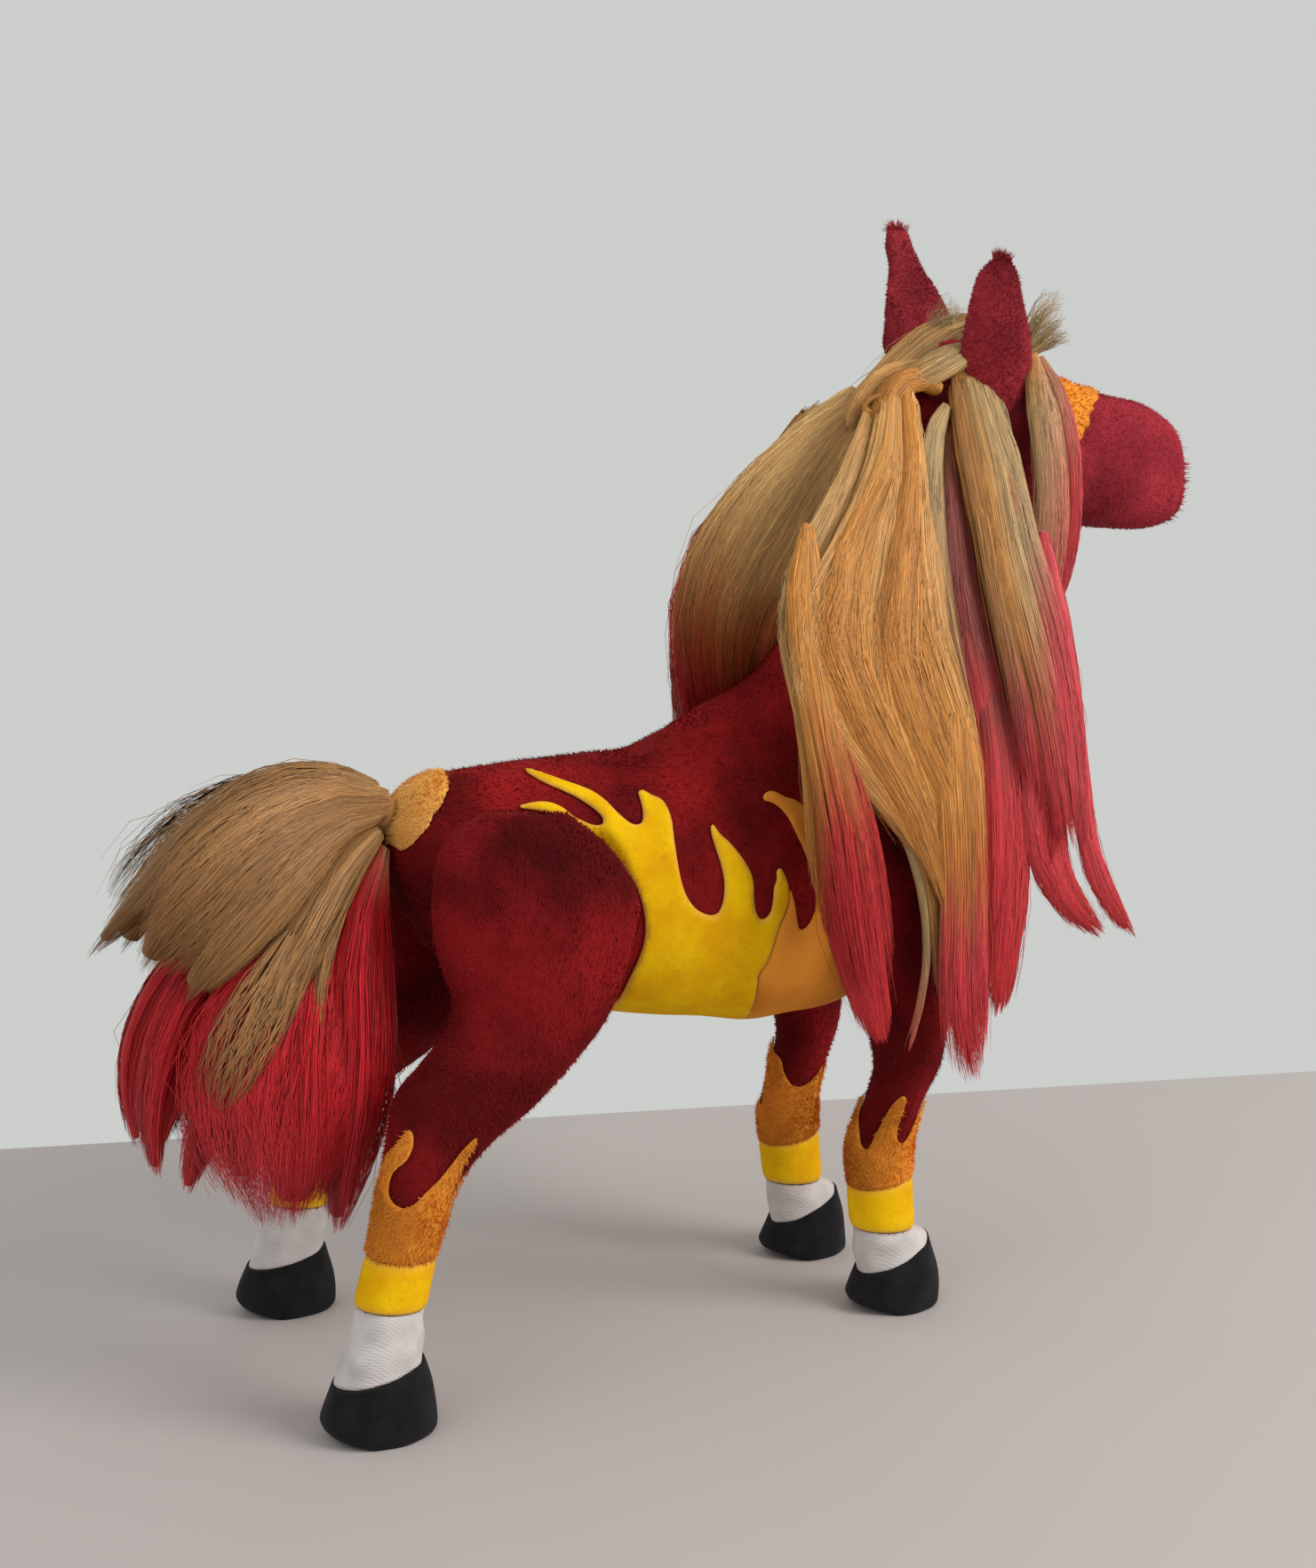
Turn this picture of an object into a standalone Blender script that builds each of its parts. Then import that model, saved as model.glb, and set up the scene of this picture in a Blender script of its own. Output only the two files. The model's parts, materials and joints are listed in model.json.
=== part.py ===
"""A standing plush horse: stuffed pieces, felt flames, a wire frame inside, a combed mane and tail.

Sizes are in metres. +X points to the nose, +Y to the horse's left and +Z up. The origin lies on
the ground under the middle of the whole outline. Tables hold shares of the named sizes.
"""

import math

import bpy
import bmesh
import numpy as np
from mathutils import Matrix, Vector

# Driving sizes of the body
WHEELBASE = 0.240
BACK_HEIGHT = 0.243
BARREL_WIDTH = 0.096
HIP_FACE = 0.037
SHOULDER_FACE = 0.034

# Legs and hooves
HIND_TRACK = 0.140
FORE_TRACK = 0.078
THIGH_DEPTH = 0.081
THIGH_THICKNESS = 0.044
SHOULDER_DEPTH = 0.070
SHOULDER_THICKNESS = 0.030
HOOF_LENGTH = 0.043
HOOF_WIDTH = 0.035
HOOF_HEIGHT = 0.023
HEEL_LIFT = 0.004
SOLE_EDGE = 0.003
HIND_CROWN_RISE = 0.0035
FORE_CROWN_RISE = 0.0075

# Head, ears and eyes
HEAD_LENGTH = 0.1525
HEAD_DEPTH = 0.082
HEAD_WIDTH = 0.056
NECK_LEAN = math.radians(31.0)
NECK_SEAT = 0.033
HEAD_TURN = math.radians(5.0)
HEAD_ROLL = math.radians(6.0)
EAR_LENGTH = 0.072
EAR_WIDTH = 0.033
EAR_THICKNESS = 0.006
EYE_WIDTH = 0.013
EYE_BULGE = 0.0045
EYE_STEM = 0.0032
EYE_STEM_LENGTH = 0.012
WASHER_WIDTH = 0.012
WASHER_THICKNESS = 0.0014

# Cloth, hair and wire
FELT = 0.0013
CUFF_THICKNESS = 0.0015
BAND_THICKNESS = 0.0016
HAIR_THICKNESS = 0.010
HAIR_EDGE = 0.0012
TAIL_LENGTH = 0.170
TAIL_WIDTH = 0.082
TAIL_DEPTH = 0.100
TAIL_ROOT = 0.008
WIRE = 0.0026
EYE_LOOP = 0.0036
SEAM_GAP = 0.0003
WIRE_GAP = 0.0004
OVERRUN = 0.030

# How finely the round pieces are faceted
BODY_SIDES = 20
BODY_ROWS = 20
HEAD_ROWS = 14
LEG_SIDES = 16
LEG_ROWS = 15
TAIL_SIDES = 14
WIRE_SIDES = 6
FLAT_SIDES = 28
BORE_SIDES = 12
EYE_SIDES = 14
EAR_SIDES = 10

# Colours of the cloth, hair and plastic
MINKY_RED = (0.200, 0.012, 0.020)
MINKY_ORANGE = (0.720, 0.260, 0.030)
FELT_YELLOW = (0.900, 0.560, 0.010)
WHITE_CLOTH = (0.720, 0.700, 0.700)
BLACK_CLOTH = (0.012, 0.012, 0.014)
BLONDE = (0.600, 0.350, 0.130)
HAIR_RED = (0.600, 0.030, 0.045)
STEEL = (0.450, 0.450, 0.450)
BROWN_PLASTIC = (0.030, 0.012, 0.006)
WHITE_PLASTIC = (0.700, 0.700, 0.700)
CLOTH_ROUGHNESS = 0.9
STEEL_ROUGHNESS = 0.35
MATTE_ROUGHNESS = 0.4
GLOSS_ROUGHNESS = 0.1

# Outline of the torso and neck: top x, top z, bottom x, bottom z, half width
TORSO_SHARES = [
    (-0.396, 0.885, -0.396, 0.828, 0.060),
    (-0.388, 0.905, -0.388, 0.798, 0.135),
    (-0.350, 0.951, -0.358, 0.728, 0.255),
    (-0.283, 0.973, -0.296, 0.654, 0.339),
    (-0.192, 0.988, -0.204, 0.605, 0.396),
    (-0.083, 0.996, -0.083, 0.572, 0.427),
    (0.033, 1.004, 0.050, 0.547, 0.464),
    (0.125, 1.037, 0.188, 0.529, 0.484),
    (0.208, 1.082, 0.333, 0.519, 0.484),
    (0.283, 1.119, 0.467, 0.539, 0.443),
    (0.350, 1.177, 0.575, 0.605, 0.396),
    (0.400, 1.255, 0.642, 0.733, 0.370),
    (0.450, 1.366, 0.662, 0.885, 0.333),
    (0.504, 1.490, 0.688, 1.091, 0.302),
    (0.550, 1.584, 0.742, 1.309, 0.276),
]

# Outline of a hind leg: front x, front z, rear x, rear z, half thickness, way out to the track
HIND_LEG_SHARES = [
    (0.173, 1.181, -0.272, 1.191, 0.250, 0.000),
    (0.395, 1.101, -0.457, 1.128, 0.386, 0.000),
    (0.531, 0.995, -0.512, 1.021, 0.477, 0.000),
    (0.475, 0.888, -0.481, 0.904, 0.500, 0.010),
    (0.383, 0.782, -0.426, 0.819, 0.477, 0.060),
    (0.185, 0.681, -0.469, 0.750, 0.432, 0.160),
    (-0.037, 0.596, -0.593, 0.699, 0.386, 0.300),
    (-0.259, 0.532, -0.728, 0.644, 0.341, 0.450),
    (-0.420, 0.473, -0.784, 0.543, 0.300, 0.580),
    (-0.519, 0.399, -0.821, 0.431, 0.268, 0.680),
    (-0.593, 0.309, -0.877, 0.324, 0.255, 0.850),
    (-0.636, 0.239, -0.920, 0.250, 0.255, 0.950),
]

# Outline of a fore leg, in the same order
FORE_LEG_SHARES = [
    (0.229, 1.195, -0.286, 1.205, 0.267, 0.000),
    (0.429, 1.100, -0.457, 1.121, 0.383, 0.000),
    (0.500, 0.989, -0.500, 1.005, 0.467, 0.000),
    (0.471, 0.884, -0.443, 0.879, 0.500, 0.000),
    (0.400, 0.784, -0.357, 0.763, 0.500, 0.050),
    (0.329, 0.674, -0.243, 0.653, 0.483, 0.200),
    (0.264, 0.568, -0.179, 0.558, 0.453, 0.400),
    (0.157, 0.479, -0.229, 0.479, 0.427, 0.600),
    (0.064, 0.384, -0.314, 0.384, 0.433, 0.800),
    (0.064, 0.289, -0.300, 0.292, 0.413, 0.900),
    (0.079, 0.187, -0.279, 0.189, 0.407, 1.000),
]

# Outline of the head: top x, top z, bottom x, bottom z, half width, fullness
HEAD_SHARES = [
    (-0.128, 0.402, -0.121, 0.085, 0.232, 2.000),
    (-0.056, 0.524, -0.056, -0.134, 0.402, 2.100),
    (0.069, 0.537, 0.095, -0.354, 0.491, 2.200),
    (0.200, 0.463, 0.233, -0.476, 0.509, 2.300),
    (0.344, 0.378, 0.364, -0.480, 0.482, 2.400),
    (0.489, 0.323, 0.502, -0.460, 0.446, 2.600),
    (0.620, 0.305, 0.633, -0.460, 0.455, 2.800),
    (0.746, 0.269, 0.759, -0.463, 0.464, 2.900),
    (0.825, 0.165, 0.851, -0.427, 0.440, 2.800),
    (0.884, -0.036, 0.913, -0.341, 0.340, 2.400),
]

# Hinge, seat and hoof places as x and z shares of the wheelbase and the back's height
HIP_SHARES = (-0.217, 0.774)
SHOULDER_SHARES = (0.508, 0.782)
SEAT_SHARES = (0.706, 1.576)
DOCK_SHARES = (-0.398, 0.905)
HIND_HOOF_SHARE = -0.502
FORE_HOOF_SHARE = 0.502

# How full the ovals are: 2 is an ellipse, more is squarer
TORSO_FULLNESS = 2.15
TAIL_FULLNESS = 2.2

# Pads and pockets: the flats' radii and the cut in a pad, as shares of the pad
HIP_RECESS_SHARE = 0.58
SHOULDER_RECESS_SHARE = 0.66
PAD_CUT_SHARE = 0.78
PAD_MIDDLE_SHARE = 0.4
POCKET_SHARE = 2.8

# The mane's falls as guide locks from the crest down: x, y and z
MANE_RIGHT_SHARES = [
    [
        (0.492, -0.020, 1.452), (0.440, -0.060, 1.580), (0.350, -0.220, 1.470), (0.240, -0.400, 1.309), (0.217, -0.560, 1.136),
        (0.242, -0.640, 0.959), (0.258, -0.700, 0.811), (0.321, -0.740, 0.658), (0.408, -0.750, 0.510),
    ],
    [
        (0.505, -0.060, 1.480), (0.468, -0.150, 1.600), (0.400, -0.370, 1.448), (0.325, -0.520, 1.270), (0.333, -0.640, 1.078),
        (0.375, -0.710, 0.922), (0.425, -0.750, 0.765), (0.467, -0.770, 0.650), (0.492, -0.780, 0.560),
    ],
    [
        (0.518, -0.100, 1.506), (0.494, -0.220, 1.612), (0.442, -0.450, 1.440), (0.408, -0.580, 1.251), (0.425, -0.680, 1.053),
        (0.467, -0.740, 0.889), (0.508, -0.775, 0.741), (0.550, -0.790, 0.601), (0.583, -0.790, 0.416),
    ],
    [
        (0.532, -0.130, 1.532), (0.521, -0.260, 1.620), (0.487, -0.480, 1.440), (0.492, -0.600, 1.243), (0.517, -0.690, 1.045),
        (0.558, -0.745, 0.872), (0.592, -0.775, 0.708), (0.617, -0.790, 0.551), (0.625, -0.790, 0.436),
    ],
    [
        (0.546, -0.160, 1.556), (0.550, -0.285, 1.624), (0.542, -0.490, 1.449), (0.575, -0.600, 1.259), (0.608, -0.680, 1.062),
        (0.642, -0.740, 0.889), (0.667, -0.770, 0.733), (0.675, -0.780, 0.593), (0.667, -0.780, 0.494),
    ],
    [
        (0.560, -0.190, 1.576), (0.575, -0.305, 1.626), (0.600, -0.500, 1.473), (0.650, -0.600, 1.292), (0.700, -0.670, 1.103),
        (0.733, -0.730, 0.930), (0.767, -0.760, 0.790), (0.783, -0.770, 0.691), (0.775, -0.780, 0.601),
    ],
    [
        (0.574, -0.220, 1.592), (0.596, -0.325, 1.622), (0.633, -0.520, 1.498), (0.700, -0.600, 1.342), (0.775, -0.650, 1.169),
        (0.817, -0.700, 0.996), (0.850, -0.730, 0.848), (0.900, -0.750, 0.749), (0.954, -0.760, 0.667),
    ],
]
MANE_LEFT_SHARES = [
    [
        (0.492, 0.020, 1.452), (0.445, 0.060, 1.585), (0.380, 0.150, 1.510), (0.283, 0.250, 1.383), (0.221, 0.350, 1.259),
        (0.212, 0.440, 1.169), (0.237, 0.520, 1.070), (0.283, 0.620, 0.971), (0.333, 0.700, 0.881),
    ],
    [
        (0.510, 0.080, 1.490), (0.480, 0.160, 1.606), (0.425, 0.330, 1.490), (0.345, 0.460, 1.350), (0.317, 0.570, 1.218),
        (0.325, 0.650, 1.078), (0.350, 0.710, 0.930), (0.383, 0.750, 0.807), (0.408, 0.770, 0.691),
    ],
    [
        (0.530, 0.130, 1.528), (0.518, 0.245, 1.620), (0.475, 0.430, 1.490), (0.425, 0.560, 1.325), (0.425, 0.650, 1.169),
        (0.442, 0.720, 1.012), (0.467, 0.760, 0.848), (0.492, 0.780, 0.691), (0.508, 0.790, 0.568),
    ],
    [
        (0.552, 0.170, 1.564), (0.550, 0.280, 1.626), (0.533, 0.480, 1.490), (0.525, 0.590, 1.309), (0.550, 0.680, 1.136),
        (0.575, 0.730, 0.971), (0.600, 0.770, 0.807), (0.625, 0.790, 0.658), (0.633, 0.790, 0.535),
    ],
    [
        (0.574, 0.220, 1.592), (0.583, 0.310, 1.624), (0.600, 0.500, 1.498), (0.625, 0.600, 1.325), (0.667, 0.670, 1.160),
        (0.700, 0.720, 1.012), (0.733, 0.750, 0.872), (0.767, 0.770, 0.757), (0.792, 0.780, 0.658),
    ],
]

# The forelock on the right cheek, from the poll down, in the head's own x, y and z
FORELOCK_SHARES = [
    [
        (0.043, -0.232, 0.561), (0.108, -0.482, 0.415), (0.154, -0.607, 0.110),
        (0.180, -0.679, -0.256), (0.180, -0.732, -0.598), (0.167, -0.750, -0.817),
    ],
    [
        (0.089, -0.196, 0.561), (0.174, -0.464, 0.378), (0.233, -0.589, 0.085),
        (0.259, -0.661, -0.280), (0.252, -0.714, -0.646), (0.220, -0.732, -0.939),
    ],
    [
        (0.134, -0.161, 0.537), (0.239, -0.429, 0.341), (0.305, -0.554, 0.061),
        (0.331, -0.625, -0.280), (0.311, -0.679, -0.646), (0.252, -0.714, -0.976),
    ],
]

# The tail's two falls: x back from the dock, z above it, half depth, half width
TAIL_TOP_SHARES = [
    (0.115, 0.030, 0.06, 0.22),
    (0.276, 0.075, 0.10, 0.46),
    (0.483, 0.060, 0.13, 0.76),
    (0.713, -0.030, 0.14, 0.90),
    (0.920, -0.150, 0.13, 0.84),
    (1.104, -0.270, 0.08, 0.56),
]
TAIL_UNDER_SHARES = [
    (0.138, -0.028, 0.08, 0.20),
    (0.253, -0.170, 0.19, 0.46),
    (0.414, -0.320, 0.35, 0.76),
    (0.529, -0.490, 0.46, 0.94),
    (0.552, -0.660, 0.49, 1.00),
    (0.517, -0.810, 0.42, 0.88),
    (0.483, -0.930, 0.24, 0.54),
]

# Flame outlines on the flank as strokes between a tip and a notch: x and z
FLANK_FLAME_SHARES = [
    [(-0.217, 0.988), (-0.142, 0.959), (-0.067, 0.909), (-0.025, 0.896)],
    [(-0.025, 0.896), (-0.025, 0.914), (-0.017, 0.951)],
    [(-0.017, 0.951), (0.025, 0.914), (0.050, 0.840), (0.062, 0.765), (0.121, 0.724)],
    [(0.121, 0.724), (0.146, 0.782), (0.129, 0.835), (0.113, 0.885)],
    [(0.113, 0.885), (0.171, 0.844), (0.196, 0.786), (0.196, 0.741), (0.217, 0.716)],
    [(0.217, 0.716), (0.237, 0.749), (0.246, 0.807)],
    [(0.246, 0.807), (0.275, 0.765), (0.267, 0.724), (0.237, 0.708)],
    [(0.237, 0.708), (0.237, 0.658), (0.212, 0.617), (0.212, 0.568)],
    [(0.212, 0.568), (0.217, 0.473)],
    [(0.217, 0.473), (-0.058, 0.461)],
    [(-0.058, 0.461), (-0.058, 0.576), (-0.013, 0.667), (-0.008, 0.741), (-0.050, 0.827)],
    [(-0.050, 0.827), (-0.092, 0.868), (-0.150, 0.905), (-0.225, 0.930)],
    [(-0.225, 0.930), (-0.150, 0.947), (-0.192, 0.971), (-0.217, 0.988)],
]
GIRTH_FLAME_SHARES = [
    [(0.221, 0.934), (0.258, 0.909), (0.287, 0.864)],
    [(0.287, 0.864), (0.300, 0.807), (0.306, 0.749)],
    [(0.306, 0.749), (0.317, 0.691), (0.346, 0.646), (0.396, 0.613), (0.450, 0.584)],
    [(0.450, 0.584), (0.450, 0.461)],
    [(0.450, 0.461), (0.225, 0.473)],
    [(0.225, 0.473), (0.220, 0.568)],
    [(0.220, 0.568), (0.221, 0.617), (0.246, 0.658), (0.248, 0.704)],
    [(0.248, 0.704), (0.279, 0.724), (0.279, 0.774), (0.263, 0.840), (0.221, 0.934)],
]
DOCK_PATCH_SHARES = [
    [(-0.267, 1.049), (-0.275, 0.971), (-0.304, 0.926), (-0.338, 0.877), (-0.383, 0.844)],
    [(-0.383, 0.844), (-0.500, 0.831)],
    [(-0.500, 0.831), (-0.500, 1.049)],
    [(-0.500, 1.049), (-0.267, 1.049)],
]
BLAZE_SHARES = [
    (0.370, 0.695),
    (0.541, 0.695),
    (0.534, 0.256),
    (0.508, 0.134),
    (0.449, 0.000),
    (0.403, -0.061),
    (0.370, 0.085),
]

# Flame tongues of a cuff, from its low edge to its tips, round the leg from the front
CUFF_TONGUE_SHARES = [
    0.55, 1.00, 0.50, 0.18, 0.50, 0.95, 0.45, 0.15,
    0.50, 0.90, 0.45, 0.05, 0.05, 0.40, 0.95, 0.45,
]

# Leg heights as shares of the hinge's height: cuff tips and band top
HIND_LEVEL_SHARES = (0.575, 0.340)
FORE_LEVEL_SHARES = (0.485, 0.285)

# The spine wire from the rump through the neck into the head: x and z
SPINE_SHARES = [
    (-0.346, 0.877), (-0.285, 0.835), (-0.217, 0.788), (0.000, 0.768), (0.250, 0.768),
    (0.458, 0.792), (0.555, 0.850), (0.596, 0.990), (0.625, 1.190), (0.662, 1.420),
]
SPINE_SEAT_SHARES = (-0.3, 0.0, 0.4)

# Eye places on the head: x, y and z, and the washer's way down the stem
EYE_SHARES = (0.290, 0.390, 0.200)
WASHER_SHARE = 0.55

# Ears: their base on the head's side, the right one sewn lower, half widths from base to tip,
# and the way they stand
EAR_BASE_SHARES = {"right": (0.011, 0.420, 0.112), "left": (0.011, 0.420, 0.300)}
EAR_WIDTH_SHARES = [0.22, 0.34, 0.45, 0.50, 0.48, 0.42, 0.34, 0.18]
EAR_UP_SHARES = (-0.04, 0.26, 1.00)
EAR_ACROSS_SHARES = (1.00, 0.10, 0.00)

# The mane's gathered root: its place, then way along it and radius
KNOT_SHARES = (0.517, -0.150, 1.600)
KNOT_ROLL_SHARES = [
    (-1.30, 0.20), (-0.91, 0.60), (-0.26, 0.80), (0.39, 0.68), (1.04, 0.72), (1.30, 0.32),
]

# The tail's core: way back from the dock and radius, in radii of its ball root
TAIL_CORE_SHARES = [
    (-0.97, 0.25), (-0.70, 0.71), (0.00, 1.00), (0.70, 0.90), (1.60, 0.80), (2.60, 0.72), (3.20, 0.45),
]


def place(x_share, z_share):
    """A point of the side view, from shares of the wheelbase and the back's height."""
    return np.array([x_share * WHEELBASE, z_share * BACK_HEIGHT])


HIP = place(*HIP_SHARES)
SHOULDER = place(*SHOULDER_SHARES)
SEAT = place(*SEAT_SHARES)
DOCK = place(*DOCK_SHARES)
HIP_RECESS = HIP_RECESS_SHARE * THIGH_DEPTH
SHOULDER_RECESS = SHOULDER_RECESS_SHARE * SHOULDER_DEPTH
NECK_AXIS = np.array([math.sin(NECK_LEAN), math.cos(NECK_LEAN)])
NECK_ACROSS = np.array([-math.cos(NECK_LEAN), math.sin(NECK_LEAN)])


def origin_of(point):
    """A point of the side view as a point of the mid-plane."""
    return (point[0], 0.0, point[1])


def smooth(rows, count):
    """Rows on a Catmull-Rom curve through the given rows, evenly spaced by row number."""
    rows = np.asarray(rows, float)
    ends = np.vstack([2 * rows[0] - rows[1], rows, 2 * rows[-1] - rows[-2]])
    way = np.linspace(0, len(rows) - 1, count)
    start = np.minimum(way.astype(int), len(rows) - 2)
    t = (way - start)[:, None]
    a, b, c, d = (ends[start + k] for k in range(4))
    bend = (2 * a - 5 * b + 4 * c - d) * t**2 + (3 * b - a - 3 * c + d) * t**3
    return b + ((c - a) * t + bend) / 2


def finish(
    name, colour, shape, origin=None, parent=None, roughness=CLOTH_ROUGHNESS, metallic=0.0
):
    """Make a named object of a bmesh, with its own material and its faces pointing out."""
    bmesh.ops.recalc_face_normals(shape, faces=shape.faces)
    origin = Vector(origin) if origin is not None else Vector()
    bmesh.ops.translate(shape, verts=shape.verts, vec=-origin)
    mesh = bpy.data.meshes.new(name)
    shape.to_mesh(mesh)
    shape.free()
    mesh.shade_smooth()
    material = bpy.data.materials.new(name)
    material.use_nodes = True
    shader = material.node_tree.nodes["Principled BSDF"]
    shader.inputs["Base Color"].default_value = (*colour, 1.0)
    shader.inputs["Roughness"].default_value = roughness
    shader.inputs["Metallic"].default_value = metallic
    mesh.materials.append(material)
    piece = bpy.data.objects.new(name, mesh)
    bpy.context.collection.objects.link(piece)
    piece.parent = parent
    if parent is None:
        piece.location = origin
    return piece


def hide(cutter):
    """Make a solid a cutter: it shapes others and isn't a piece."""
    cutter.hide_render = True
    cutter.display_type = "WIRE"
    return cutter


def boolean(piece, other, operation="DIFFERENCE"):
    """Cut a solid from a piece, or keep what both share."""
    step = piece.modifiers.new(other.name, "BOOLEAN")
    step.operation = operation
    step.solver = "EXACT"
    step.object = other


def pivot(name, point, parent, turn=None):
    """An empty on a joint's axis, which carries the pieces that move with it."""
    empty = bpy.data.objects.new(name, None)
    bpy.context.collection.objects.link(empty)
    empty.parent = parent
    empty.location = point
    if turn is not None:
        empty.rotation_euler = turn
    return empty


def skin(rings):
    """A bmesh of faces between rings of points, with a fan over each end."""
    shape = bmesh.new()
    loops = [[shape.verts.new(point) for point in ring] for ring in rings]
    for low, high in zip(loops, loops[1:]):
        for k in range(len(low)):
            after = (k + 1) % len(low)
            shape.faces.new((low[k], low[after], high[after]))
            shape.faces.new((low[k], high[after], high[k]))
    for loop in (loops[0], loops[-1]):
        middle = shape.verts.new(sum((v.co for v in loop), Vector()) / len(loop))
        for k in range(len(loop)):
            shape.faces.new((loop[k], loop[(k + 1) % len(loop)], middle))
    return shape


def section(upper, lower, half_width, middle_y, sides, fullness=2.0, grow=0.0):
    """An oval ring through an upper and a lower point of the side view.

    Each point is the middle plus cosine times the half height and sine times the half width,
    and a fullness over 2 squares the oval.
    """
    middle = (upper + lower) / 2
    half = (upper - lower) / 2
    half = half * (1 + grow / np.linalg.norm(half))
    angles = np.linspace(0, 2 * math.pi, sides, endpoint=False)
    c = np.sign(np.cos(angles)) * np.abs(np.cos(angles)) ** (2 / fullness)
    s = np.sign(np.sin(angles)) * np.abs(np.sin(angles)) ** (2 / fullness)
    x = middle[0] + half[0] * c
    z = middle[1] + half[1] * c
    y = middle_y + (half_width + grow) * s
    return np.stack([x, y, z], axis=1)


def cylinder(name, start, end, radius, parent, sides=FLAT_SIDES):
    """A plain round cutter between two points."""
    start = Vector(start)
    end = Vector(end)
    turn = Vector((0, 0, 1)).rotation_difference(end - start).to_matrix().to_4x4()
    shape = bmesh.new()
    bmesh.ops.create_cone(
        shape,
        cap_ends=True,
        segments=sides,
        radius1=radius,
        radius2=radius,
        depth=(end - start).length,
        matrix=Matrix.Translation((start + end) / 2) @ turn,
    )
    return hide(finish(name, STEEL, shape, parent=parent))


def tube(points, radius, sides):
    """A round bar along points, its rings carried from one to the next without twist."""
    points = [Vector(point) for point in points]
    ahead = (points[1] - points[0]).normalized()
    side = ahead.orthogonal().normalized()
    rings = []
    for k, point in enumerate(points):
        before = points[max(k - 1, 0)]
        after = points[min(k + 1, len(points) - 1)]
        now = (after - before).normalized()
        side = ahead.rotation_difference(now) @ side
        ahead = now
        other = ahead.cross(side)
        ring = []
        for n in range(sides):
            angle = 2 * math.pi * n / sides
            ring.append(point + radius * (math.cos(angle) * side + math.sin(angle) * other))
        rings.append(ring)
    return skin(rings)


def swath(guides, columns, rows, thickness):
    """A flat fall of hair: a sheet through guide locks, thick in the middle and thin at its edges."""
    along = np.array([smooth(guide, rows) for guide in guides])
    sheet = np.array([smooth(along[:, k], columns) for k in range(rows)]).transpose(1, 0, 2)
    across = np.gradient(sheet, axis=0)
    down = np.gradient(sheet, axis=1)
    normal = np.cross(across, down)
    normal /= np.linalg.norm(normal, axis=2, keepdims=True)
    u = np.linspace(-1, 1, columns)[:, None]
    v = np.linspace(-1, 1, rows)[None, :]
    bulge = np.sqrt(np.clip(1 - u**4, 0, 1) * np.clip(1 - v**6, 0, 1))
    half = (HAIR_EDGE + (thickness - HAIR_EDGE) * bulge)[..., None] / 2
    shape = bmesh.new()
    faces = []
    for layer in (sheet + normal * half, sheet - normal * half):
        faces.append([[shape.verts.new(point) for point in column] for column in layer])
    front, back = faces
    for k in range(columns - 1):
        for n in range(rows - 1):
            shape.faces.new((front[k][n], front[k + 1][n], front[k + 1][n + 1], front[k][n + 1]))
            shape.faces.new((back[k][n], back[k][n + 1], back[k + 1][n + 1], back[k + 1][n]))
    rim = [(k, 0) for k in range(columns)]
    rim += [(columns - 1, n) for n in range(1, rows)]
    rim += [(k, rows - 1) for k in range(columns - 2, -1, -1)]
    rim += [(0, n) for n in range(rows - 2, 0, -1)]
    for (a, b), (c, d) in zip(rim, rim[1:] + rim[:1]):
        shape.faces.new((front[a][b], back[a][b], back[c][d], front[c][d]))
    return shape


def prism(name, outline, near, far, parent):
    """A cutter with an outline in the side view, from one y to another."""
    shape = bmesh.new()
    ends = [[shape.verts.new((x, y, z)) for x, z in outline] for y in (near, far)]
    shape.faces.new(ends[0])
    shape.faces.new(ends[1])
    for k in range(len(outline)):
        after = (k + 1) % len(outline)
        shape.faces.new((ends[0][k], ends[0][after], ends[1][after], ends[1][k]))
    return hide(finish(name, STEEL, shape, parent=parent))


def strokes(table, steps=4):
    """One closed outline from curved strokes, each smooth from its first point to its last."""
    outline = []
    for stroke in table:
        count = max(2, steps * (len(stroke) - 1) // 2 + 1)
        points = smooth([place(*shares) for shares in stroke], count)
        outline.extend(points[:-1])
    return outline


def torso_rings(grow=0.0):
    """The torso's ovals from the rump to the head's seat, where the last one is square to the neck."""
    rows = []
    for top_x, top_z, low_x, low_z, half_width in TORSO_SHARES:
        rows.append([*place(top_x, top_z), *place(low_x, low_z), half_width * BARREL_WIDTH])
    crest = SEAT + NECK_SEAT * NECK_ACROSS
    throat = SEAT - NECK_SEAT * NECK_ACROSS
    rows.append([*crest, *throat, rows[-1][4]])
    rings = []
    for row in smooth(rows, BODY_ROWS):
        ring = section(row[0:2], row[2:4], row[4], 0.0, BODY_SIDES, TORSO_FULLNESS, grow)
        rings.append(ring)
    rings[0][:, 0] -= grow
    rings[-1] += grow * np.array([NECK_AXIS[0], 0.0, NECK_AXIS[1]])
    return rings


def limb_rows(shares, hinge, depth, thickness, face, track):
    """Front, rear, half thickness and middle y of a leg's ovals, from its top to its end."""
    rows = []
    inner = face + thickness * PAD_MIDDLE_SHARE
    for front_x, front_z, rear_x, rear_z, half, way in shares:
        front = (hinge[0] + front_x * depth, front_z * hinge[1])
        rear = (hinge[0] + rear_x * depth, rear_z * hinge[1])
        rows.append([*front, *rear, half * thickness, inner + way * (track / 2 - inner)])
    return smooth(rows, LEG_ROWS)


def limb_rings(rows, side, grow=0.0):
    """The ovals of a leg on one side of the body."""
    rings = []
    for row in rows:
        rings.append(section(row[0:2], row[2:4], row[4], side * row[5], LEG_SIDES, 2.0, grow))
    return np.array(rings)


def ring_at(rings, way):
    """The ring at a way between rows, on the straight faces that join them."""
    low = min(int(way), len(rings) - 2)
    return rings[low] + (rings[low + 1] - rings[low]) * (way - low)


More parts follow.
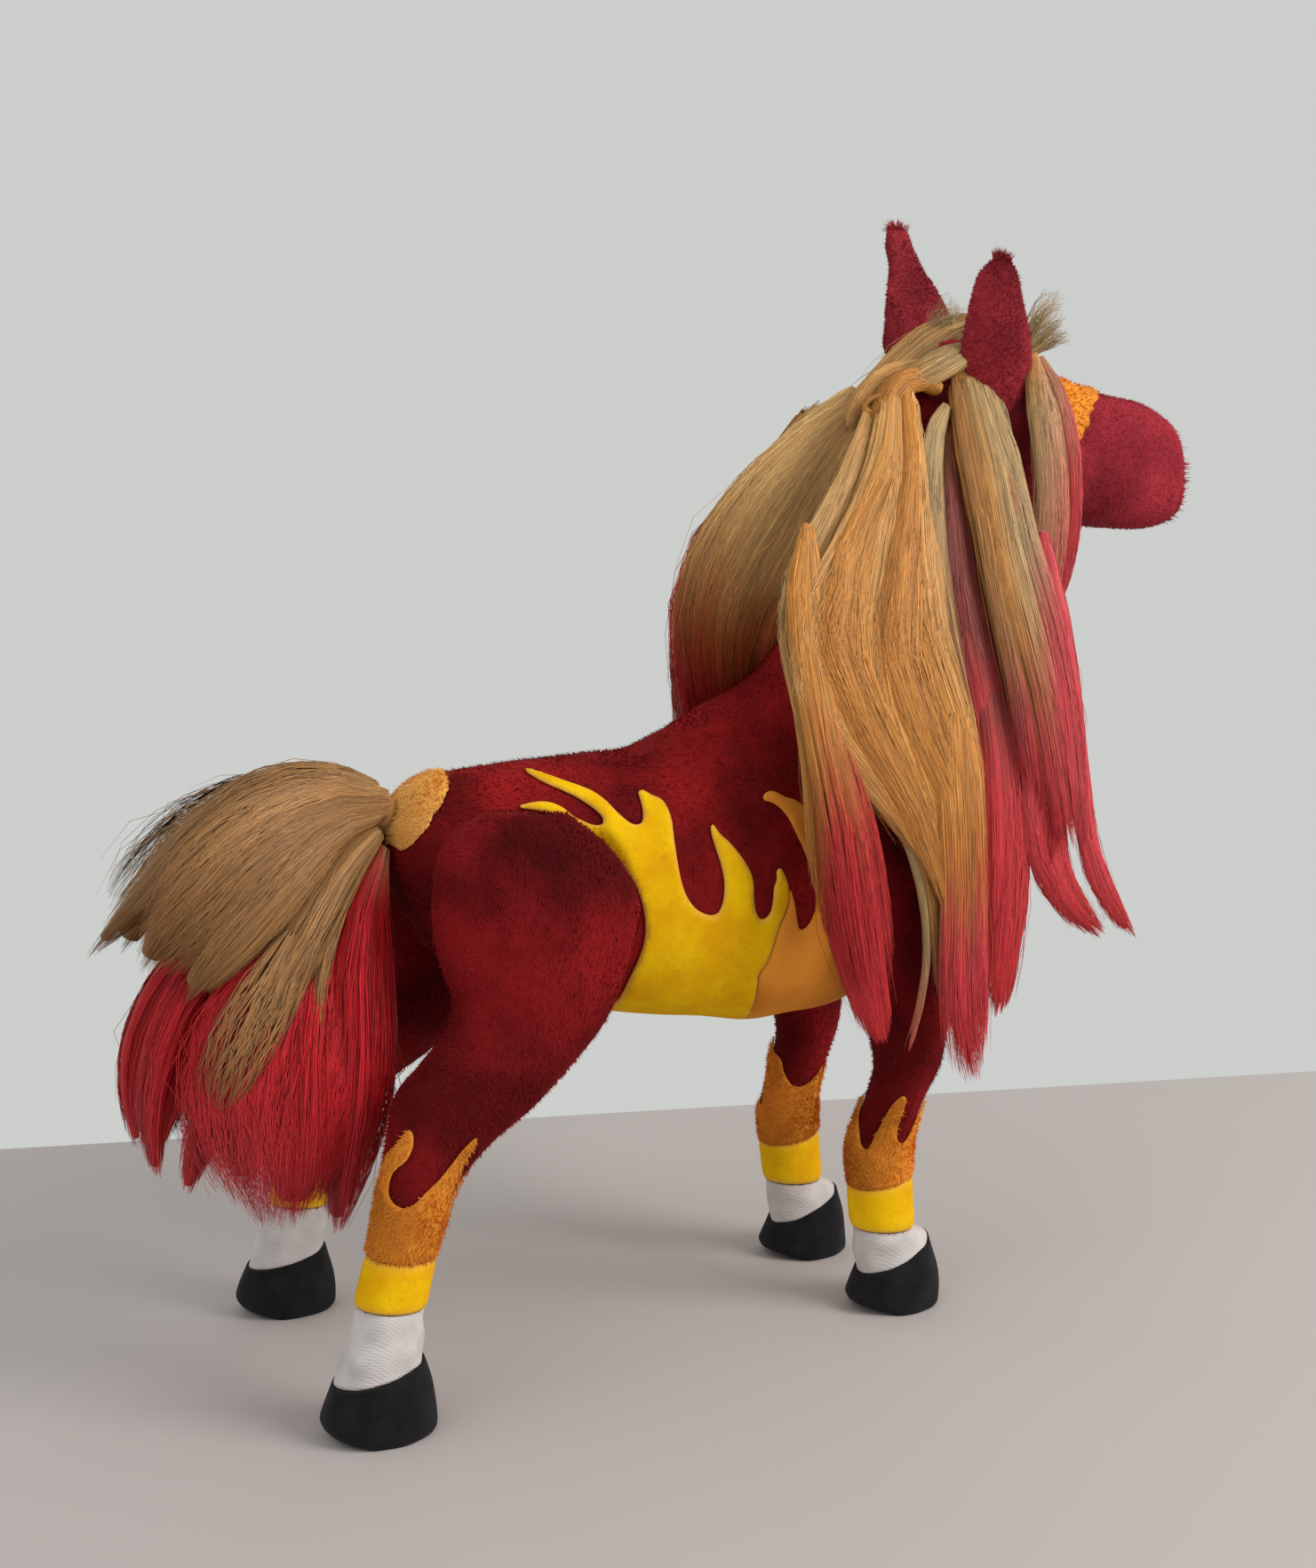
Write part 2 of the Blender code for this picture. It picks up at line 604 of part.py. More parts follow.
def sleeve(rows, side, low, tops, thickness, steps):
    """A cloth sleeve round a leg from a low height up to a top height at each point round it.

    Its inner wall lies inside the leg, and the leg's own shape is then cut from it.
    """
    heights = (rows[:, 1] + rows[:, 3]) / 2
    count = np.arange(len(rows))
    ways = np.interp(-np.asarray([low, *tops]), -heights, count)
    inner = limb_rings(rows, side, -thickness)
    outer = limb_rings(rows, side, SEAM_GAP + thickness)
    shape = bmesh.new()
    walls = []
    for rings in (inner, outer):
        wall = []
        for k in range(LEG_SIDES):
            column = []
            for n in range(steps + 1):
                way = ways[0] + (ways[k + 1] - ways[0]) * n / steps
                column.append(shape.verts.new(ring_at(rings, way)[k]))
            wall.append(column)
        walls.append(wall)
    inner, outer = walls
    for k in range(LEG_SIDES):
        after = (k + 1) % LEG_SIDES
        for n in range(steps):
            shape.faces.new((inner[k][n], inner[after][n], inner[after][n + 1], inner[k][n + 1]))
            shape.faces.new((outer[k][n], outer[k][n + 1], outer[after][n + 1], outer[after][n]))
        shape.faces.new((inner[k][0], outer[k][0], outer[after][0], inner[after][0]))
        shape.faces.new((inner[k][steps], inner[after][steps], outer[after][steps], outer[k][steps]))
    return shape


def hoof_ring(middle, level, length_share, width_share, rise, lift):
    """A hoof's outline at a level: its front half rises by rise, and its heel is lifted."""
    angles = np.linspace(0, 2 * math.pi, LEG_SIDES, endpoint=False)
    c = np.cos(angles)
    heel = np.clip((-c - 0.3) / 0.7, 0, 1)
    x = middle[0] + HOOF_LENGTH / 2 * length_share * c
    y = middle[1] + HOOF_WIDTH / 2 * width_share * np.sin(angles)
    z = level + rise * c + lift * heel
    return np.stack([x, y, z], axis=1)


def hoof_shape(middle, rise):
    """A hoof: a flat sole with a soft edge, walls that lean in, and a crown for the pastern."""
    top = HOOF_HEIGHT
    rings = [
        hoof_ring(middle, 0.0, 0.92, 0.92, 0.0, HEEL_LIFT),
        hoof_ring(middle, SOLE_EDGE, 1.0, 1.0, 0.0, HEEL_LIFT),
        hoof_ring(middle, top * 0.55, 0.95, 0.95, rise * 0.5, 0.0),
        hoof_ring(middle, top, 0.78, 0.82, rise, 0.0),
    ]
    shape = bmesh.new()
    loops = [[shape.verts.new(point) for point in ring] for ring in rings]
    for low, high in zip(loops, loops[1:]):
        for k in range(LEG_SIDES):
            after = (k + 1) % LEG_SIDES
            shape.faces.new((low[k], low[after], high[after], high[k]))
    sole = shape.verts.new((middle[0], middle[1], 0.0))
    crown = shape.verts.new((middle[0], middle[1], top))
    for k in range(LEG_SIDES):
        after = (k + 1) % LEG_SIDES
        shape.faces.new((loops[0][k], loops[0][after], sole))
        shape.faces.new((loops[-1][k], loops[-1][after], crown))
    return shape


def pastern_shape(middle, rise, ankle):
    """The white part between the hoof's crown and the leg's end."""
    crown = hoof_ring(middle, HOOF_HEIGHT + SEAM_GAP * 1.5, 0.75, 0.79, rise * 0.96, 0.0)
    waist = (crown * 0.35 + ankle * 0.65)
    waist = waist + (waist - waist.mean(axis=0)) * 0.04
    return skin([crown, waist, ankle])


def wire_path(rows, hinge, side, face, foot):
    """A leg wire: an eye round the cross wire, then down the middle of the leg into the hoof."""
    depth_in = face + SEAM_GAP + WIRE * 1.3
    eye = []
    for degrees in (235, 205, 170, 135, 100, 65, 30, -5, -40):
        angle = math.radians(degrees)
        x = hinge[0] + EYE_LOOP * math.cos(angle)
        z = hinge[1] + EYE_LOOP * math.sin(angle)
        eye.append((x, side * depth_in, z))
    eye.append((hinge[0] + EYE_LOOP * 0.25, side * depth_in, hinge[1] - EYE_LOOP * 1.35))
    eye.append((hinge[0], side * (depth_in + WIRE * 0.4), hinge[1] - EYE_LOOP * 2.6))
    middles = []
    for row in rows[LEG_ROWS // 2:]:
        middles.append(((row[0] + row[2]) / 2, side * row[5], (row[1] + row[3]) / 2))
    stump = [(*foot, HOOF_HEIGHT * 0.8), (*foot, HOOF_HEIGHT * 0.42)]
    return eye, [eye[-1], *middles[::2], *stump]


def build_leg(name, side, limb, body):
    """One leg with its cuff, band, pastern, hoof and wire, all on the hinge's pivot."""
    label = name + ("_right" if side < 0 else "_left")
    hinge = limb["hinge"]
    face = limb["face"]
    origin = (hinge[0], 0.0, hinge[1])
    axle = pivot("pivot_" + label, origin, body)
    rows = limb_rows(limb["shares"], hinge, limb["depth"], limb["thickness"], face, limb["track"])
    rings = limb_rings(rows, side)
    leg = finish("leg_" + label, MINKY_RED, skin(rings), origin, axle)

    # The pad's flat inner face and the open pocket for the wire's eye
    inner = face + SEAM_GAP
    flat_end = (hinge[0], side * inner, hinge[1])
    flat = cylinder("cut_flat_" + label, origin, flat_end, PAD_CUT_SHARE * limb["depth"], body)
    boolean(leg, flat)
    pocket_start = (hinge[0], side * (inner - OVERRUN / 4), hinge[1])
    pocket_end = (hinge[0], side * (inner + WIRE * POCKET_SHARE), hinge[1])
    radius = EYE_LOOP + WIRE
    pocket = cylinder("cut_pocket_" + label, pocket_start, pocket_end, radius, body, BORE_SIDES)
    boolean(leg, pocket)

    # The wire and its tunnel
    foot = np.array([limb["hoof_share"] * WHEELBASE, side * limb["track"] / 2])
    eye, shank = wire_path(rows, hinge, side, face, foot)
    shank = smooth(shank, 10)
    wire = tube([*eye[:-1], *shank], WIRE / 2, WIRE_SIDES)
    finish("leg_wire_" + label, STEEL, wire, origin, axle, STEEL_ROUGHNESS, 1.0)
    tunnel = tube([*eye[-3:-1], *shank], WIRE / 2 + WIRE_GAP, WIRE_SIDES)
    tunnel = hide(finish("cut_wire_" + label, STEEL, tunnel, parent=body))
    boolean(leg, tunnel)

    # The cuff and the band, cut from inside by the leg's own shape
    tip, band_top = (share * hinge[1] for share in limb["levels"])
    tops = [band_top + share * (tip - band_top) for share in CUFF_TONGUE_SHARES]
    if side > 0:
        tops = [tops[-k % LEG_SIDES] for k in range(LEG_SIDES)]
    cuff_low = band_top + SEAM_GAP
    tops = [max(top, cuff_low + CUFF_THICKNESS) for top in tops]
    cuff = sleeve(rows, side, cuff_low, tops, CUFF_THICKNESS, 3)
    cuff = finish("flame_cuff_" + label, MINKY_ORANGE, cuff, origin, axle)
    grown = skin(limb_rings(rows, side, SEAM_GAP))
    leg_cutter = hide(finish("cut_leg_" + label, STEEL, grown, parent=body))
    boolean(cuff, leg_cutter)
    band_low = (rows[-1][1] + rows[-1][3]) / 2 + SEAM_GAP
    band = sleeve(rows, side, band_low, [band_top] * LEG_SIDES, BAND_THICKNESS, 1)
    band = finish("shin_band_" + label, FELT_YELLOW, band, origin, axle)
    boolean(band, leg_cutter)

    # The pastern and the hoof, which the wire stands in
    ankle = rings[-1] + np.array([0.0, 0.0, -SEAM_GAP * 1.5])
    pastern = pastern_shape(foot, limb["rise"], ankle)
    pastern = finish("pastern_" + label, WHITE_CLOTH, pastern, origin, axle)
    boolean(pastern, tunnel)
    hoof = finish("hoof_" + label, BLACK_CLOTH, hoof_shape(foot, limb["rise"]), origin, axle)
    boolean(hoof, tunnel)


def build_torso(body):
    """The stuffed torso and neck, with flats for the legs, a tunnel for the spine and bores."""
    torso = finish("torso", MINKY_RED, skin(torso_rings()), parent=body)
    for label, hinge, face, recess in (
        ("hip", HIP, HIP_FACE, HIP_RECESS),
        ("shoulder", SHOULDER, SHOULDER_FACE, SHOULDER_RECESS),
    ):
        for side, word in ((-1, "right"), (1, "left")):
            near = (hinge[0], side * face, hinge[1])
            far = (hinge[0], side * (BARREL_WIDTH / 2 + OVERRUN), hinge[1])
            boolean(torso, cylinder(f"cut_{label}_{word}", near, far, recess, body))
        reach = face + WIRE * 2.2
        ends = [(hinge[0], -reach, hinge[1]), (hinge[0], reach, hinge[1])]
        bore = cylinder(f"cut_{label}_bore", *ends, WIRE / 2 + WIRE_GAP, body, BORE_SIDES)
        boolean(torso, bore)
        wire = tube([ends[0], origin_of(hinge), ends[1]], WIRE / 2, WIRE_SIDES)
        wire_name = label + "_wire"
        finish(wire_name, STEEL, wire, parent=body, roughness=STEEL_ROUGHNESS, metallic=1.0)
    spine = [place(*shares) for shares in SPINE_SHARES]
    spine += [SEAT + NECK_AXIS * NECK_SEAT * share for share in SPINE_SEAT_SHARES]
    points = [origin_of(point) for point in smooth(spine, 18)]
    wire = tube(points, WIRE / 2, WIRE_SIDES)
    finish("spine_wire", STEEL, wire, parent=body, roughness=STEEL_ROUGHNESS, metallic=1.0)
    route = [origin_of(DOCK), *points, origin_of(SEAT + NECK_AXIS * OVERRUN)]
    tunnel = tube(route, WIRE / 2 + WIRE_GAP, WIRE_SIDES)
    boolean(torso, hide(finish("cut_spine", STEEL, tunnel, parent=body)))


def ball(name, middle, radius, parent):
    """A round cutter about a point."""
    shape = bmesh.new()
    bmesh.ops.create_uvsphere(
        shape,
        u_segments=18,
        v_segments=12,
        radius=radius,
        matrix=Matrix.Translation(middle),
    )
    return hide(finish(name, STEEL, shape, parent=parent))


def build_panels(body):
    """Felt flames and the dock patch: shells over the torso, cut to their outlines."""
    under = hide(finish("cut_under_felt", STEEL, skin(torso_rings(SEAM_GAP)), parent=body))
    recesses = []
    for joint in ("hip", "shoulder"):
        for word in ("right", "left"):
            recesses.append(bpy.data.objects[f"cut_{joint}_{word}"])
    socket = ball("cut_tail_socket", origin_of(DOCK), TAIL_ROOT + SEAM_GAP, body)
    boolean(bpy.data.objects["torso"], socket)
    for name, table, colour in (
        ("flank_flame", FLANK_FLAME_SHARES, FELT_YELLOW),
        ("girth_flame", GIRTH_FLAME_SHARES, MINKY_ORANGE),
    ):
        for side, label in ((-1, "_right"), (1, "_left")):
            panel = finish(name + label, colour, skin(torso_rings(SEAM_GAP + FELT)), parent=body)
            far = side * (BARREL_WIDTH / 2 + OVERRUN)
            outline = prism("cut_" + name + label, strokes(table), side * SEAM_GAP, far, body)
            boolean(panel, outline, "INTERSECT")
            boolean(panel, under)
            for recess in recesses:
                boolean(panel, recess)
    patch = finish("dock_patch", MINKY_ORANGE, skin(torso_rings(SEAM_GAP + FELT)), parent=body)
    outline = prism("cut_dock_patch", strokes(DOCK_PATCH_SHARES), -BARREL_WIDTH, BARREL_WIDTH, body)
    boolean(patch, outline, "INTERSECT")
    for cutter in (under, socket, *recesses[:2]):
        boolean(patch, cutter)


def head_rings(grow=0.0):
    """The head's ovals, unturned, from the back of the skull to the muzzle's front."""
    rows = []
    for top_x, top_z, low_x, low_z, half_width, fullness in HEAD_SHARES:
        top = SEAT + np.array([top_x * HEAD_LENGTH, top_z * HEAD_DEPTH])
        low = SEAT + np.array([low_x * HEAD_LENGTH, low_z * HEAD_DEPTH])
        rows.append([*top, *low, half_width * HEAD_WIDTH, fullness])
    rings = []
    for row in smooth(rows, HEAD_ROWS):
        rings.append(section(row[0:2], row[2:4], row[4], 0.0, BODY_SIDES, row[5], grow))
    rings[0][:, 0] -= grow
    rings[-1][:, 0] += grow
    return rings


def build_head(body):
    """The head, cut flat where it sits on the neck, and bored for the spine wire."""
    origin = origin_of(SEAT)
    neck = pivot("pivot_head", origin, body, (HEAD_ROLL, 0.0, HEAD_TURN))
    head = finish("head", MINKY_RED, skin(head_rings()), origin, neck)
    top = origin_of(SEAT + NECK_AXIS * SEAM_GAP)
    low = origin_of(SEAT - NECK_AXIS * OVERRUN * 2)
    boolean(head, cylinder("cut_head_seat", low, top, NECK_SEAT * 1.22, body))
    bore_end = origin_of(SEAT + NECK_AXIS * (NECK_SEAT * SPINE_SEAT_SHARES[-1] + WIRE_GAP))
    bore = cylinder("cut_head_bore", low, bore_end, WIRE / 2 + WIRE_GAP, body, BORE_SIDES)
    boolean(head, bore)
    return head, neck


def on_head(cutter, neck):
    """Carry a cutter that was made in the unturned head's place on the head's pivot."""
    cutter.parent = neck
    cutter.location = -Vector(origin_of(SEAT))
    return cutter


def ring_round(x, z, radius, y):
    """A circle about an eye's stem, at a distance y from the mid-plane."""
    angles = np.linspace(0, 2 * math.pi, EYE_SIDES, endpoint=False)
    flat = np.full(EYE_SIDES, y)
    return np.stack([x + radius * np.cos(angles), flat, z + radius * np.sin(angles)], axis=1)


def build_eye(side, head, neck):
    """A plastic safety eye with its stem and washer, and their seat in the head."""
    label = "right" if side < 0 else "left"
    origin = origin_of(SEAT)
    x = SEAT[0] + EYE_SHARES[0] * HEAD_LENGTH
    z = SEAT[1] + EYE_SHARES[2] * HEAD_DEPTH
    seat_y = HEAD_WIDTH * EYE_SHARES[1]
    stem_end = seat_y - EYE_STEM_LENGTH
    washer_low = seat_y - EYE_STEM_LENGTH * WASHER_SHARE
    washer_high = washer_low + WASHER_THICKNESS
    for cut, start, end, width in (
        ("seat", seat_y, seat_y + OVERRUN, EYE_WIDTH),
        ("stem", stem_end - SEAM_GAP, seat_y + SEAM_GAP, EYE_STEM),
        ("washer", washer_low - SEAM_GAP, washer_high + SEAM_GAP, WASHER_WIDTH),
    ):
        near = (x, side * start, z)
        far = (x, side * end, z)
        name = f"cut_eye_{cut}_{label}"
        cutter = cylinder(name, near, far, width / 2 + SEAM_GAP, None, EYE_SIDES)
        boolean(head, on_head(cutter, neck))
    outer = seat_y + SEAM_GAP
    profile = [(EYE_STEM / 2, stem_end), (EYE_STEM / 2, outer), (EYE_WIDTH / 2, outer)]
    for degrees in (18, 36, 54, 72):
        angle = math.radians(degrees)
        radius = EYE_WIDTH / 2 * math.cos(angle)
        profile.append((radius, outer + EYE_BULGE * math.sin(angle)))
    rings = [ring_round(x, z, radius, side * y) for radius, y in profile]
    finish("eye_" + label, BROWN_PLASTIC, skin(rings), origin, neck, GLOSS_ROUGHNESS)
    hole = EYE_STEM / 2 + SEAM_GAP
    rim = WASHER_WIDTH / 2
    corners = ((hole, washer_low), (rim, washer_low), (rim, washer_high), (hole, washer_high))
    shape = bmesh.new()
    loops = []
    for radius, y in corners:
        loops.append([shape.verts.new(point) for point in ring_round(x, z, radius, side * y)])
    for low, high in zip(loops, loops[1:] + loops[:1]):
        for n in range(EYE_SIDES):
            after = (n + 1) % EYE_SIDES
            shape.faces.new((low[n], low[after], high[after], high[n]))
    finish("eye_washer_" + label, WHITE_PLASTIC, shape, origin, neck, MATTE_ROUGHNESS)


def ear_shape(side, grow=0.0):
    """A flat leaf of an ear, pinched at its base and cupped a little to the head."""
    label = "right" if side < 0 else "left"
    x, y, z = np.array(EAR_BASE_SHARES[label]) * np.array([HEAD_LENGTH, HEAD_WIDTH, HEAD_DEPTH])
    base = Vector((SEAT[0] + x, side * y, SEAT[1] + z))
    mirror = Vector((1.0, side, 1.0))
    up = (Vector(EAR_UP_SHARES) * mirror).normalized()
    across = (Vector(EAR_ACROSS_SHARES) * mirror).normalized()
    out = across.cross(up) * -side
    last = len(EAR_WIDTH_SHARES) - 1
    rings = []
    for k, share in enumerate(EAR_WIDTH_SHARES):
        middle = base + up * (EAR_LENGTH * k / last)
        half = EAR_THICKNESS / 2 * (0.6 if k in (0, last) else 1.0) + grow
        ring = []
        for n in range(EAR_SIDES):
            angle = 2 * math.pi * n / EAR_SIDES
            flat = math.cos(angle) * (share + grow / EAR_WIDTH)
            cup = flat**2 * EAR_THICKNESS * 2
            ring.append(middle + across * flat * EAR_WIDTH + out * (math.sin(angle) * half - cup))
        rings.append(ring)
    return skin(rings)


def build_ear(side, neck, head_cutter):
    """One ear, cut from inside by the head."""
    label = "right" if side < 0 else "left"
    ear = finish("ear_" + label, MINKY_RED, ear_shape(side), origin_of(SEAT), neck)
    boolean(ear, head_cutter)


def grown(rings):
    """Rings pushed out from their middles by the gap between sewn pieces."""
    wide = []
    for ring in rings:
        spread = ring - ring.mean(axis=0)
        wide.append(ring + spread * SEAM_GAP / np.linalg.norm(spread[0]))
    return wide


def build_tail(body):
    """The tail: a stuffed core with a ball root in the dock, and two falls of hair on it."""
    origin = origin_of(DOCK)
    hinge = pivot("pivot_tail", origin, body)
    core = []
    for share, size_share in TAIL_CORE_SHARES:
        lift = max(share, 0.0) * TAIL_ROOT * 0.12
        middle = np.array([DOCK[0] - share * TAIL_ROOT, DOCK[1] + lift])
        size = size_share * TAIL_ROOT
        half = np.array([0.0, size])
        core.append(section(middle + half, middle - half, size, 0.0, TAIL_SIDES))
    finish("tail_core", BLONDE, skin(core), origin, hinge)
    core_cutter = hide(finish("cut_tail_core", STEEL, skin(grown(core)), parent=body))
    under = build_fall("tail_hair_under", TAIL_UNDER_SHARES, HAIR_RED, 0.0, hinge)
    under_cutter = hide(build_fall("cut_tail_under", TAIL_UNDER_SHARES, STEEL, SEAM_GAP, hinge))
    top = build_fall("tail_hair_top", TAIL_TOP_SHARES, BLONDE, 0.0, hinge)
    boolean(under, core_cutter)
    boolean(top, core_cutter)
    boolean(top, under_cutter)


def build_fall(name, table, colour, grow, hinge):
    """A fall of tail hair: ovals square to its own curve."""
    rows = smooth(table, 10)
    x = DOCK[0] - rows[:, 0] * TAIL_DEPTH
    z = DOCK[1] + rows[:, 1] * TAIL_LENGTH
    middles = np.stack([x, z], axis=1)
    ways = np.gradient(middles, axis=0)
    ways /= np.linalg.norm(ways, axis=1, keepdims=True)
    rings = []
    for middle, way, row in zip(middles, ways, rows):
        half = np.array([way[1], -way[0]]) * row[2] * TAIL_DEPTH
        half_width = row[3] * TAIL_WIDTH / 2
        upper = middle + half
        lower = middle - half
        rings.append(section(upper, lower, half_width, 0.0, TAIL_SIDES, TAIL_FULLNESS, grow))
    return finish(name, colour, skin(rings), origin_of(DOCK), hinge)


def build_mane(body, neck, head_cutter):
    """The mane's two falls and its gathered root on the crest, and the forelock on the head."""
    torso_cutter = bpy.data.objects["cut_under_felt"]
    ear_cutters = []
    for side in (-1, 1):
        shape = ear_shape(side, SEAM_GAP)
        ear_cutters.append(hide(finish(f"cut_ear_{side}", STEEL, shape, origin_of(SEAT), neck)))
    size = np.array([WHEELBASE, BARREL_WIDTH, BACK_HEIGHT])
    knot = np.array(KNOT_SHARES) * size
    root = []
    for way_share, radius_share in KNOT_ROLL_SHARES:
        way = way_share * HAIR_THICKNESS
        radius = radius_share * HAIR_THICKNESS
        middle = np.array([knot[0] + way, knot[2] - way * 0.15])
        half = np.array([0.0, radius])
        root.append(section(middle + half, middle - half, radius * 1.2, knot[1], BORE_SIDES))
    knot_piece = finish("mane_knot", BLONDE, skin(root), parent=body)
    knot_cutter = hide(finish("cut_mane_knot", STEEL, skin(grown(root)), parent=body))
    boolean(knot_piece, torso_cutter)
    boolean(knot_piece, head_cutter)
    for name, table, colour in (
        ("mane_right", MANE_RIGHT_SHARES, BLONDE),
        ("mane_left", MANE_LEFT_SHARES, HAIR_RED),
    ):
        guides = np.array(table) * size
        fall = finish(name, colour, swath(guides, 10, 12, HAIR_THICKNESS), parent=body)
        for cutter in (torso_cutter, head_cutter, knot_cutter, *ear_cutters):
            boolean(fall, cutter)
    head_size = np.array([HEAD_LENGTH, HEAD_WIDTH, HEAD_DEPTH])
    guides = np.array(FORELOCK_SHARES) * head_size + np.array(origin_of(SEAT))
    lock = swath(guides, 5, 9, HAIR_THICKNESS * 0.7)
    forelock = finish("forelock", BLONDE, lock, origin_of(SEAT), neck)
    boolean(forelock, head_cutter)
    boolean(forelock, ear_cutters[0])


def build_blaze(neck, head_cutter):
    """The orange patch over the nose bridge: a shell on the head, cut to its outline."""
    origin = origin_of(SEAT)
    shell = finish("blaze", MINKY_ORANGE, skin(head_rings(SEAM_GAP + FELT)), origin, neck)
    outline = SEAT + np.array(BLAZE_SHARES) * np.array([HEAD_LENGTH, HEAD_DEPTH])
    cutter = prism("cut_blaze", outline, -HEAD_WIDTH, HEAD_WIDTH, None)
    boolean(shell, on_head(cutter, neck), "INTERSECT")
    boolean(shell, head_cutter)


def centre_on_ground(stance):
    """Move the whole horse so that the middle of its outline is over the origin."""
    bpy.context.view_layer.update()
    graph = bpy.context.evaluated_depsgraph_get()
    corners = []
    for piece in bpy.data.objects:
        if piece.type == "MESH" and not piece.hide_render:
            evaluated = piece.evaluated_get(graph)
            corners += [evaluated.matrix_world @ Vector(corner) for corner in evaluated.bound_box]
    corners = np.array(corners)
    middle = (corners.min(axis=0) + corners.max(axis=0)) / 2
    stance.location = (-middle[0], -middle[1], -corners[:, 2].min())
    bpy.context.view_layer.update()


for thing in list(bpy.data.objects):
    bpy.data.objects.remove(thing)
stance = pivot("stance", (0.0, 0.0, 0.0), None)
build_torso(stance)
build_panels(stance)
HIND = {
    "shares": HIND_LEG_SHARES,
    "hinge": HIP,
    "depth": THIGH_DEPTH,
    "thickness": THIGH_THICKNESS,
    "face": HIP_FACE,
    "track": HIND_TRACK,
    "levels": HIND_LEVEL_SHARES,
    "rise": HIND_CROWN_RISE,
    "hoof_share": HIND_HOOF_SHARE,
}
FORE = {
    "shares": FORE_LEG_SHARES,
    "hinge": SHOULDER,
    "depth": SHOULDER_DEPTH,
    "thickness": SHOULDER_THICKNESS,
    "face": SHOULDER_FACE,
    "track": FORE_TRACK,
    "levels": FORE_LEVEL_SHARES,
    "rise": FORE_CROWN_RISE,
    "hoof_share": FORE_HOOF_SHARE,
}
for side in (-1, 1):
    build_leg("hind", side, HIND, stance)
    build_leg("fore", side, FORE, stance)
head, neck = build_head(stance)
head_grown = skin(head_rings(SEAM_GAP))
head_cutter = hide(finish("cut_head", STEEL, head_grown, origin_of(SEAT), neck))
for side in (-1, 1):
    build_eye(side, head, neck)
    build_ear(side, neck, head_cutter)
build_blaze(neck, head_cutter)
build_mane(stance, neck, head_cutter)
build_tail(stance)
centre_on_ground(stance)
print("stance centre", [round(value, 5) for value in stance.location])
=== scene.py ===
"""A plush horse: red minky, felt flames, white and black cloth feet, a long combed mane and tail.

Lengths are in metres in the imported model's frame: +X to the head, +Z up, the right side to -Y.
"""

import json
import math

import bpy
import numpy as np
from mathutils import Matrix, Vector
from mathutils.geometry import delaunay_2d_cdt

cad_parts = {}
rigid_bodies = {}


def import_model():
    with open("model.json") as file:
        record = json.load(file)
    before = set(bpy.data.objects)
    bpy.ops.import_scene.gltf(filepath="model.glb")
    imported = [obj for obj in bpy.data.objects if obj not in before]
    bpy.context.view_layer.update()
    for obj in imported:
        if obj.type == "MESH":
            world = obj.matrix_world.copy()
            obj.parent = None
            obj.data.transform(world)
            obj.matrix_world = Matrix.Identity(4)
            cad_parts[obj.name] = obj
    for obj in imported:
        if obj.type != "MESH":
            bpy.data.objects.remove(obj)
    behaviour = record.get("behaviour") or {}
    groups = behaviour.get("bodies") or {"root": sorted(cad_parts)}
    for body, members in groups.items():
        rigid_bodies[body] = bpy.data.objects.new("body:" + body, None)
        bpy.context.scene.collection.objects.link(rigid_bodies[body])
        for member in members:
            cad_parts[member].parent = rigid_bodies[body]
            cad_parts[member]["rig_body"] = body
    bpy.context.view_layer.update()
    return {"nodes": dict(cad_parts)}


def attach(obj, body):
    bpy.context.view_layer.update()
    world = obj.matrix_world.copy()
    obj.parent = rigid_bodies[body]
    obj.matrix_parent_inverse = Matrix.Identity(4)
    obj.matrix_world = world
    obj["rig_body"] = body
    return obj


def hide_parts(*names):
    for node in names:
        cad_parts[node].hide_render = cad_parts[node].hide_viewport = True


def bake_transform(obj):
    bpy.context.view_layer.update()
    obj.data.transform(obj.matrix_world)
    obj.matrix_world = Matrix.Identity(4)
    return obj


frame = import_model()

# ---- Torso ------------------------------------------------------------------------------
# One skin of short-pile red minky, sewn over firm stuffing from the rump to the top of the
# neck. Ovals carried along a side view make it, and it is dented where the leg pads lie.

TORSO_ROWS = [  # top x and z, low x and z, half width
    (-0.1446, 0.2151, -0.1446, 0.2012, 0.0058), (-0.1427, 0.2199, -0.1427, 0.1939, 0.013),
    (-0.1336, 0.2311, -0.1355, 0.1769, 0.0245), (-0.1175, 0.2364, -0.1206, 0.1589, 0.0325),
    (-0.0956, 0.2401, -0.0985, 0.147, 0.038), (-0.0695, 0.242, -0.0695, 0.139, 0.041),
    (-0.0416, 0.244, -0.0376, 0.1329, 0.0445), (-0.0196, 0.252, -0.0044, 0.1285, 0.0465),
    (0.0004, 0.2629, 0.0304, 0.1261, 0.0465), (0.0184, 0.2719, 0.0625, 0.131, 0.0425),
    (0.0344, 0.286, 0.0884, 0.147, 0.038), (0.0464, 0.305, 0.1045, 0.1781, 0.0355),
    (0.0584, 0.3319, 0.1093, 0.2151, 0.032), (0.0714, 0.3621, 0.1156, 0.2651, 0.029),
    (0.0824, 0.3849, 0.1285, 0.3181, 0.0265), (0.0916, 0.4, 0.1482, 0.366, 0.0265),
]
HIP = np.array([-0.10164, 0.18808])
SHOULDER = np.array([0.07236, 0.19003])
SEAT = np.array([0.11988, 0.0, 0.38297])
NECK_AXIS = np.array([0.51504, 0.0, 0.85717])
SKIN_INSET = 0.0005
RED_DARK = (0.120, 0.0052, 0.0060, 1.0)
RED_LIGHT = (0.320, 0.0122, 0.0132, 1.0)


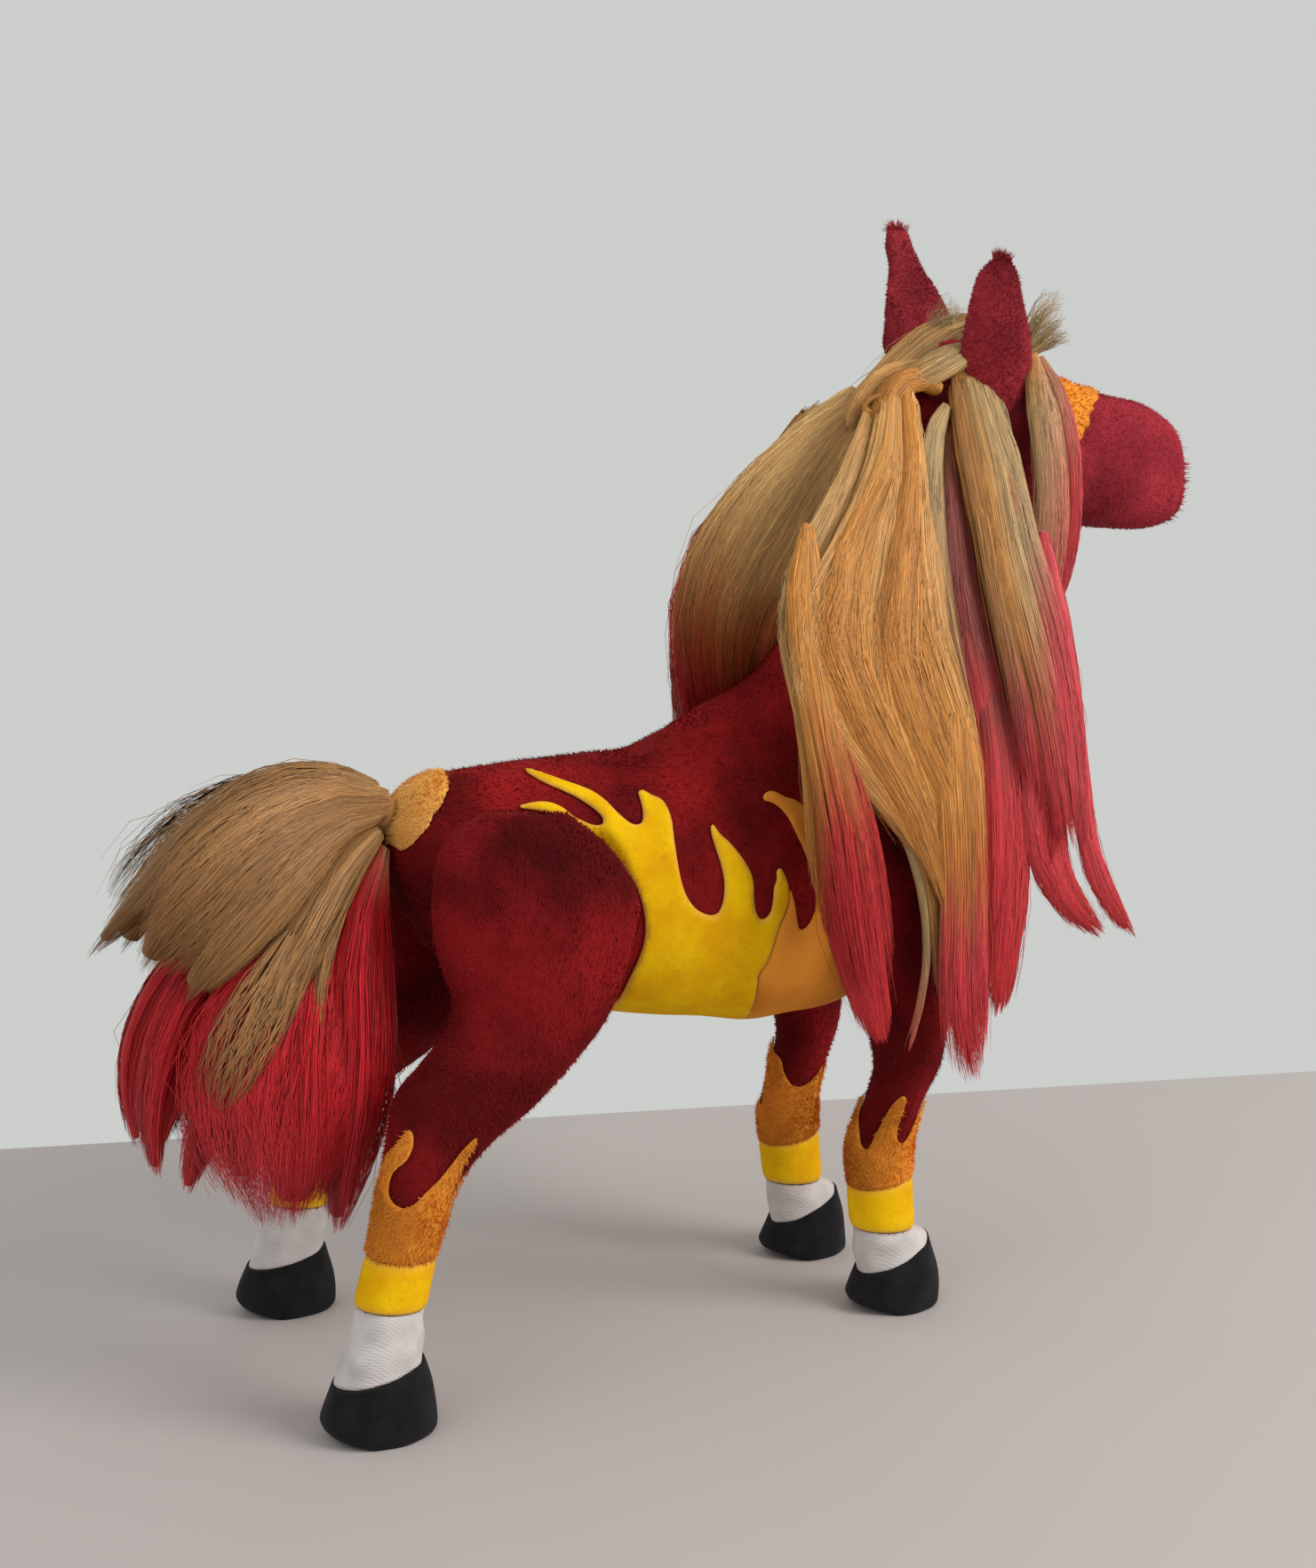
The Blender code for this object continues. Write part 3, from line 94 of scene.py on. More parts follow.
def smooth(rows, count):
    """Rows on a Catmull-Rom curve through the given rows, evenly spaced by row number."""
    rows = np.asarray(rows, float)
    ends = np.vstack([2 * rows[0] - rows[1], rows, 2 * rows[-1] - rows[-2]])
    way = np.linspace(0, len(rows) - 1, count)
    start = np.minimum(way.astype(int), len(rows) - 2)
    t = (way - start)[:, None]
    a, b, c, d = (ends[start + k] for k in range(4))
    bend = (2 * a - 5 * b + 4 * c - d) * t**2 + (3 * b - a - 3 * c + d) * t**3
    return b + ((c - a) * t + bend) / 2


def oval(rows, way, angle, grow=0.0):
    """A point on a stuffed tube: the middle plus cosine times the half height and sine times the
    half width. A fullness over 2 squares the oval, and grow pushes it out on all sides."""
    steps = np.linspace(0, 1, len(rows))
    top_x, top_z, low_x, low_z, half, middle, full = (np.interp(way, steps, c) for c in rows.T)
    c = np.sign(np.cos(angle)) * np.abs(np.cos(angle)) ** (2 / full)
    s = np.sign(np.sin(angle)) * np.abs(np.sin(angle)) ** (2 / full)
    half_x, half_z = (top_x - low_x) / 2, (top_z - low_z) / 2
    more = 1 + grow / np.hypot(half_x, half_z)
    x = (top_x + low_x) / 2 + half_x * more * c
    z = (top_z + low_z) / 2 + half_z * more * c
    return np.stack([x, middle + (half + grow) * s, z], axis=-1)


def lumps(points, size, height, seed):
    """An uneven height: the mean of nine sine waves of about one length in random directions."""
    rng = np.random.default_rng(seed)
    waves = rng.normal(size=(9, 3))
    waves *= 2 * math.pi / size * rng.uniform(0.7, 1.4, (9, 1)) / np.linalg.norm(waves, axis=1)[:, None]
    return height * 2 * np.sin(points @ waves.T + rng.uniform(0, 2 * math.pi, 9)).mean(axis=-1)


def stuffed(rows, way, angle, lift, size, height, seed):
    """A point on a stuffed skin: the oval, moved out by the lift and by uneven stuffing."""
    flat = oval(rows, way, angle)
    out = oval(rows, way, angle, 0.001) - flat
    out /= np.linalg.norm(out, axis=-1, keepdims=True) + 1e-12
    return flat + out * (np.asarray(lift) + lumps(flat, size, height, seed))[..., None]


def ease(value, low, high):
    """0 up to low, 1 from high on, and a smooth step between them."""
    t = np.clip((value - low) / (high - low), 0, 1)
    return t * t * (3 - 2 * t)


TORSO = smooth([(*row, 0.0, 2.15) for row in TORSO_ROWS], 240)


def torso_skin(way, angle, lift=0.0):
    """The torso's skin, pressed flat to the leg pads' faces near the hip and the shoulder."""
    p = stuffed(TORSO, way, angle, lift, 0.045, 0.0007, 3)
    side = p[..., [0, 2]]
    for middle, reach, face in ((HIP, 0.0405, 0.0366), (SHOULDER, 0.035, 0.0336)):
        press = 1 - ease(np.linalg.norm(side - middle, axis=-1), reach, reach * 1.16)
        over = np.maximum(np.abs(p[..., 1]) - face, 0)
        p[..., 1] -= np.sign(p[..., 1]) * over * press
    return p


def domed(grid, start, end, steps=4):
    """The grid with a dome over each end: its rings shrink by a cosine and move out by a sine."""
    turn = np.linspace(0, math.pi / 2, steps + 2)[1:-1, None, None]
    domes, poles = [], []
    for ring, out in ((grid[0], start), (grid[-1], end)):
        middle = ring.mean(axis=0)
        domes.append(middle + (ring - middle) * np.cos(turn) + np.asarray(out) * np.sin(turn))
        poles.append(middle + np.asarray(out))
    return np.concatenate([domes[0][::-1], grid, domes[1]]), np.array(poles)


def tube(grid, poles):
    """Points, quads and triangles of rings one after another, with a pole over each end."""
    n, m = grid.shape[:2]
    index = np.arange(n * m).reshape(n, m)
    after = np.roll(index, -1, axis=1)
    quads = np.stack([index[:-1], index[1:], after[1:], after[:-1]], axis=-1).reshape(-1, 4)
    first = np.stack([np.full(m, n * m), index[0], after[0]], axis=-1)
    last = np.stack([np.full(m, n * m + 1), after[-1], index[-1]], axis=-1)
    return np.concatenate([grid.reshape(-1, 3), poles]), quads, np.concatenate([first, last])


def pile(points, quads, lay, count, length, width, seed, lean=0.85):
    """Blades of pile: each is a thin triangle on a random place of the skin's faces, and it leans
    along the lay, which turns a little from place to place."""
    rng = np.random.default_rng(seed)
    a, b, c, d = (points[quads[:, k]] for k in range(4))
    normal = np.cross(c - a, d - b)
    area = np.linalg.norm(normal, axis=1)
    pick = rng.choice(len(quads), count, p=area / area.sum())
    s, t = rng.random((2, count, 1))
    a, b, c, d = (corner[pick] for corner in (a, b, c, d))
    foot = (a * (1 - s) + b * s) * (1 - t) + (d * (1 - s) + c * s) * t
    normal = normal[pick] / area[pick, None]
    way = np.broadcast_to(np.asarray(lay, float), foot.shape)
    sway = np.stack([lumps(foot, 0.03, 0.9, seed + k) for k in (1, 2, 3)], axis=-1)
    way = way + sway + rng.normal(0, 0.25, foot.shape)
    way = way - normal * (way * normal).sum(axis=1, keepdims=True)
    way /= np.linalg.norm(way, axis=1, keepdims=True)
    side = np.cross(normal, way) * (width / 2 * rng.uniform(0.7, 1.3, (count, 1)))
    angle = lean * rng.uniform(0.8, 1.2, (count, 1))
    reach = length * rng.uniform(0.6, 1.15, (count, 1))
    tip = foot + normal * np.cos(angle) * reach + way * np.sin(angle) * reach
    root = foot - normal * 0.0003
    blades = np.stack([root + side, root - side, tip], axis=1).reshape(-1, 3)
    tone = np.repeat(rng.random(count), 3)
    return blades, np.arange(count * 3).reshape(-1, 3), np.tile([0.0, 0.0, 1.0], count), tone


def piece(name, points, quads, tris, material, body, slot, stands_for=(), normals=None, **layers):
    """A mesh object of the points and faces, with a float layer for each named array. Normals, if
    given, shade it as softly as the skin or the lock that its blades or strands lie on."""
    mesh = bpy.data.meshes.new(name)
    corners = np.concatenate([np.ravel(quads), np.ravel(tris)]).astype(np.int32)
    starts = np.concatenate([np.arange(len(quads)) * 4, len(quads) * 4 + np.arange(len(tris)) * 3])
    mesh.vertices.add(len(points))
    mesh.vertices.foreach_set("co", np.asarray(points, np.float32).ravel())
    mesh.loops.add(len(corners))
    mesh.loops.foreach_set("vertex_index", corners)
    mesh.polygons.add(len(starts))
    mesh.polygons.foreach_set("loop_start", starts.astype(np.int32))
    mesh.update(calc_edges=True)
    for key, value in layers.items():
        value = np.asarray(value, np.float32)
        if value.ndim == 2 and value.shape[1] == 4:
            layer = mesh.attributes.new(key, "FLOAT_COLOR", "POINT")
            layer.data.foreach_set("color", value.ravel())
        elif value.ndim == 2:
            layer = mesh.attributes.new(key, "FLOAT_VECTOR", "POINT")
            layer.data.foreach_set("vector", value.ravel())
        else:
            layer = mesh.attributes.new(key, "FLOAT", "POINT")
            layer.data.foreach_set("value", value)
    mesh.shade_smooth()
    if normals is not None:
        mesh.normals_split_custom_set_from_vertices(normals)
    mesh.materials.append(material)
    made = bpy.data.objects.new(name, mesh)
    bpy.context.scene.collection.objects.link(made)
    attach(made, body)
    if stands_for:
        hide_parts(*stands_for)
    return made


def plush(name, grid, poles, material, body, slot, stands_for, lay, count, length, seed, width=0.0007, rag=()):
    """A closed stuffed skin with its pile, as one piece. Rag gives each strip of rings with ragged,
    upright pile besides: its first ring, its last, the lay, the count and the length."""
    points, quads, tris = tube(grid, poles)
    lots = [pile(points, quads, lay, count, length, width, seed)]
    for first, last, rag_lay, rag_count, rag_length in rag:
        strip = quads[first * grid.shape[1]:last * grid.shape[1]]
        lots.append(pile(points, strip, rag_lay, rag_count, rag_length, width, seed + 5, 0.45))
    starts = np.cumsum([len(points)] + [len(lot[0]) for lot in lots])
    bare = np.zeros(len(points))
    return piece(
        name, np.concatenate([points] + [lot[0] for lot in lots]), quads,
        np.concatenate([tris] + [lot[1] + start for lot, start in zip(lots, starts)]),
        material, body, slot, stands_for,
        tip=np.concatenate([bare] + [lot[2] for lot in lots]),
        tone=np.concatenate([bare + 0.5] + [lot[3] for lot in lots]),
    )


def finish(name):
    """A new material with its node tree cleared but for the shader and the output."""
    material = bpy.data.materials.new(name)
    material.use_nodes = True
    return material, material.node_tree.nodes["Principled BSDF"]


def node(material, kind, sockets=None, **settings):
    """A new shader node: numbers are set on its sockets, and other nodes' outputs are linked."""
    made = material.node_tree.nodes.new("ShaderNode" + kind)
    for key, value in settings.items():
        setattr(made, key, value)
    for key, value in (sockets or {}).items():
        if isinstance(value, bpy.types.NodeSocket):
            material.node_tree.links.new(value, made.inputs[key])
        else:
            made.inputs[key].default_value = value
    return made


def noise(material, scale, detail=2.0, roughness=0.5):
    """A noise on the piece's own place in metres; its scale is waves in a metre."""
    place = node(material, "TexCoord").outputs["Object"]
    return node(material, "TexNoise", {"Vector": place, "Scale": scale, "Detail": detail,
        "Roughness": roughness})


def mix(material, share, a, b, blend="MIX"):
    """One colour from two."""
    made = node(material, "Mix", data_type="RGBA", blend_type=blend)
    for key, value in ((0, share), (6, a), (7, b)):
        if isinstance(value, bpy.types.NodeSocket):
            material.node_tree.links.new(value, made.inputs[key])
        else:
            made.inputs[key].default_value = value
    return made.outputs[2]


def spread(material, value, low, high, out_low=0.0, out_high=1.0):
    """A value's range low to high, spread over another range and clamped."""
    sockets = {0: value, 1: low, 2: high, 3: out_low, 4: out_high}
    return node(material, "MapRange", sockets).outputs[0]


def minky(name, dark, light, tip_highlight_and_sheen, sheen=0.35, painted_shade_places=()):
    """Brushed short pile: dark and light patches where the nap lies otherwise, a fine grain, and
    blades painted lighter towards their tips as a painted highlight. Each shaded place given,
    x, z and radius, gets a nearly black patch of painted shade."""
    material, shader = finish(name)
    patch = spread(material, noise(material, 22, 2).outputs[0], 0.36, 0.60)
    colour = mix(material, patch, dark, light)
    grain = spread(material, noise(material, 900, 2).outputs[0], 0.3, 0.7)
    colour = mix(material, grain, mix(material, 0.25, colour, dark), colour)
    place = node(material, "TexCoord").outputs["Object"]
    place = node(material, "VectorMath", {0: place, 1: (1.0, 0.0, 1.0)}, operation="MULTIPLY").outputs[0]
    # Painted shade: a nearly black patch with a ragged rim round each given place.
    for x, z, radius in painted_shade_places:
        away = node(material, "VectorMath", {0: place, 1: (x, 0.0, z)}, operation="DISTANCE").outputs["Value"]
        rough = spread(material, noise(material, 55, 3).outputs[0], 0.3, 0.7, -0.45 * radius, 0.45 * radius)
        away = node(material, "Math", {0: away, 1: rough}, operation="ADD").outputs[0]
        shade_patch_share = spread(material, away, 0.30 * radius, 1.25 * radius, 0.52, 0.0)
        colour = mix(material, shade_patch_share, colour, (dark[0] * 0.42, dark[1] * 0.6, dark[2] * 0.6, 1.0))
    # Painted highlight: the pile blades are painted lighter towards their tips, most on blades of high tone.
    # The same colour is also the sheen tint.
    tip = node(material, "Attribute", attribute_name="tip").outputs["Fac"]
    tone = node(material, "Attribute", attribute_name="tone").outputs["Fac"]
    painted_highlight_share = node(material, "Math", {0: tip, 1: tone}, operation="MULTIPLY").outputs[0]
    painted_highlight_share = node(material, "Math", {0: painted_highlight_share, 1: 0.6}, operation="MULTIPLY").outputs[0]
    colour = mix(material, painted_highlight_share, colour, tip_highlight_and_sheen)
    material.node_tree.links.new(colour, shader.inputs["Base Color"])
    bump = node(material, "Bump", {"Height": noise(material, 1300, 2).outputs[0], "Distance": 0.0004,
        "Strength": 0.6})
    material.node_tree.links.new(bump.outputs[0], shader.inputs["Normal"])
    shader.inputs["Roughness"].default_value = 0.85
    shader.inputs["Specular IOR Level"].default_value = 0.06
    shader.inputs["Sheen Weight"].default_value = sheen
    shader.inputs["Sheen Roughness"].default_value = 0.45
    shader.inputs["Sheen Tint"].default_value = tip_highlight_and_sheen
    return material


# Painted shade on the torso: nearly black patches on the rump below the dock and on the side under the mane.
SHADED_PLACES = [(-0.139, 0.183, 0.026), (-0.148, 0.163, 0.020), (0.011, 0.233, 0.020), (-0.001, 0.213, 0.016)]
RED_MINKY = minky("red minky", RED_DARK, RED_LIGHT, (0.48, 0.022, 0.024, 1.0), 0.35, SHADED_PLACES)
way, angle = np.meshgrid(np.linspace(0, 1, 190), np.linspace(0, 2 * math.pi, 112, endpoint=False),
    indexing="ij")
grid, poles = domed(torso_skin(way, angle, -SKIN_INSET), (-0.0015, 0, 0), NECK_AXIS * 0.0003)
torso = plush("torso_skin", grid, poles, RED_MINKY, "torso", "minky_red", ["torso"], (-0.9, 0, -0.5), 62000,
    0.0019, 11)

# ---- Flames, on the belly and the flanks -------------------------------------------------
# Yellow wool felt, cut with flame tongues and glued down, with an orange minky flame in front of
# it. Each is a flat cut laid on the skin and closed underneath; its cut edge is paler.

FELT = 0.0013
YELLOW_DARK = (0.82, 0.41, 0.002, 1.0)
YELLOW_LIGHT = (0.98, 0.62, 0.004, 1.0)
ORANGE_DARK = (0.58, 0.200, 0.022, 1.0)
ORANGE_LIGHT = (0.90, 0.335, 0.042, 1.0)
FLANK_EDGE = [  # on the torso: way from the rump to the neck, angle from the back's ridge
    (0.2814, -0.378), (0.2946, -0.496), (0.3096, -0.608), (0.3252, -0.698), (0.3369, -0.764), (0.3476, -0.856),
    (0.3561, -0.965), (0.3644, -1.049), (0.3713, -1.086), (0.3773, -1.08), (0.381, -1.042), (0.3831, -0.958),
    (0.3834, -0.858), (0.3838, -0.787), (0.3888, -0.774), (0.3952, -0.828), (0.4036, -0.886), (0.4076, -0.965),
    (0.4091, -1.071), (0.4084, -1.167), (0.4081, -1.265), (0.409, -1.389), (0.4114, -1.508), (0.416, -1.602),
    (0.4244, -1.684), (0.435, -1.73), (0.4423, -1.741), (0.4489, -1.722), (0.4543, -1.648), (0.4568, -1.552),
    (0.4549, -1.445), (0.4519, -1.352), (0.4496, -1.256), (0.4506, -1.19), (0.4539, -1.19), (0.4591, -1.257),
    (0.4675, -1.321), (0.4764, -1.405), (0.484, -1.494), (0.4879, -1.57), (0.4866, -1.666), (0.487, -1.748),
    (0.4909, -1.802), (0.4964, -1.807), (0.5026, -1.774), (0.5068, -1.708), (0.5096, -1.639), (0.514, -1.596),
    (0.5154, -1.559), (0.52, -1.547), (0.524, -1.59), (0.5258, -1.652), (0.5236, -1.725), (0.518, -1.79),
    (0.5115, -1.855), (0.506, -1.942), (0.5014, -2.049), (0.4961, -2.155), (0.4912, -2.234), (0.4919, -2.37),
    (0.494, -2.65), (0.494, -3.12), (0.366, -3.12), (0.369, -2.785), (0.3694, -2.525), (0.37, -2.306),
    (0.3729, -2.138), (0.3765, -1.959), (0.3772, -1.826), (0.3744, -1.667), (0.3673, -1.53), (0.3589, -1.432),
    (0.3506, -1.358), (0.342, -1.303), (0.3301, -1.226), (0.3164, -1.172), (0.3035, -1.108), (0.2957, -1.028),
    (0.2867, -0.968), (0.2732, -0.938), (0.2621, -0.915), (0.2607, -0.89), (0.2707, -0.87), (0.2824, -0.86),
    (0.2932, -0.874), (0.3048, -0.931), (0.313, -1.008), (0.3237, -1.066), (0.3343, -1.1), (0.3407, -1.088),
    (0.3425, -1.038), (0.339, -0.982), (0.3319, -0.915), (0.3214, -0.832), (0.3106, -0.76), (0.2982, -0.679),
    (0.2879, -0.584), (0.2808, -0.46),
]
GIRTH_EDGE = [
    (0.52, -1.14), (0.5206, -1.112), (0.5267, -1.098), (0.536, -1.114), (0.5475, -1.17), (0.5603, -1.215),
    (0.5708, -1.288), (0.5753, -1.4), (0.5762, -1.543), (0.584, -1.772), (0.59, -2.009), (0.5932, -2.255),
    (0.597, -2.56), (0.599, -3.12), (0.4946, -3.12), (0.4946, -2.65), (0.4927, -2.37), (0.4922, -2.24),
    (0.4969, -2.16), (0.5022, -2.055), (0.5068, -1.948), (0.5122, -1.862), (0.5188, -1.798), (0.5244, -1.733),
    (0.527, -1.668), (0.5294, -1.725), (0.53, -1.809), (0.5305, -1.89), (0.5335, -1.925), (0.539, -1.92),
    (0.5463, -1.88), (0.554, -1.803), (0.557, -1.702), (0.5563, -1.595), (0.5524, -1.488), (0.5478, -1.397),
    (0.544, -1.309), (0.5385, -1.241), (0.531, -1.185), (0.5237, -1.155),
]


def dense(edge, step, size):
    """A closed outline with a point about every step along it, on a curve through its points."""
    edge = np.asarray(edge, float)
    ring = smooth(np.vstack([edge, edge[:1]]), 12 * len(edge) + 1)
    along = np.append(0, np.cumsum(np.linalg.norm(np.diff(ring * size, axis=0), axis=1)))
    even = np.linspace(0, along[-1], int(along[-1] / step))[:-1]
    return np.stack([np.interp(even, along, column) for column in ring.T], axis=1)


def cut_cloth(skin, outline, size, thick, step=0.0022, gap=0.0001):
    """Cloth cut to an outline in way and angle and laid on a skin: a triangulation with a point
    every step, rounded off at the cut edge, with a wall and an underside. Size is the skin's
    length and radius, which turn way and angle into metres."""
    flat = outline * size
    area = np.cross(flat, np.roll(flat, -1, axis=0)).sum()
    flat = flat if area > 0 else flat[::-1]
    low, high = flat.min(axis=0), flat.max(axis=0)
    across = np.arange(low[0], high[0], step)
    down = np.arange(low[1], high[1], step)
    inner = np.stack(np.meshgrid(across, down, indexing="ij"), axis=-1).reshape(-1, 2)
    inner[:, 1] += np.where(np.round(inner[:, 0] / step).astype(int) % 2, step / 2, 0)

    def to_edge(points):
        a, b = flat, np.roll(flat, -1, axis=0)
        t = ((points[:, None] - a) * (b - a)).sum(axis=-1) / (((b - a) ** 2).sum(axis=-1) + 1e-18)
        near = a + np.clip(t, 0, 1)[..., None] * (b - a)
        return np.linalg.norm(points[:, None] - near, axis=-1).min(axis=1)

    inner = inner[to_edge(inner) > step * 0.45]
    every = [Vector(p) for p in np.concatenate([flat, inner])]
    made = delaunay_2d_cdt(every, [], [list(range(len(flat)))], 1, 1e-7)
    flat_points = np.array([tuple(p) for p in made[0]])
    tris = np.array([f for f in made[2] if len(f) == 3])
    a, b, c = (flat_points[tris[:, k]] for k in range(3))
    turned = np.cross(b - a, c - a) < 0
    tris[turned] = tris[turned][:, ::-1]
    edge = np.clip(to_edge(flat_points) / thick, 0, 1)
    lift = gap + thick * (0.45 + 0.55 * np.sqrt(1 - (1 - edge) ** 2))
    way, angle = (flat_points / size).T
    upper, under = skin(way, angle, lift), skin(way, angle, np.full(len(lift), gap))
    count = len(upper)
    edges = np.concatenate([tris[:, [0, 1]], tris[:, [1, 2]], tris[:, [2, 0]]])
    code = edges[:, 0] * count + edges[:, 1]
    rim = edges[~np.isin(code, edges[:, 1] * count + edges[:, 0])]
    wall = np.stack([rim[:, 0], rim[:, 0] + count, rim[:, 1] + count, rim[:, 1]], axis=1)
    cut = np.clip(1 - edge * thick / 0.0011, 0, 1)
    return np.concatenate([upper, under]), wall, np.concatenate([tris, tris[:, ::-1] + count]), np.tile(cut, 2)


def felt(name, dark, light):
    """Wool felt: short matted fibres that run every way, over soft light and dark clouds, with a
    few rubbed spots and a paler cut edge."""
    material, shader = finish(name)
    cloud = spread(material, noise(material, 60, 4).outputs[0], 0.35, 0.65)
    colour = mix(material, cloud, dark, light)
    rubbed = spread(material, noise(material, 230, 3, 0.7).outputs[0], 0.60, 0.72, 0.0, 0.5)
    colour = mix(material, rubbed, colour, (dark[0] * 0.62, dark[1] * 0.62, 0.012, 1.0))
    cut = node(material, "Attribute", attribute_name="cut_edge").outputs["Fac"]
    colour = mix(material, node(material, "Math", {0: cut, 1: 0.55}, operation="MULTIPLY").outputs[0], colour,
        (0.90, 0.48, 0.13, 1.0))
    place = node(material, "TexCoord").outputs["Object"]
    bent = node(material, "VectorMath", {0: noise(material, 160, 2).outputs[1], 1: (0.012, 0.012, 0.012)},
        operation="MULTIPLY").outputs[0]
    place = node(material, "VectorMath", {0: place, 1: bent}, operation="ADD").outputs[0]
    fibre = node(material, "TexNoise", {"Vector": place, "Scale": 700.0, "Detail": 4.0,
        "Roughness": 0.7}).outputs[0]
    colour = mix(material, spread(material, fibre, 0.3, 0.7, 0.0, 0.45), colour, dark)
    material.node_tree.links.new(colour, shader.inputs["Base Color"])
    bump = node(material, "Bump", {"Height": fibre, "Distance": 0.0005, "Strength": 0.7})
    material.node_tree.links.new(bump.outputs[0], shader.inputs["Normal"])
    shader.inputs["Roughness"].default_value = 0.95
    shader.inputs["Specular IOR Level"].default_value = 0.1
    shader.inputs["Sheen Weight"].default_value = 0.25
    shader.inputs["Sheen Tint"].default_value = light
    return material


def laid(name, skin, outline, size, thick, step, material, body, slot, node_name, nap=0):
    """A piece of cloth laid and glued on a skin. Its outline's reach both ways and the area it
    covers are worked out but not used. Nap is the number of pile blades that stand on it."""
    points, quads, tris, cut = cut_cloth(skin, outline, size, thick, step)
    upper = tris[: len(tris) // 2]
    tone = np.full(len(points), 0.5)
    made = piece(name, points, quads, tris, material, body, slot, [node_name], tip=tone * 0, tone=tone,
        cut_edge=cut)
    naps = []
    if nap:
        blades, blade_tris, tips, tone = pile(points, upper[:, [0, 1, 2, 2]], (-0.6, 0, -0.6), nap, 0.0019,
            0.0006, 31, 0.7)
        naps = [piece(f"{name}_nap", blades, np.zeros((0, 4), int), blade_tris, material, body, slot, tip=tips,
            tone=tone)]
    a, b, c = (points[upper[:, k]] for k in range(3))
    area = np.linalg.norm(np.cross(b - a, c - a), axis=1).sum() / 2
    reach = np.ptp(outline * size, axis=0)
    flat = outline * size
    reach = reach * math.sqrt(area * 2 / abs(np.cross(flat, np.roll(flat, -1, axis=0)).sum()))
    return made


YELLOW_FELT = felt("yellow felt", YELLOW_DARK, YELLOW_LIGHT)
ORANGE_MINKY = minky("orange minky", ORANGE_DARK, ORANGE_LIGHT, (0.85, 0.36, 0.06, 1.0), 0.2)
PALE_ORANGE = minky("pale orange minky", (0.84, 0.41, 0.085, 1.0), (0.98, 0.60, 0.17, 1.0),
    (0.98, 0.66, 0.24, 1.0), 0.2)
TORSO_SIZE = np.array([0.44, 0.050])
for name, edge, material, slot in (
    ("flank_flame", FLANK_EDGE, YELLOW_FELT, "felt_yellow"),
    ("girth_flame", GIRTH_EDGE, ORANGE_MINKY, "minky_orange"),
):
    outline = dense(edge, 0.0008, TORSO_SIZE)
    for side, label in ((-1, "right"), (1, "left")):
        made = laid(f"{name}_felt_{label}", torso_skin, outline * (1, -side), TORSO_SIZE, FELT, 0.0018,
            material, "torso", slot, f"{name}_{label}")

# ---- Dock patch --------------------------------------------------------------------------
# A patch of orange minky over the top of the rump, ragged at its front edge, where the tail
# comes out of the body.

DOCK_EDGE = [
    (0.186, 0.0), (0.184, -0.15), (0.1824, -0.342), (0.1781, -0.551), (0.1667, -0.729), (0.1588, -0.842),
    (0.1452, -0.961), (0.1338, -1.136), (0.1162, -1.275), (0.099, -1.427), (0.074, -1.57), (0.05, -1.53),
    (0.03, -1.5), (0.0, -1.48),
]
half = smooth(DOCK_EDGE, 90)
half[:, 0] += 0.0018 * np.sin(np.arange(90) * 1.9) * np.sin(np.arange(90) * 0.43 + 1) * np.linspace(1, 0,
    90) ** 0.3
half[0, 1] = 0.0
outline = np.concatenate([half, half[::-1][:-1] * (1, -1)])
laid("dock_patch_cloth", torso_skin, outline, TORSO_SIZE, FELT, 0.0018, PALE_ORANGE, "torso", "minky_orange",
    "dock_patch", 3500)

# ---- Legs --------------------------------------------------------------------------------
# Four stuffed legs of red minky. The pad at the top of each lies flat on the body's side and
# turns on the cross wire; the shank ends in a round ankle.

HIND_ROWS = [  # front x and z, rear x and z, half thickness, middle y
    (-0.0876, 0.2221, -0.1237, 0.224, 0.011, 0.0546), (-0.0696, 0.2071, -0.1387, 0.2122, 0.017, 0.0546),
    (-0.0586, 0.1871, -0.1431, 0.192, 0.021, 0.0546), (-0.0632, 0.167, -0.1406, 0.17, 0.022, 0.0548),
    (-0.0706, 0.1471, -0.1361, 0.154, 0.021, 0.0555), (-0.0867, 0.1281, -0.1396, 0.1411, 0.019, 0.0571),
    (-0.1046, 0.1121, -0.1497, 0.1315, 0.017, 0.0592), (-0.1226, 0.1001, -0.1606, 0.1211, 0.015, 0.0615),
    (-0.1357, 0.089, -0.1651, 0.1021, 0.0132, 0.0635), (-0.1437, 0.075, -0.1681, 0.0811, 0.0118, 0.0651),
    (-0.1497, 0.0581, -0.1727, 0.0609, 0.0112, 0.0677), (-0.1532, 0.045, -0.1762, 0.047, 0.0112, 0.0692),
]
FORE_ROWS = [
    (0.0884, 0.2271, 0.0523, 0.229, 0.008, 0.046), (0.1024, 0.209, 0.0404, 0.213, 0.0115, 0.046),
    (0.1074, 0.1879, 0.0374, 0.191, 0.014, 0.046), (0.1053, 0.168, 0.0414, 0.167, 0.015, 0.046),
    (0.1004, 0.149, 0.0474, 0.145, 0.015, 0.0456), (0.0954, 0.1281, 0.0554, 0.1241, 0.0145, 0.0446),
    (0.0908, 0.1079, 0.0598, 0.106, 0.0136, 0.0432), (0.0834, 0.091, 0.0563, 0.091, 0.0128, 0.0418),
    (0.0768, 0.073, 0.0504, 0.073, 0.013, 0.0404), (0.0768, 0.0549, 0.0514, 0.0555, 0.0124, 0.0397),
    (0.0779, 0.0355, 0.0528, 0.0359, 0.0122, 0.039),
]
LIMBS = {
    "hind": dict(rows=HIND_ROWS, hinge=HIP, face=0.0373, reach=0.0632, track=0.070, hoof=-0.17004, rise=0.0035,
        tip=0.1081, band=0.0632, slant=0.0005, long=0.235),
    "fore": dict(rows=FORE_ROWS, hinge=SHOULDER, face=0.0343, reach=0.0546, track=0.039, hoof=0.07092,
        rise=0.0075, tip=0.0922, band=0.0565, slant=0.0030, long=0.197),
}


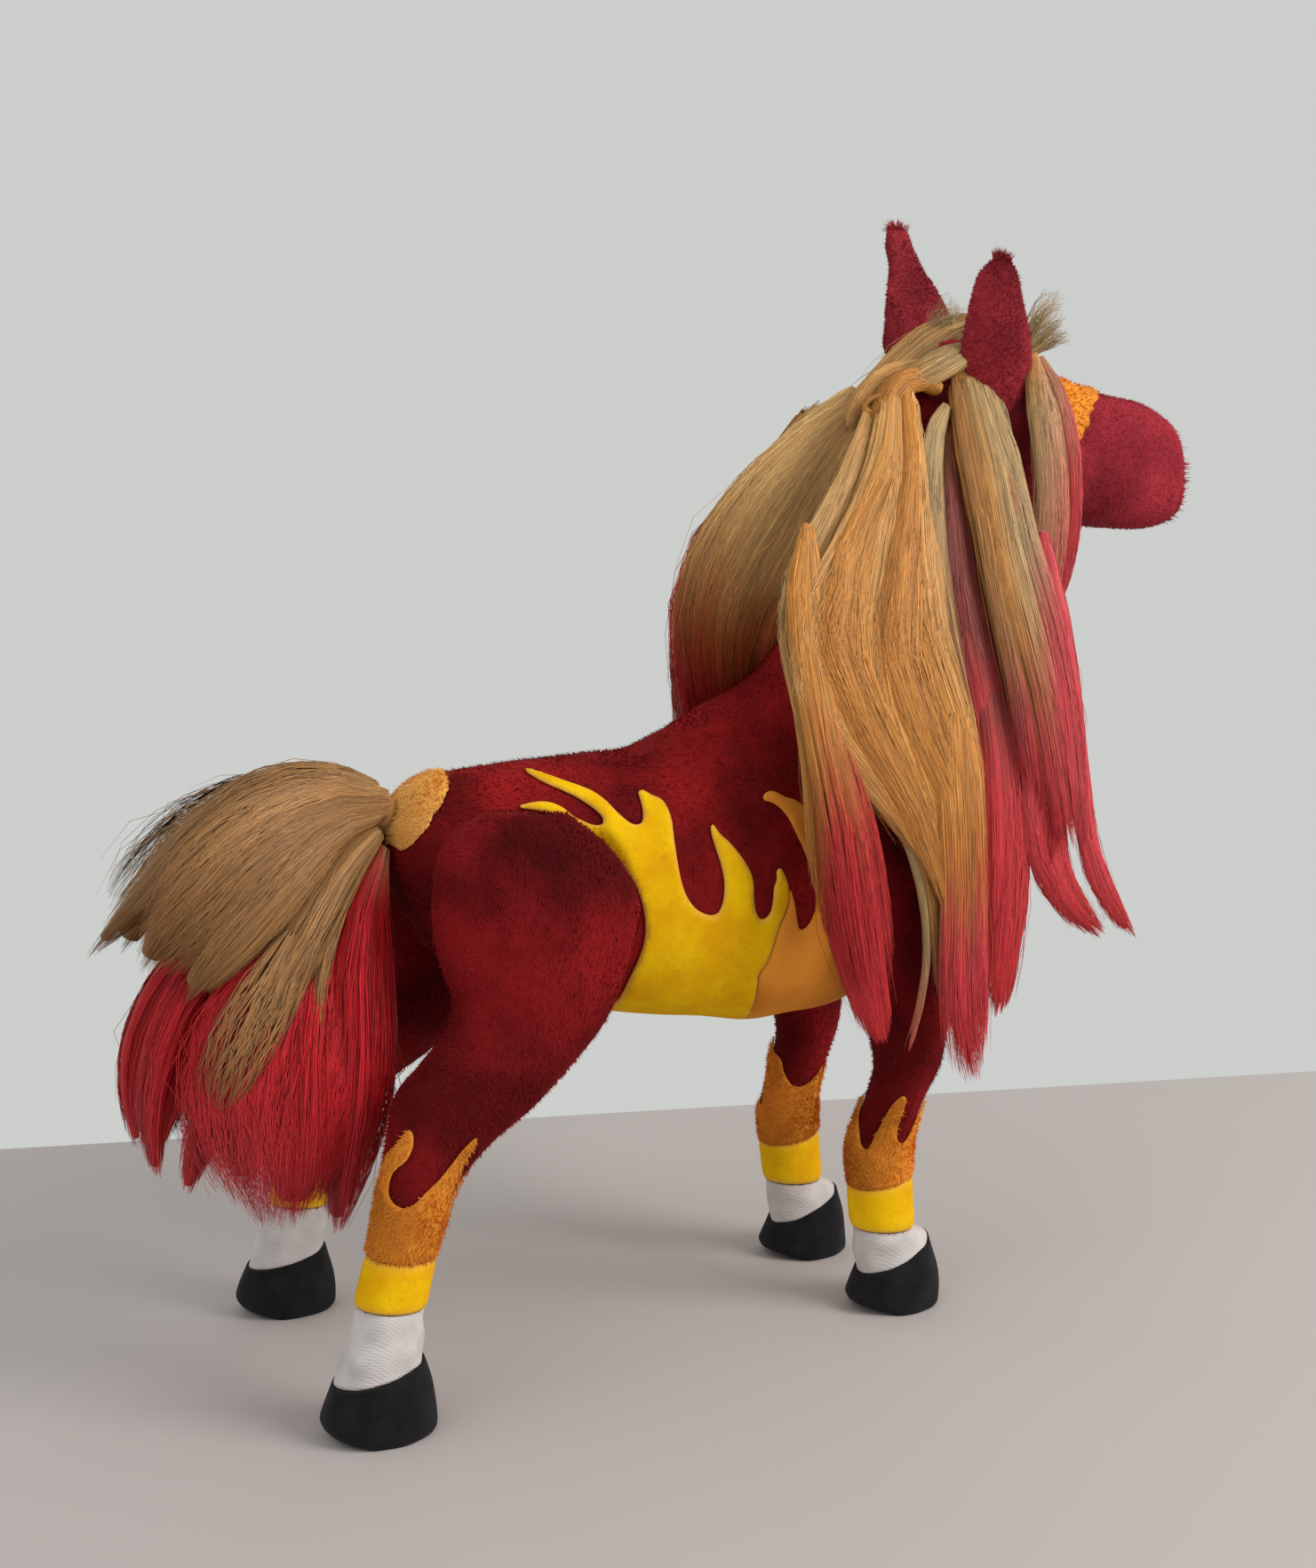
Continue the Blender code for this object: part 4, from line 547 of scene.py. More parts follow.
def limb_skin(limb, side):
    """A leg's skin on one side of the body: its ovals, pressed flat inside the pad's reach."""
    rows = smooth([(*row[:5], side * row[5], 2.0) for row in limb["rows"]], 160)

    def skin(way, angle, lift=0.0):
        p = stuffed(rows, way, angle, lift, 0.035, 0.0005, 7)
        near = 1 - ease(np.linalg.norm(p[..., [0, 2]] - limb["hinge"], axis=-1), limb["reach"] * 0.9,
            limb["reach"])
        short = np.maximum(limb["face"] + np.maximum(lift, 0) - side * p[..., 1], 0)
        p[..., 1] += side * short * near
        return p

    return skin, rows


# Painted shade on the legs: nearly black patches on the hind thigh's upper rear.
LEG_SHADED_PLACES = [(-0.123, 0.203, 0.021), (-0.136, 0.199, 0.014), (-0.101, 0.211, 0.010)]
LEG_MINKY = minky("red minky on the legs", (0.085, 0.0038, 0.0046, 1.0), (0.265, 0.0100, 0.0122, 1.0),
    (0.42, 0.022, 0.026, 1.0), 0.35, LEG_SHADED_PLACES)
way, angle = np.meshgrid(np.linspace(0, 1, 110), np.linspace(0, 2 * math.pi, 64, endpoint=False), indexing="ij")
for kind, limb in LIMBS.items():
    for side, label in ((-1, "right"), (1, "left")):
        skin, rows = limb_skin(limb, side)
        grid, poles = domed(skin(way, angle, -SKIN_INSET), (0, 0, 0.0005), (0, 0, -0.0003))
        leg = plush(
            f"leg_skin_{kind}_{label}", grid, poles, LEG_MINKY, f"leg_{kind}_{label}", "minky_red",
            [f"leg_{kind}_{label}"], (-0.3, 0, -1), 17000, 0.0018, 21,
        )

# ---- Flame cuffs and bands ----------------------------------------------------------------
# Round each shank an orange minky cuff with flame tongues at its top edge, and a plain band of
# yellow felt below it. Both are sleeves glued on the leg.

OUTER = [  # a cuff's top edge round the leg: degrees, and share from the band to the tips
    (-270, 0.35), (-252, 0.45), (-240, 0.8), (-235, 0.92), (-229, 0.78), (-218, 0.45), (-206, 0.36),
    (-194, 0.45), (-180, 0.6), (-167, 0.71), (-152, 0.79), (-143, 0.86), (-136, 0.92), (-129, 0.9),
    (-126, 0.83), (-129, 0.75), (-136, 0.69), (-144, 0.65), (-150, 0.6), (-153, 0.53), (-151, 0.47),
    (-143, 0.43), (-131, 0.41), (-119, 0.41), (-109, 0.44), (-101, 0.49), (-94, 0.55), (-87, 0.61), (-79, 0.69),
    (-73, 0.81), (-70, 0.94), (-66, 1.05), (-60, 1.0), (-54, 0.84), (-46, 0.6), (-36, 0.42), (-25, 0.38),
    (-12, 0.5), (-2, 0.72), (6, 0.95), (13, 0.8), (22, 0.52), (35, 0.36), (48, 0.4), (60, 0.62), (69, 0.9),
    (76, 0.72), (84, 0.46), (90, 0.36),
]
FORE_NEAR = [
    (-270, 0.42), (-255, 0.46), (-242, 0.66), (-230, 0.9), (-219, 1.02), (-209, 0.95), (-198, 0.82),
    (-184, 0.72), (-170, 0.6), (-162, 0.51), (-152, 0.455), (-143, 0.47), (-138, 0.62), (-134, 0.77),
    (-130, 0.93), (-122, 1.05), (-113, 1.1), (-105, 1.05), (-103, 0.94), (-103, 0.8), (-99, 0.66), (-92, 0.56),
    (-81, 0.52), (-69, 0.55), (-60, 0.66), (-50, 0.88), (-43, 0.98), (-37, 0.86), (-28, 0.58), (-15, 0.44),
    (-2, 0.5), (9, 0.76), (17, 1.0), (25, 0.76), (37, 0.48), (52, 0.42), (66, 0.58), (75, 0.9), (82, 0.72),
    (90, 0.44),
]
FORE_FAR = [
    (-300, 0.95), (-288, 0.84), (-269, 0.74), (-249, 0.71), (-238, 0.74), (-229, 0.79), (-220, 0.85),
    (-212, 0.92), (-204, 1.02), (-192, 1.08), (-176, 1.12), (-164, 1.18), (-155, 1.26), (-150, 1.28),
    (-150, 1.12), (-158, 0.88), (-168, 0.74), (-178, 0.6), (-181, 0.48), (-174, 0.42), (-160, 0.42),
    (-148, 0.46), (-132, 0.48), (-115, 0.6), (-106, 0.88), (-100, 1.0), (-93, 0.86), (-84, 0.6), (-70, 0.5),
    (-58, 0.62), (-46, 0.92), (-40, 0.98), (-34, 0.86), (-24, 0.56), (-10, 0.46), (4, 0.62), (14, 0.96),
    (22, 0.8), (32, 0.52), (46, 0.5), (56, 0.74), (60, 0.95),
]


def sleeve(skin, low, tops, angle, thick, steps):
    """A sleeve round a leg from a low way up to a top way at each angle: an outer wall down and
    an inner wall up, joined at the rims, with the upper rim rounded."""
    share = np.linspace(0, 1, steps)[:, None]
    way = tops + (low - tops) * share
    edge = np.clip(np.minimum(share, 1 - share) * steps / 3, 0, 1)
    outer = skin(way, angle[None, :] + way * 0, 0.0002 + thick * (0.4 + 0.6 * np.sqrt(edge)) + way * 0)
    inner = skin(way, angle[None, :] + way * 0, 0.0001 + way * 0)
    return np.concatenate([outer, inner[::-1]])


def ringed(grid):
    """Points and quads of rings that close on themselves, the last one on the first."""
    n, m = grid.shape[:2]
    index = np.arange(n * m).reshape(n, m)
    down = np.roll(index, -1, axis=0)
    after = np.roll(index, -1, axis=1)
    quads = np.stack([index, down, np.roll(down, -1, axis=1), after], axis=-1).reshape(-1, 4)
    return grid.reshape(-1, 3), quads


for kind, limb in LIMBS.items():
    for side, label in ((-1, "right"), (1, "left")):
        skin, rows = limb_skin(limb, side)
        heights = (rows[:, 1] + rows[:, 3]) / 2
        steps = np.linspace(0, 1, len(rows))
        level = lambda z: np.interp(-z, -heights, steps)
        table = np.array(OUTER if kind == "hind" else FORE_NEAR if side < 0 else FORE_FAR, float)
        top = smooth(table, 8 * len(table))
        turn, base = np.radians(top[:, 0]) * -side, level(limb["band"] + 0.0003)
        way = level(limb["band"] + top[:, 1] * (limb["tip"] - limb["band"]))
        low_turn = np.linspace(turn[-1], turn[0], 140)
        slant = limb["slant"] * np.cos(low_turn)
        low_way = level(limb["band"] + 0.0003 + slant)
        outline = np.concatenate([np.stack([way, turn], axis=1), np.stack([low_way, low_turn], axis=1)])
        size = np.array([limb["long"], 0.0145])
        laid(
            f"flame_cuff_cloth_{kind}_{label}", skin, outline, size, 0.0013, 0.0020, ORANGE_MINKY,
            f"leg_{kind}_{label}", "minky_orange", f"flame_cuff_{kind}_{label}", 5000,
        )
        band_low = (rows[-1, 1] + rows[-1, 3]) / 2 + 0.0003
        angle = np.linspace(0, 2 * math.pi, 144, endpoint=False)
        top = level(limb["band"] + limb["slant"] * np.cos(angle))[None, :]
        rings = sleeve(skin, level(band_low), top, angle, 0.0014, 16)
        points, quads = ringed(rings)
        share = np.repeat(np.abs(np.linspace(-1, 1, 16)) ** 8, 144)
        band = piece(
            f"shin_band_felt_{kind}_{label}", points, quads, np.zeros((0, 3), int),
            YELLOW_FELT, f"leg_{kind}_{label}", "felt_yellow", [f"shin_band_{kind}_{label}"],
            cut_edge=np.tile(share, 2),
        )

# ---- Pasterns and hooves -------------------------------------------------------------------
# Short white cloth pasterns between the ankle and the hoof, and hooves of brushed black cloth
# with a flat sole, a lifted heel and a high toe.

HOOF_LENGTH, HOOF_WIDTH, HOOF_HEIGHT, HEEL_LIFT = 0.043, 0.035, 0.023, 0.004


def hoof_ring(foot, rows, angle):
    """A hoof's outline at each row: an ellipse whose front half rises and whose heel is lifted.
    Row columns: level, length share, width share, rise, lift."""
    level, long, wide, rise, lift = (c[:, None] for c in rows.T)
    c = np.cos(angle)[None, :]
    heel = np.clip((-c - 0.3) / 0.7, 0, 1)
    x = foot[0] + HOOF_LENGTH / 2 * long * c
    y = foot[1] + HOOF_WIDTH / 2 * wide * np.sin(angle)[None, :]
    return np.stack([x, y, level + rise * c + lift * heel], axis=-1)


def woven(name, dark, light, threads, sheen):
    """Plain woven cloth: two crossed sets of thread ridges with painted shade in the hollows between them, and
    soft dirt and wear clouds.
    """
    material, shader = finish(name)
    cloud = spread(material, noise(material, 120, 4).outputs[0], 0.3, 0.7)
    colour = mix(material, cloud, dark, light)
    place = node(material, "TexCoord").outputs["Object"]
    warp = node(material, "TexWave", {"Vector": place, "Scale": threads, "Distortion": 1.5, "Detail": 2.0},
        bands_direction="Z").outputs[1]
    weft = node(material, "TexWave", {"Vector": place, "Scale": threads, "Distortion": 1.5, "Detail": 2.0},
        bands_direction="DIAGONAL").outputs[1]
    ridge = node(material, "Math", {0: warp, 1: weft}, operation="MULTIPLY").outputs[0]
    # Painted shade: the hollows between the thread ridges are painted darker.
    colour = mix(material, spread(material, ridge, 0.0, 0.5, 0.25, 0.0), colour, dark)
    material.node_tree.links.new(colour, shader.inputs["Base Color"])
    bump = node(material, "Bump", {"Height": ridge, "Distance": 0.0003, "Strength": 0.5})
    material.node_tree.links.new(bump.outputs[0], shader.inputs["Normal"])
    shader.inputs["Roughness"].default_value = 0.9
    shader.inputs["Specular IOR Level"].default_value = 0.15
    shader.inputs["Sheen Weight"].default_value = sheen
    return material


WHITE_CLOTH = woven("white cotton", (0.55, 0.51, 0.50, 1.0), (0.70, 0.66, 0.645, 1.0), 320.0, 0.1)
BLACK_CLOTH = woven("black cotton", (0.007, 0.007, 0.008, 1.0), (0.016, 0.015, 0.016, 1.0), 300.0, 0.05)
angle = np.linspace(0, 2 * math.pi, 72, endpoint=False)
for kind, limb in LIMBS.items():
    for side, label in ((-1, "right"), (1, "left")):
        foot, rise = (limb["hoof"], side * limb["track"]), limb["rise"]
        wall = smooth([
            (0.0, 0.94, 0.94, 0.0, HEEL_LIFT), (0.0030, 1.0, 1.0, 0.0, HEEL_LIFT),
            (0.0125, 0.96, 0.96, rise * 0.5, 0.0), (HOOF_HEIGHT, 0.79, 0.83, rise, 0.0),
        ], 26)[::-1]
        grid = hoof_ring(foot, wall, angle)
        middle = grid.mean(axis=1, keepdims=True)
        out = (grid - middle) / np.linalg.norm(grid - middle, axis=-1, keepdims=True)
        grid = grid + out * lumps(grid, 0.016, 0.0004, 41)[..., None]
        grid[..., 2] = np.maximum(grid[..., 2], 0.0)
        ends = np.stack([grid[-1] * 0.98 + middle[-1] * 0.02, grid[-1] * 0.4 + middle[-1] * 0.6])
        crown = np.stack([grid[0] * 0.4 + middle[0] * 0.6, grid[0] * 0.97 + middle[0] * 0.03])
        poles = np.array([grid[0].mean(axis=0), grid[-1].mean(axis=0)])
        points, quads, tris = tube(np.concatenate([crown, grid, ends]), poles)
        hoof = piece(f"hoof_cloth_{kind}_{label}", points, quads, tris, BLACK_CLOTH, f"leg_{kind}_{label}",
            "black_cloth", [f"hoof_{kind}_{label}"])
        skin, rows = limb_skin(limb, side)
        ankle = skin(np.ones(72), angle, np.zeros(72)) - (0, 0, 0.0004)
        crown = hoof_ring(foot, np.array([[HOOF_HEIGHT + 0.0004, 0.75, 0.79, rise * 0.96, 0.0]]), angle)[0]
        share = np.linspace(0, 1, 24)[:, None, None]
        grid = ankle * (1 - share) + crown * share
        middle = grid.mean(axis=1, keepdims=True)
        puff = 1 + 0.04 * np.sin(share * math.pi)
        grid = middle + (grid - middle) * puff
        out = (grid - middle) / np.linalg.norm(grid - middle, axis=-1, keepdims=True)
        grid = grid + out * lumps(grid, 0.010, 0.0005, 43)[..., None]
        grid, poles = domed(grid, (0, 0, 0.0001), (0, 0, -0.0001), 2)
        points, quads, tris = tube(grid, poles)
        pastern = piece(f"pastern_cloth_{kind}_{label}", points, quads, tris, WHITE_CLOTH,
            f"leg_{kind}_{label}", "white_cloth", [f"pastern_{kind}_{label}"])

# ---- Head ----------------------------------------------------------------------------------
# A stuffed head of the same minky with a blocky muzzle, sewn flat on the top of the neck, and
# turned and tipped a little on it.

HEAD_ROWS = [  # top x and z, low x and z, half width, fullness
    (0.1004, 0.4159, 0.1014, 0.3899, 0.013, 2.0), (0.1113, 0.4259, 0.1113, 0.372, 0.0225, 2.1),
    (0.1304, 0.427, 0.1344, 0.3539, 0.0275, 2.2), (0.1504, 0.4209, 0.1554, 0.3439, 0.0285, 2.3),
    (0.1723, 0.414, 0.1754, 0.3436, 0.027, 2.4), (0.1945, 0.4095, 0.1964, 0.3452, 0.025, 2.6),
    (0.2144, 0.408, 0.2164, 0.3452, 0.0255, 2.8), (0.2336, 0.405, 0.2356, 0.345, 0.026, 2.9),
    (0.2448, 0.3985, 0.2486, 0.3472, 0.025, 3.2), (0.2518, 0.386, 0.2566, 0.352, 0.0205, 3.0),
]
HEAD = smooth([(*row[:5], 0.0, row[5]) for row in HEAD_ROWS], 160)
ROLL, TURN = math.radians(6), math.radians(5)


def carried(points):
    """Points of the straight head, rolled about the nose's line and turned about the upright
    through the seat."""
    x, y, z = np.moveaxis(points - SEAT, -1, 0)
    y, z = y * math.cos(ROLL) - z * math.sin(ROLL), y * math.sin(ROLL) + z * math.cos(ROLL)
    x, y = x * math.cos(TURN) - y * math.sin(TURN), x * math.sin(TURN) + y * math.cos(TURN)
    return np.stack([x, y, z], axis=-1) + SEAT


def head_skin(way, angle, lift=0.0):
    """The head's skin, cut flat at its seat on the neck."""
    p = carried(stuffed(HEAD, way, angle, lift, 0.030, 0.0006, 5))
    up = (p - SEAT) @ NECK_AXIS
    away = np.linalg.norm(p - SEAT - up[..., None] * NECK_AXIS, axis=-1)
    short = np.where(away < 0.0403, np.maximum(0.0003 - up, 0), 0)
    return p + short[..., None] * NECK_AXIS


HEAD_MINKY = minky("red minky on the head", (0.16, 0.0120, 0.0190, 1.0), (0.40, 0.0330, 0.0500, 1.0),
    (0.52, 0.060, 0.075, 1.0))
way, angle = np.meshgrid(np.linspace(0, 1, 110), np.linspace(0, 2 * math.pi, 88, endpoint=False), indexing="ij")
grid, poles = domed(head_skin(way, angle, -SKIN_INSET), (-0.003, 0, 0), (0.0012, 0.0001, -0.0008), 8)
rag = [(106, 122, (1, 0, 0), 450, 0.0040)]
head = plush("head_skin", grid, poles, HEAD_MINKY, "head", "minky_red", ["head"], (0.9, 0, -0.5), 26000,
    0.0015, 51, 0.0007, rag)

# The blaze: a patch of orange minky over the bridge of the nose, glued on the head.
BLAZE_EDGE = [
    (0.615, 0.0), (0.6045, -0.155), (0.587, -0.38), (0.5662, -0.585), (0.5352, -0.853), (0.5194, -0.991),
    (0.5015, -1.199), (0.4814, -1.36), (0.4555, -1.476), (0.432, -1.54), (0.409, -1.5), (0.395, -1.2),
    (0.39, -0.7), (0.39, 0.0),
]
half = smooth(BLAZE_EDGE, 64)
half[:, 0] += 0.004 * np.sin(np.arange(64) * 0.9) * (np.arange(64) < 40)
half[[0, -1], 1] = 0.0
outline = np.concatenate([half, half[::-1][1:-1] * (1, -1)])
laid("blaze_cloth", head_skin, outline, np.array([0.165, 0.032]), FELT, 0.0018, ORANGE_MINKY, "head",
    "minky_orange", "blaze", 1500)

# ---- Ears ----------------------------------------------------------------------------------
# Two flat leaf-shaped ears of minky, pinched at the base, widest low down, a little cupped to the
# front, with ragged tips.

EAR_THICKNESS = 0.006
EARS = {  # height over the base, rear edge and front edge, each along the ear's own flat
    "right": [
        (0.0, 0.0085, 0.015), (0.0036, 0.008, 0.0161), (0.0094, 0.0018, 0.0192), (0.0171, -0.007, 0.0219),
        (0.0248, -0.0112, 0.0227), (0.0343, -0.012, 0.0203), (0.0456, -0.0122, 0.0152),
        (0.0548, -0.0121, 0.0106), (0.0621, -0.0112, 0.0073), (0.0673, -0.0081, 0.0036),
        (0.0702, -0.0042, -0.0006),
    ],
    "left": [
        (0.0, -0.01, 0.004), (0.008, -0.017, 0.005), (0.0153, -0.0208, 0.008), (0.0216, -0.0209, 0.0173),
        (0.0286, -0.0198, 0.0214), (0.0359, -0.0175, 0.0215), (0.0456, -0.0136, 0.0178),
        (0.056, -0.0096, 0.0114), (0.065, -0.0097, 0.0077), (0.0714, -0.0081, 0.0064),
        (0.0747, -0.0064, 0.0041),
    ],
}
# Painted light: the ears' minky is the red minky painted lighter, standing in for light on ears that lie in
# shade.
EAR_MINKY_PAINTED_LIGHTER = minky("red minky on the ears painted lighter", (0.20, 0.0170, 0.0250, 1.0), (0.46, 0.0420, 0.0600, 1.0),
    (0.56, 0.070, 0.085, 1.0))
angle = np.linspace(0, 2 * math.pi, 48, endpoint=False)
for side, label, rise, lean in ((-1, "right", 0.112, -0.12), (1, "left", 0.300, -0.05)):
    height, rear, fore = (column[:, None] for column in smooth(EARS[label], 60).T)
    base = SEAT + np.array([0.0017, side * 0.0235, rise * 0.082])
    up = np.array([lean, side * 0.26, 1.0])
    up /= np.linalg.norm(up)
    across = np.array([1.00, side * 0.10, 0.0])
    across /= np.linalg.norm(across)
    out = np.cross(across, up) * -side
    height = height * 0.965
    half = (fore - rear) / 2 * (1.10 if side < 0 else 1.0)
    flat = np.cos(angle) * half
    edge = 1 - 0.55 * ease(height, height[-1] * 0.8, height[-1])
    thick = np.sin(angle) * np.minimum(EAR_THICKNESS / 2, half * 0.7) * edge
    cup = 0.0035 * (flat / 0.0165) ** 2 - 0.0012 * np.abs(flat / half) ** 6
    grid = base + up * height[..., None] + across * ((fore + rear) / 2 + flat)[..., None]
    grid = grid + out * (thick - cup)[..., None]
    grid, poles = domed(carried(grid), -up * 0.001, up * 0.0008)
    grid = grid if side < 0 else grid[:, ::-1]
    rag = [(60, 68, (0, 0, 1), 170, 0.0045)]
    ear = plush(f"ear_skin_{label}", grid, poles, EAR_MINKY_PAINTED_LIGHTER, "head", "minky_red", [f"ear_{label}"], (0, 0, 1),
        9000, 0.0015, 61, 0.0007, rag)

# ---- Eyes, washers and wires ----------------------------------------------------------------
# Brown plastic eyes with white washers inside the head, and bent steel wire in the body and the
# legs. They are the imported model's own nodes with better finishes.

EYE_PLASTIC, shader = finish("brown eye plastic")
ring = spread(EYE_PLASTIC, noise(EYE_PLASTIC, 260, 3).outputs[0], 0.35, 0.65)
EYE_PLASTIC.node_tree.links.new(mix(EYE_PLASTIC, ring, (0.016, 0.006, 0.003, 1), (0.045, 0.016, 0.006, 1)),
    shader.inputs["Base Color"])
shader.inputs["Roughness"].default_value = 0.08
shader.inputs["Coat Weight"].default_value = 0.6
WASHER_PLASTIC, shader = finish("white washer plastic")
cloud = noise(WASHER_PLASTIC, 300, 3).outputs[0]
WASHER_PLASTIC.node_tree.links.new(mix(WASHER_PLASTIC, cloud, (0.62, 0.61, 0.58, 1), (0.75, 0.74, 0.70, 1)),
    shader.inputs["Base Color"])
shader.inputs["Roughness"].default_value = 0.45
STEEL, shader = finish("drawn steel wire")
drawn_lines = noise(STEEL, 1500, 3).outputs[0]
STEEL.node_tree.links.new(mix(STEEL, drawn_lines, (0.42, 0.42, 0.43, 1), (0.58, 0.58, 0.59, 1)),
    shader.inputs["Base Color"])
STEEL.node_tree.links.new(spread(STEEL, drawn_lines, 0.3, 0.7, 0.25, 0.45), shader.inputs["Roughness"])
shader.inputs["Metallic"].default_value = 1.0
for name, part in frame["nodes"].items():
    if "wire" in name or name.startswith("eye_"):
        new = STEEL if "wire" in name else WASHER_PLASTIC if "washer" in name else EYE_PLASTIC
        for place in part.material_slots:
            place.material = new

# ---- Mane -----------------------------------------------------------------------------------
# Long straight synthetic hair, rooted along the crest and combed into locks: blonde at the
# roots, then orange, then red at the ends. Each lock is a flat body with fine strands round it.

BLONDE = (0.74, 0.385, 0.125)
# Painted light: a paler blonde for the upper part of the far side's swath, standing in for the light on it.
PAINTED_LIT_BLONDE = (0.92, 0.540, 0.210)
GOLD = (0.70, 0.290, 0.052)
AMBER = (0.60, 0.230, 0.042)
ORANGE = (0.54, 0.130, 0.026)
STRAW = (0.50, 0.320, 0.130)
BROWN = (0.38, 0.165, 0.042)
PALE = (0.48, 0.330, 0.155)
# Painted shade: red hair painted dark maroon where it lies in shade.
PAINTED_SHADE_RED = (0.25, 0.040, 0.030)
PINK = (0.66, 0.050, 0.062)
RED = (0.60, 0.022, 0.028)
DEEP_RED = (0.34, 0.012, 0.014)


def lock(rows, stops, facing, strands, seed, thick=0.00017, rings=7, bare=False, stray=0.03, ragged=0.045):
    """A lock of hair along a path. Rows: x, y, z, half width, half depth. The width lies square to
    the path and to the facing, and the depth square to both. A shallow groove pattern, the mean
    of three sine waves across the width that drift along it, gathers the strands and the body
    under them. Stops are shares of the way, each with one colour or with its two edges' colours."""
    rng = np.random.default_rng(seed)
    path = smooth(rows, 64)
    path[:, 3:] = np.maximum(path[:, 3:], 0.0004)
    steps = np.linspace(0, 1, len(path))
    way = np.gradient(path[:, :3], axis=0)
    way /= np.linalg.norm(way, axis=1, keepdims=True)
    across = np.cross(way, np.asarray(facing, float))
    across /= np.linalg.norm(across, axis=1, keepdims=True)
    front = np.cross(across, way)
    reach = np.linalg.norm(np.diff(path[:, :3], axis=0), axis=1).sum()
    shares = np.array([stop[0] for stop in stops])
    edges = np.array([[stop[1], stop[-1]] for stop in stops])
    phases = rng.uniform(0, 2 * math.pi, 3)

    def at(t, values):
        return np.stack([np.interp(t, steps, column) for column in values.T], axis=-1)

    def grooves(a, t):
        waves = [np.sin(f * a + p + d * t) for f, p, d in zip((5.0, 11.0, 23.0), phases, (2.5, -2.0, 3.0))]
        return 0.5 * waves[0] + 0.3 * waves[1] + 0.2 * waves[2]

    def paint(a, t, tone_and_parting_shade):
        left, right = (np.stack([np.interp(t, shares, c) for c in edges[:, k].T], axis=-1) for k in (0, 1))
        share = ((1 - a) / 2)[..., None]
        colour = np.clip((left * (1 - share) + right * share) * tone_and_parting_shade[..., None], 0, 1)
        return np.concatenate([colour, np.ones((*colour.shape[:-1], 1))], axis=-1)

    # the strands
    a = rng.uniform(-1, 1, strands)
    front_side = np.where(rng.random(strands) < 0.85, 1.0, -1.0)
    root = rng.uniform(0, 0.06, strands)
    end = 1 - 0.10 * a**2 - 0.07 * (0.5 + 0.5 * grooves(a, 1.0)) - rng.gamma(1.2, ragged, strands)
    end = np.clip(end, 0.5, 1.0)
    t = root[:, None] + (end - root)[:, None] * np.linspace(0, 1, rings)
    wild = np.where(rng.random(strands) < 0.05, 0.40, stray)[:, None]
    phase = rng.uniform(0, 2 * math.pi, (2, strands, 1))
    waves = rng.uniform(0.5, 1.8, (2, strands, 1))
    wide = a[:, None] + 0.05 * np.sin(9 * a[:, None] + phases[0]) * t
    wide = wide + wild * (0.3 + t) * np.sin(phase[0] + waves[0] * t * 2 * math.pi)
    inside = np.sqrt(np.clip(1 - wide**2, 0.02, 1))
    deep = front_side[:, None] * (inside * (0.92 + 0.14 * grooves(wide, t)) + rng.uniform(-0.16, 0.14,
        (strands, 1)))
    deep = deep + wild * t * np.sin(phase[1] + waves[1] * t * 2 * math.pi)
    size = at(t, path[:, 3:5])
    line = at(t, path[:, :3])
    line = line + at(t, across) * (wide * size[..., 0])[..., None]
    line = line + at(t, front) * (deep * size[..., 1])[..., None]
    radius = thick * rng.uniform(0.75, 1.25, (strands, 1)) * (1 - 0.7 * np.linspace(0, 1, rings) ** 3)
    turn = rng.uniform(0, 2 * math.pi, (strands, 1, 1)) + np.arange(3) * 2 * math.pi / 3
    side = at(t, across)[:, :, None] * np.cos(turn)[..., None] + at(t, front)[:, :, None] * np.sin(turn)[...,
        None]
    ring = line[:, :, None] + side * radius[:, :, None, None]
    soft = at(t, across) * (wide / size[..., 0])[..., None] + at(t, front) * (deep / size[..., 1])[..., None]
    soft /= np.linalg.norm(soft, axis=-1, keepdims=True)
    shade = np.concatenate([(soft[:, :, None] + 0.45 * side).reshape(strands, rings * 3, 3), soft[:, :1],
        soft[:, -1:]], axis=1)
    shade = shade.reshape(-1, 3)
    tips = line[:, -1] + at(end, way) * thick * 6
    points = np.concatenate([ring.reshape(strands, rings * 3, 3), line[:, :1], tips[:, None]], axis=1)
    index = np.arange(rings * 3).reshape(rings, 3)
    after = np.roll(index, -1, axis=1)
    quads = np.stack([index[:-1], index[1:], after[1:], after[:-1]], axis=-1).reshape(-1, 4)
    first = np.stack([np.full(3, rings * 3), index[0], after[0]], axis=-1)
    last = np.stack([np.full(3, rings * 3 + 1), after[-1], index[-1]], axis=-1)
    each = rings * 3 + 2
    quads = (quads[None] + np.arange(strands)[:, None, None] * each).reshape(-1, 4)
    ends = (np.concatenate([first, last])[None] + np.arange(strands)[:, None, None] * each).reshape(-1, 3)
    # Each strand's random tone, times painted shade: strands are painted darker in the grooves, the partings
    # between them.
    tone_and_parting_shade = np.exp(rng.normal(0, 0.15, (strands, 1))) * (1 + 0.16 * grooves(wide, t))
    fade = np.clip(t + 0.05 * grooves(a, 0.0)[:, None] + rng.normal(0, 0.03, (strands, 1)), 0, 1)
    hue = paint(wide, fade, tone_and_parting_shade)
    hue = np.concatenate([np.repeat(hue, 3, axis=1), hue[:, :1], hue[:, -1:]], axis=1)
    streak = np.stack([wide * size[..., 0] + rng.uniform(0, 0.02, (strands, 1)), deep * size[..., 1],
        t * reach * 0.005], axis=-1)
    streak = np.concatenate([np.repeat(streak, 3, axis=1), streak[:, :1], streak[:, -1:]], axis=1)
    points, hue, streak = points.reshape(-1, 3), hue.reshape(-1, 4), streak.reshape(-1, 3)
    if bare:
        return points, quads, ends, hue, streak, shade

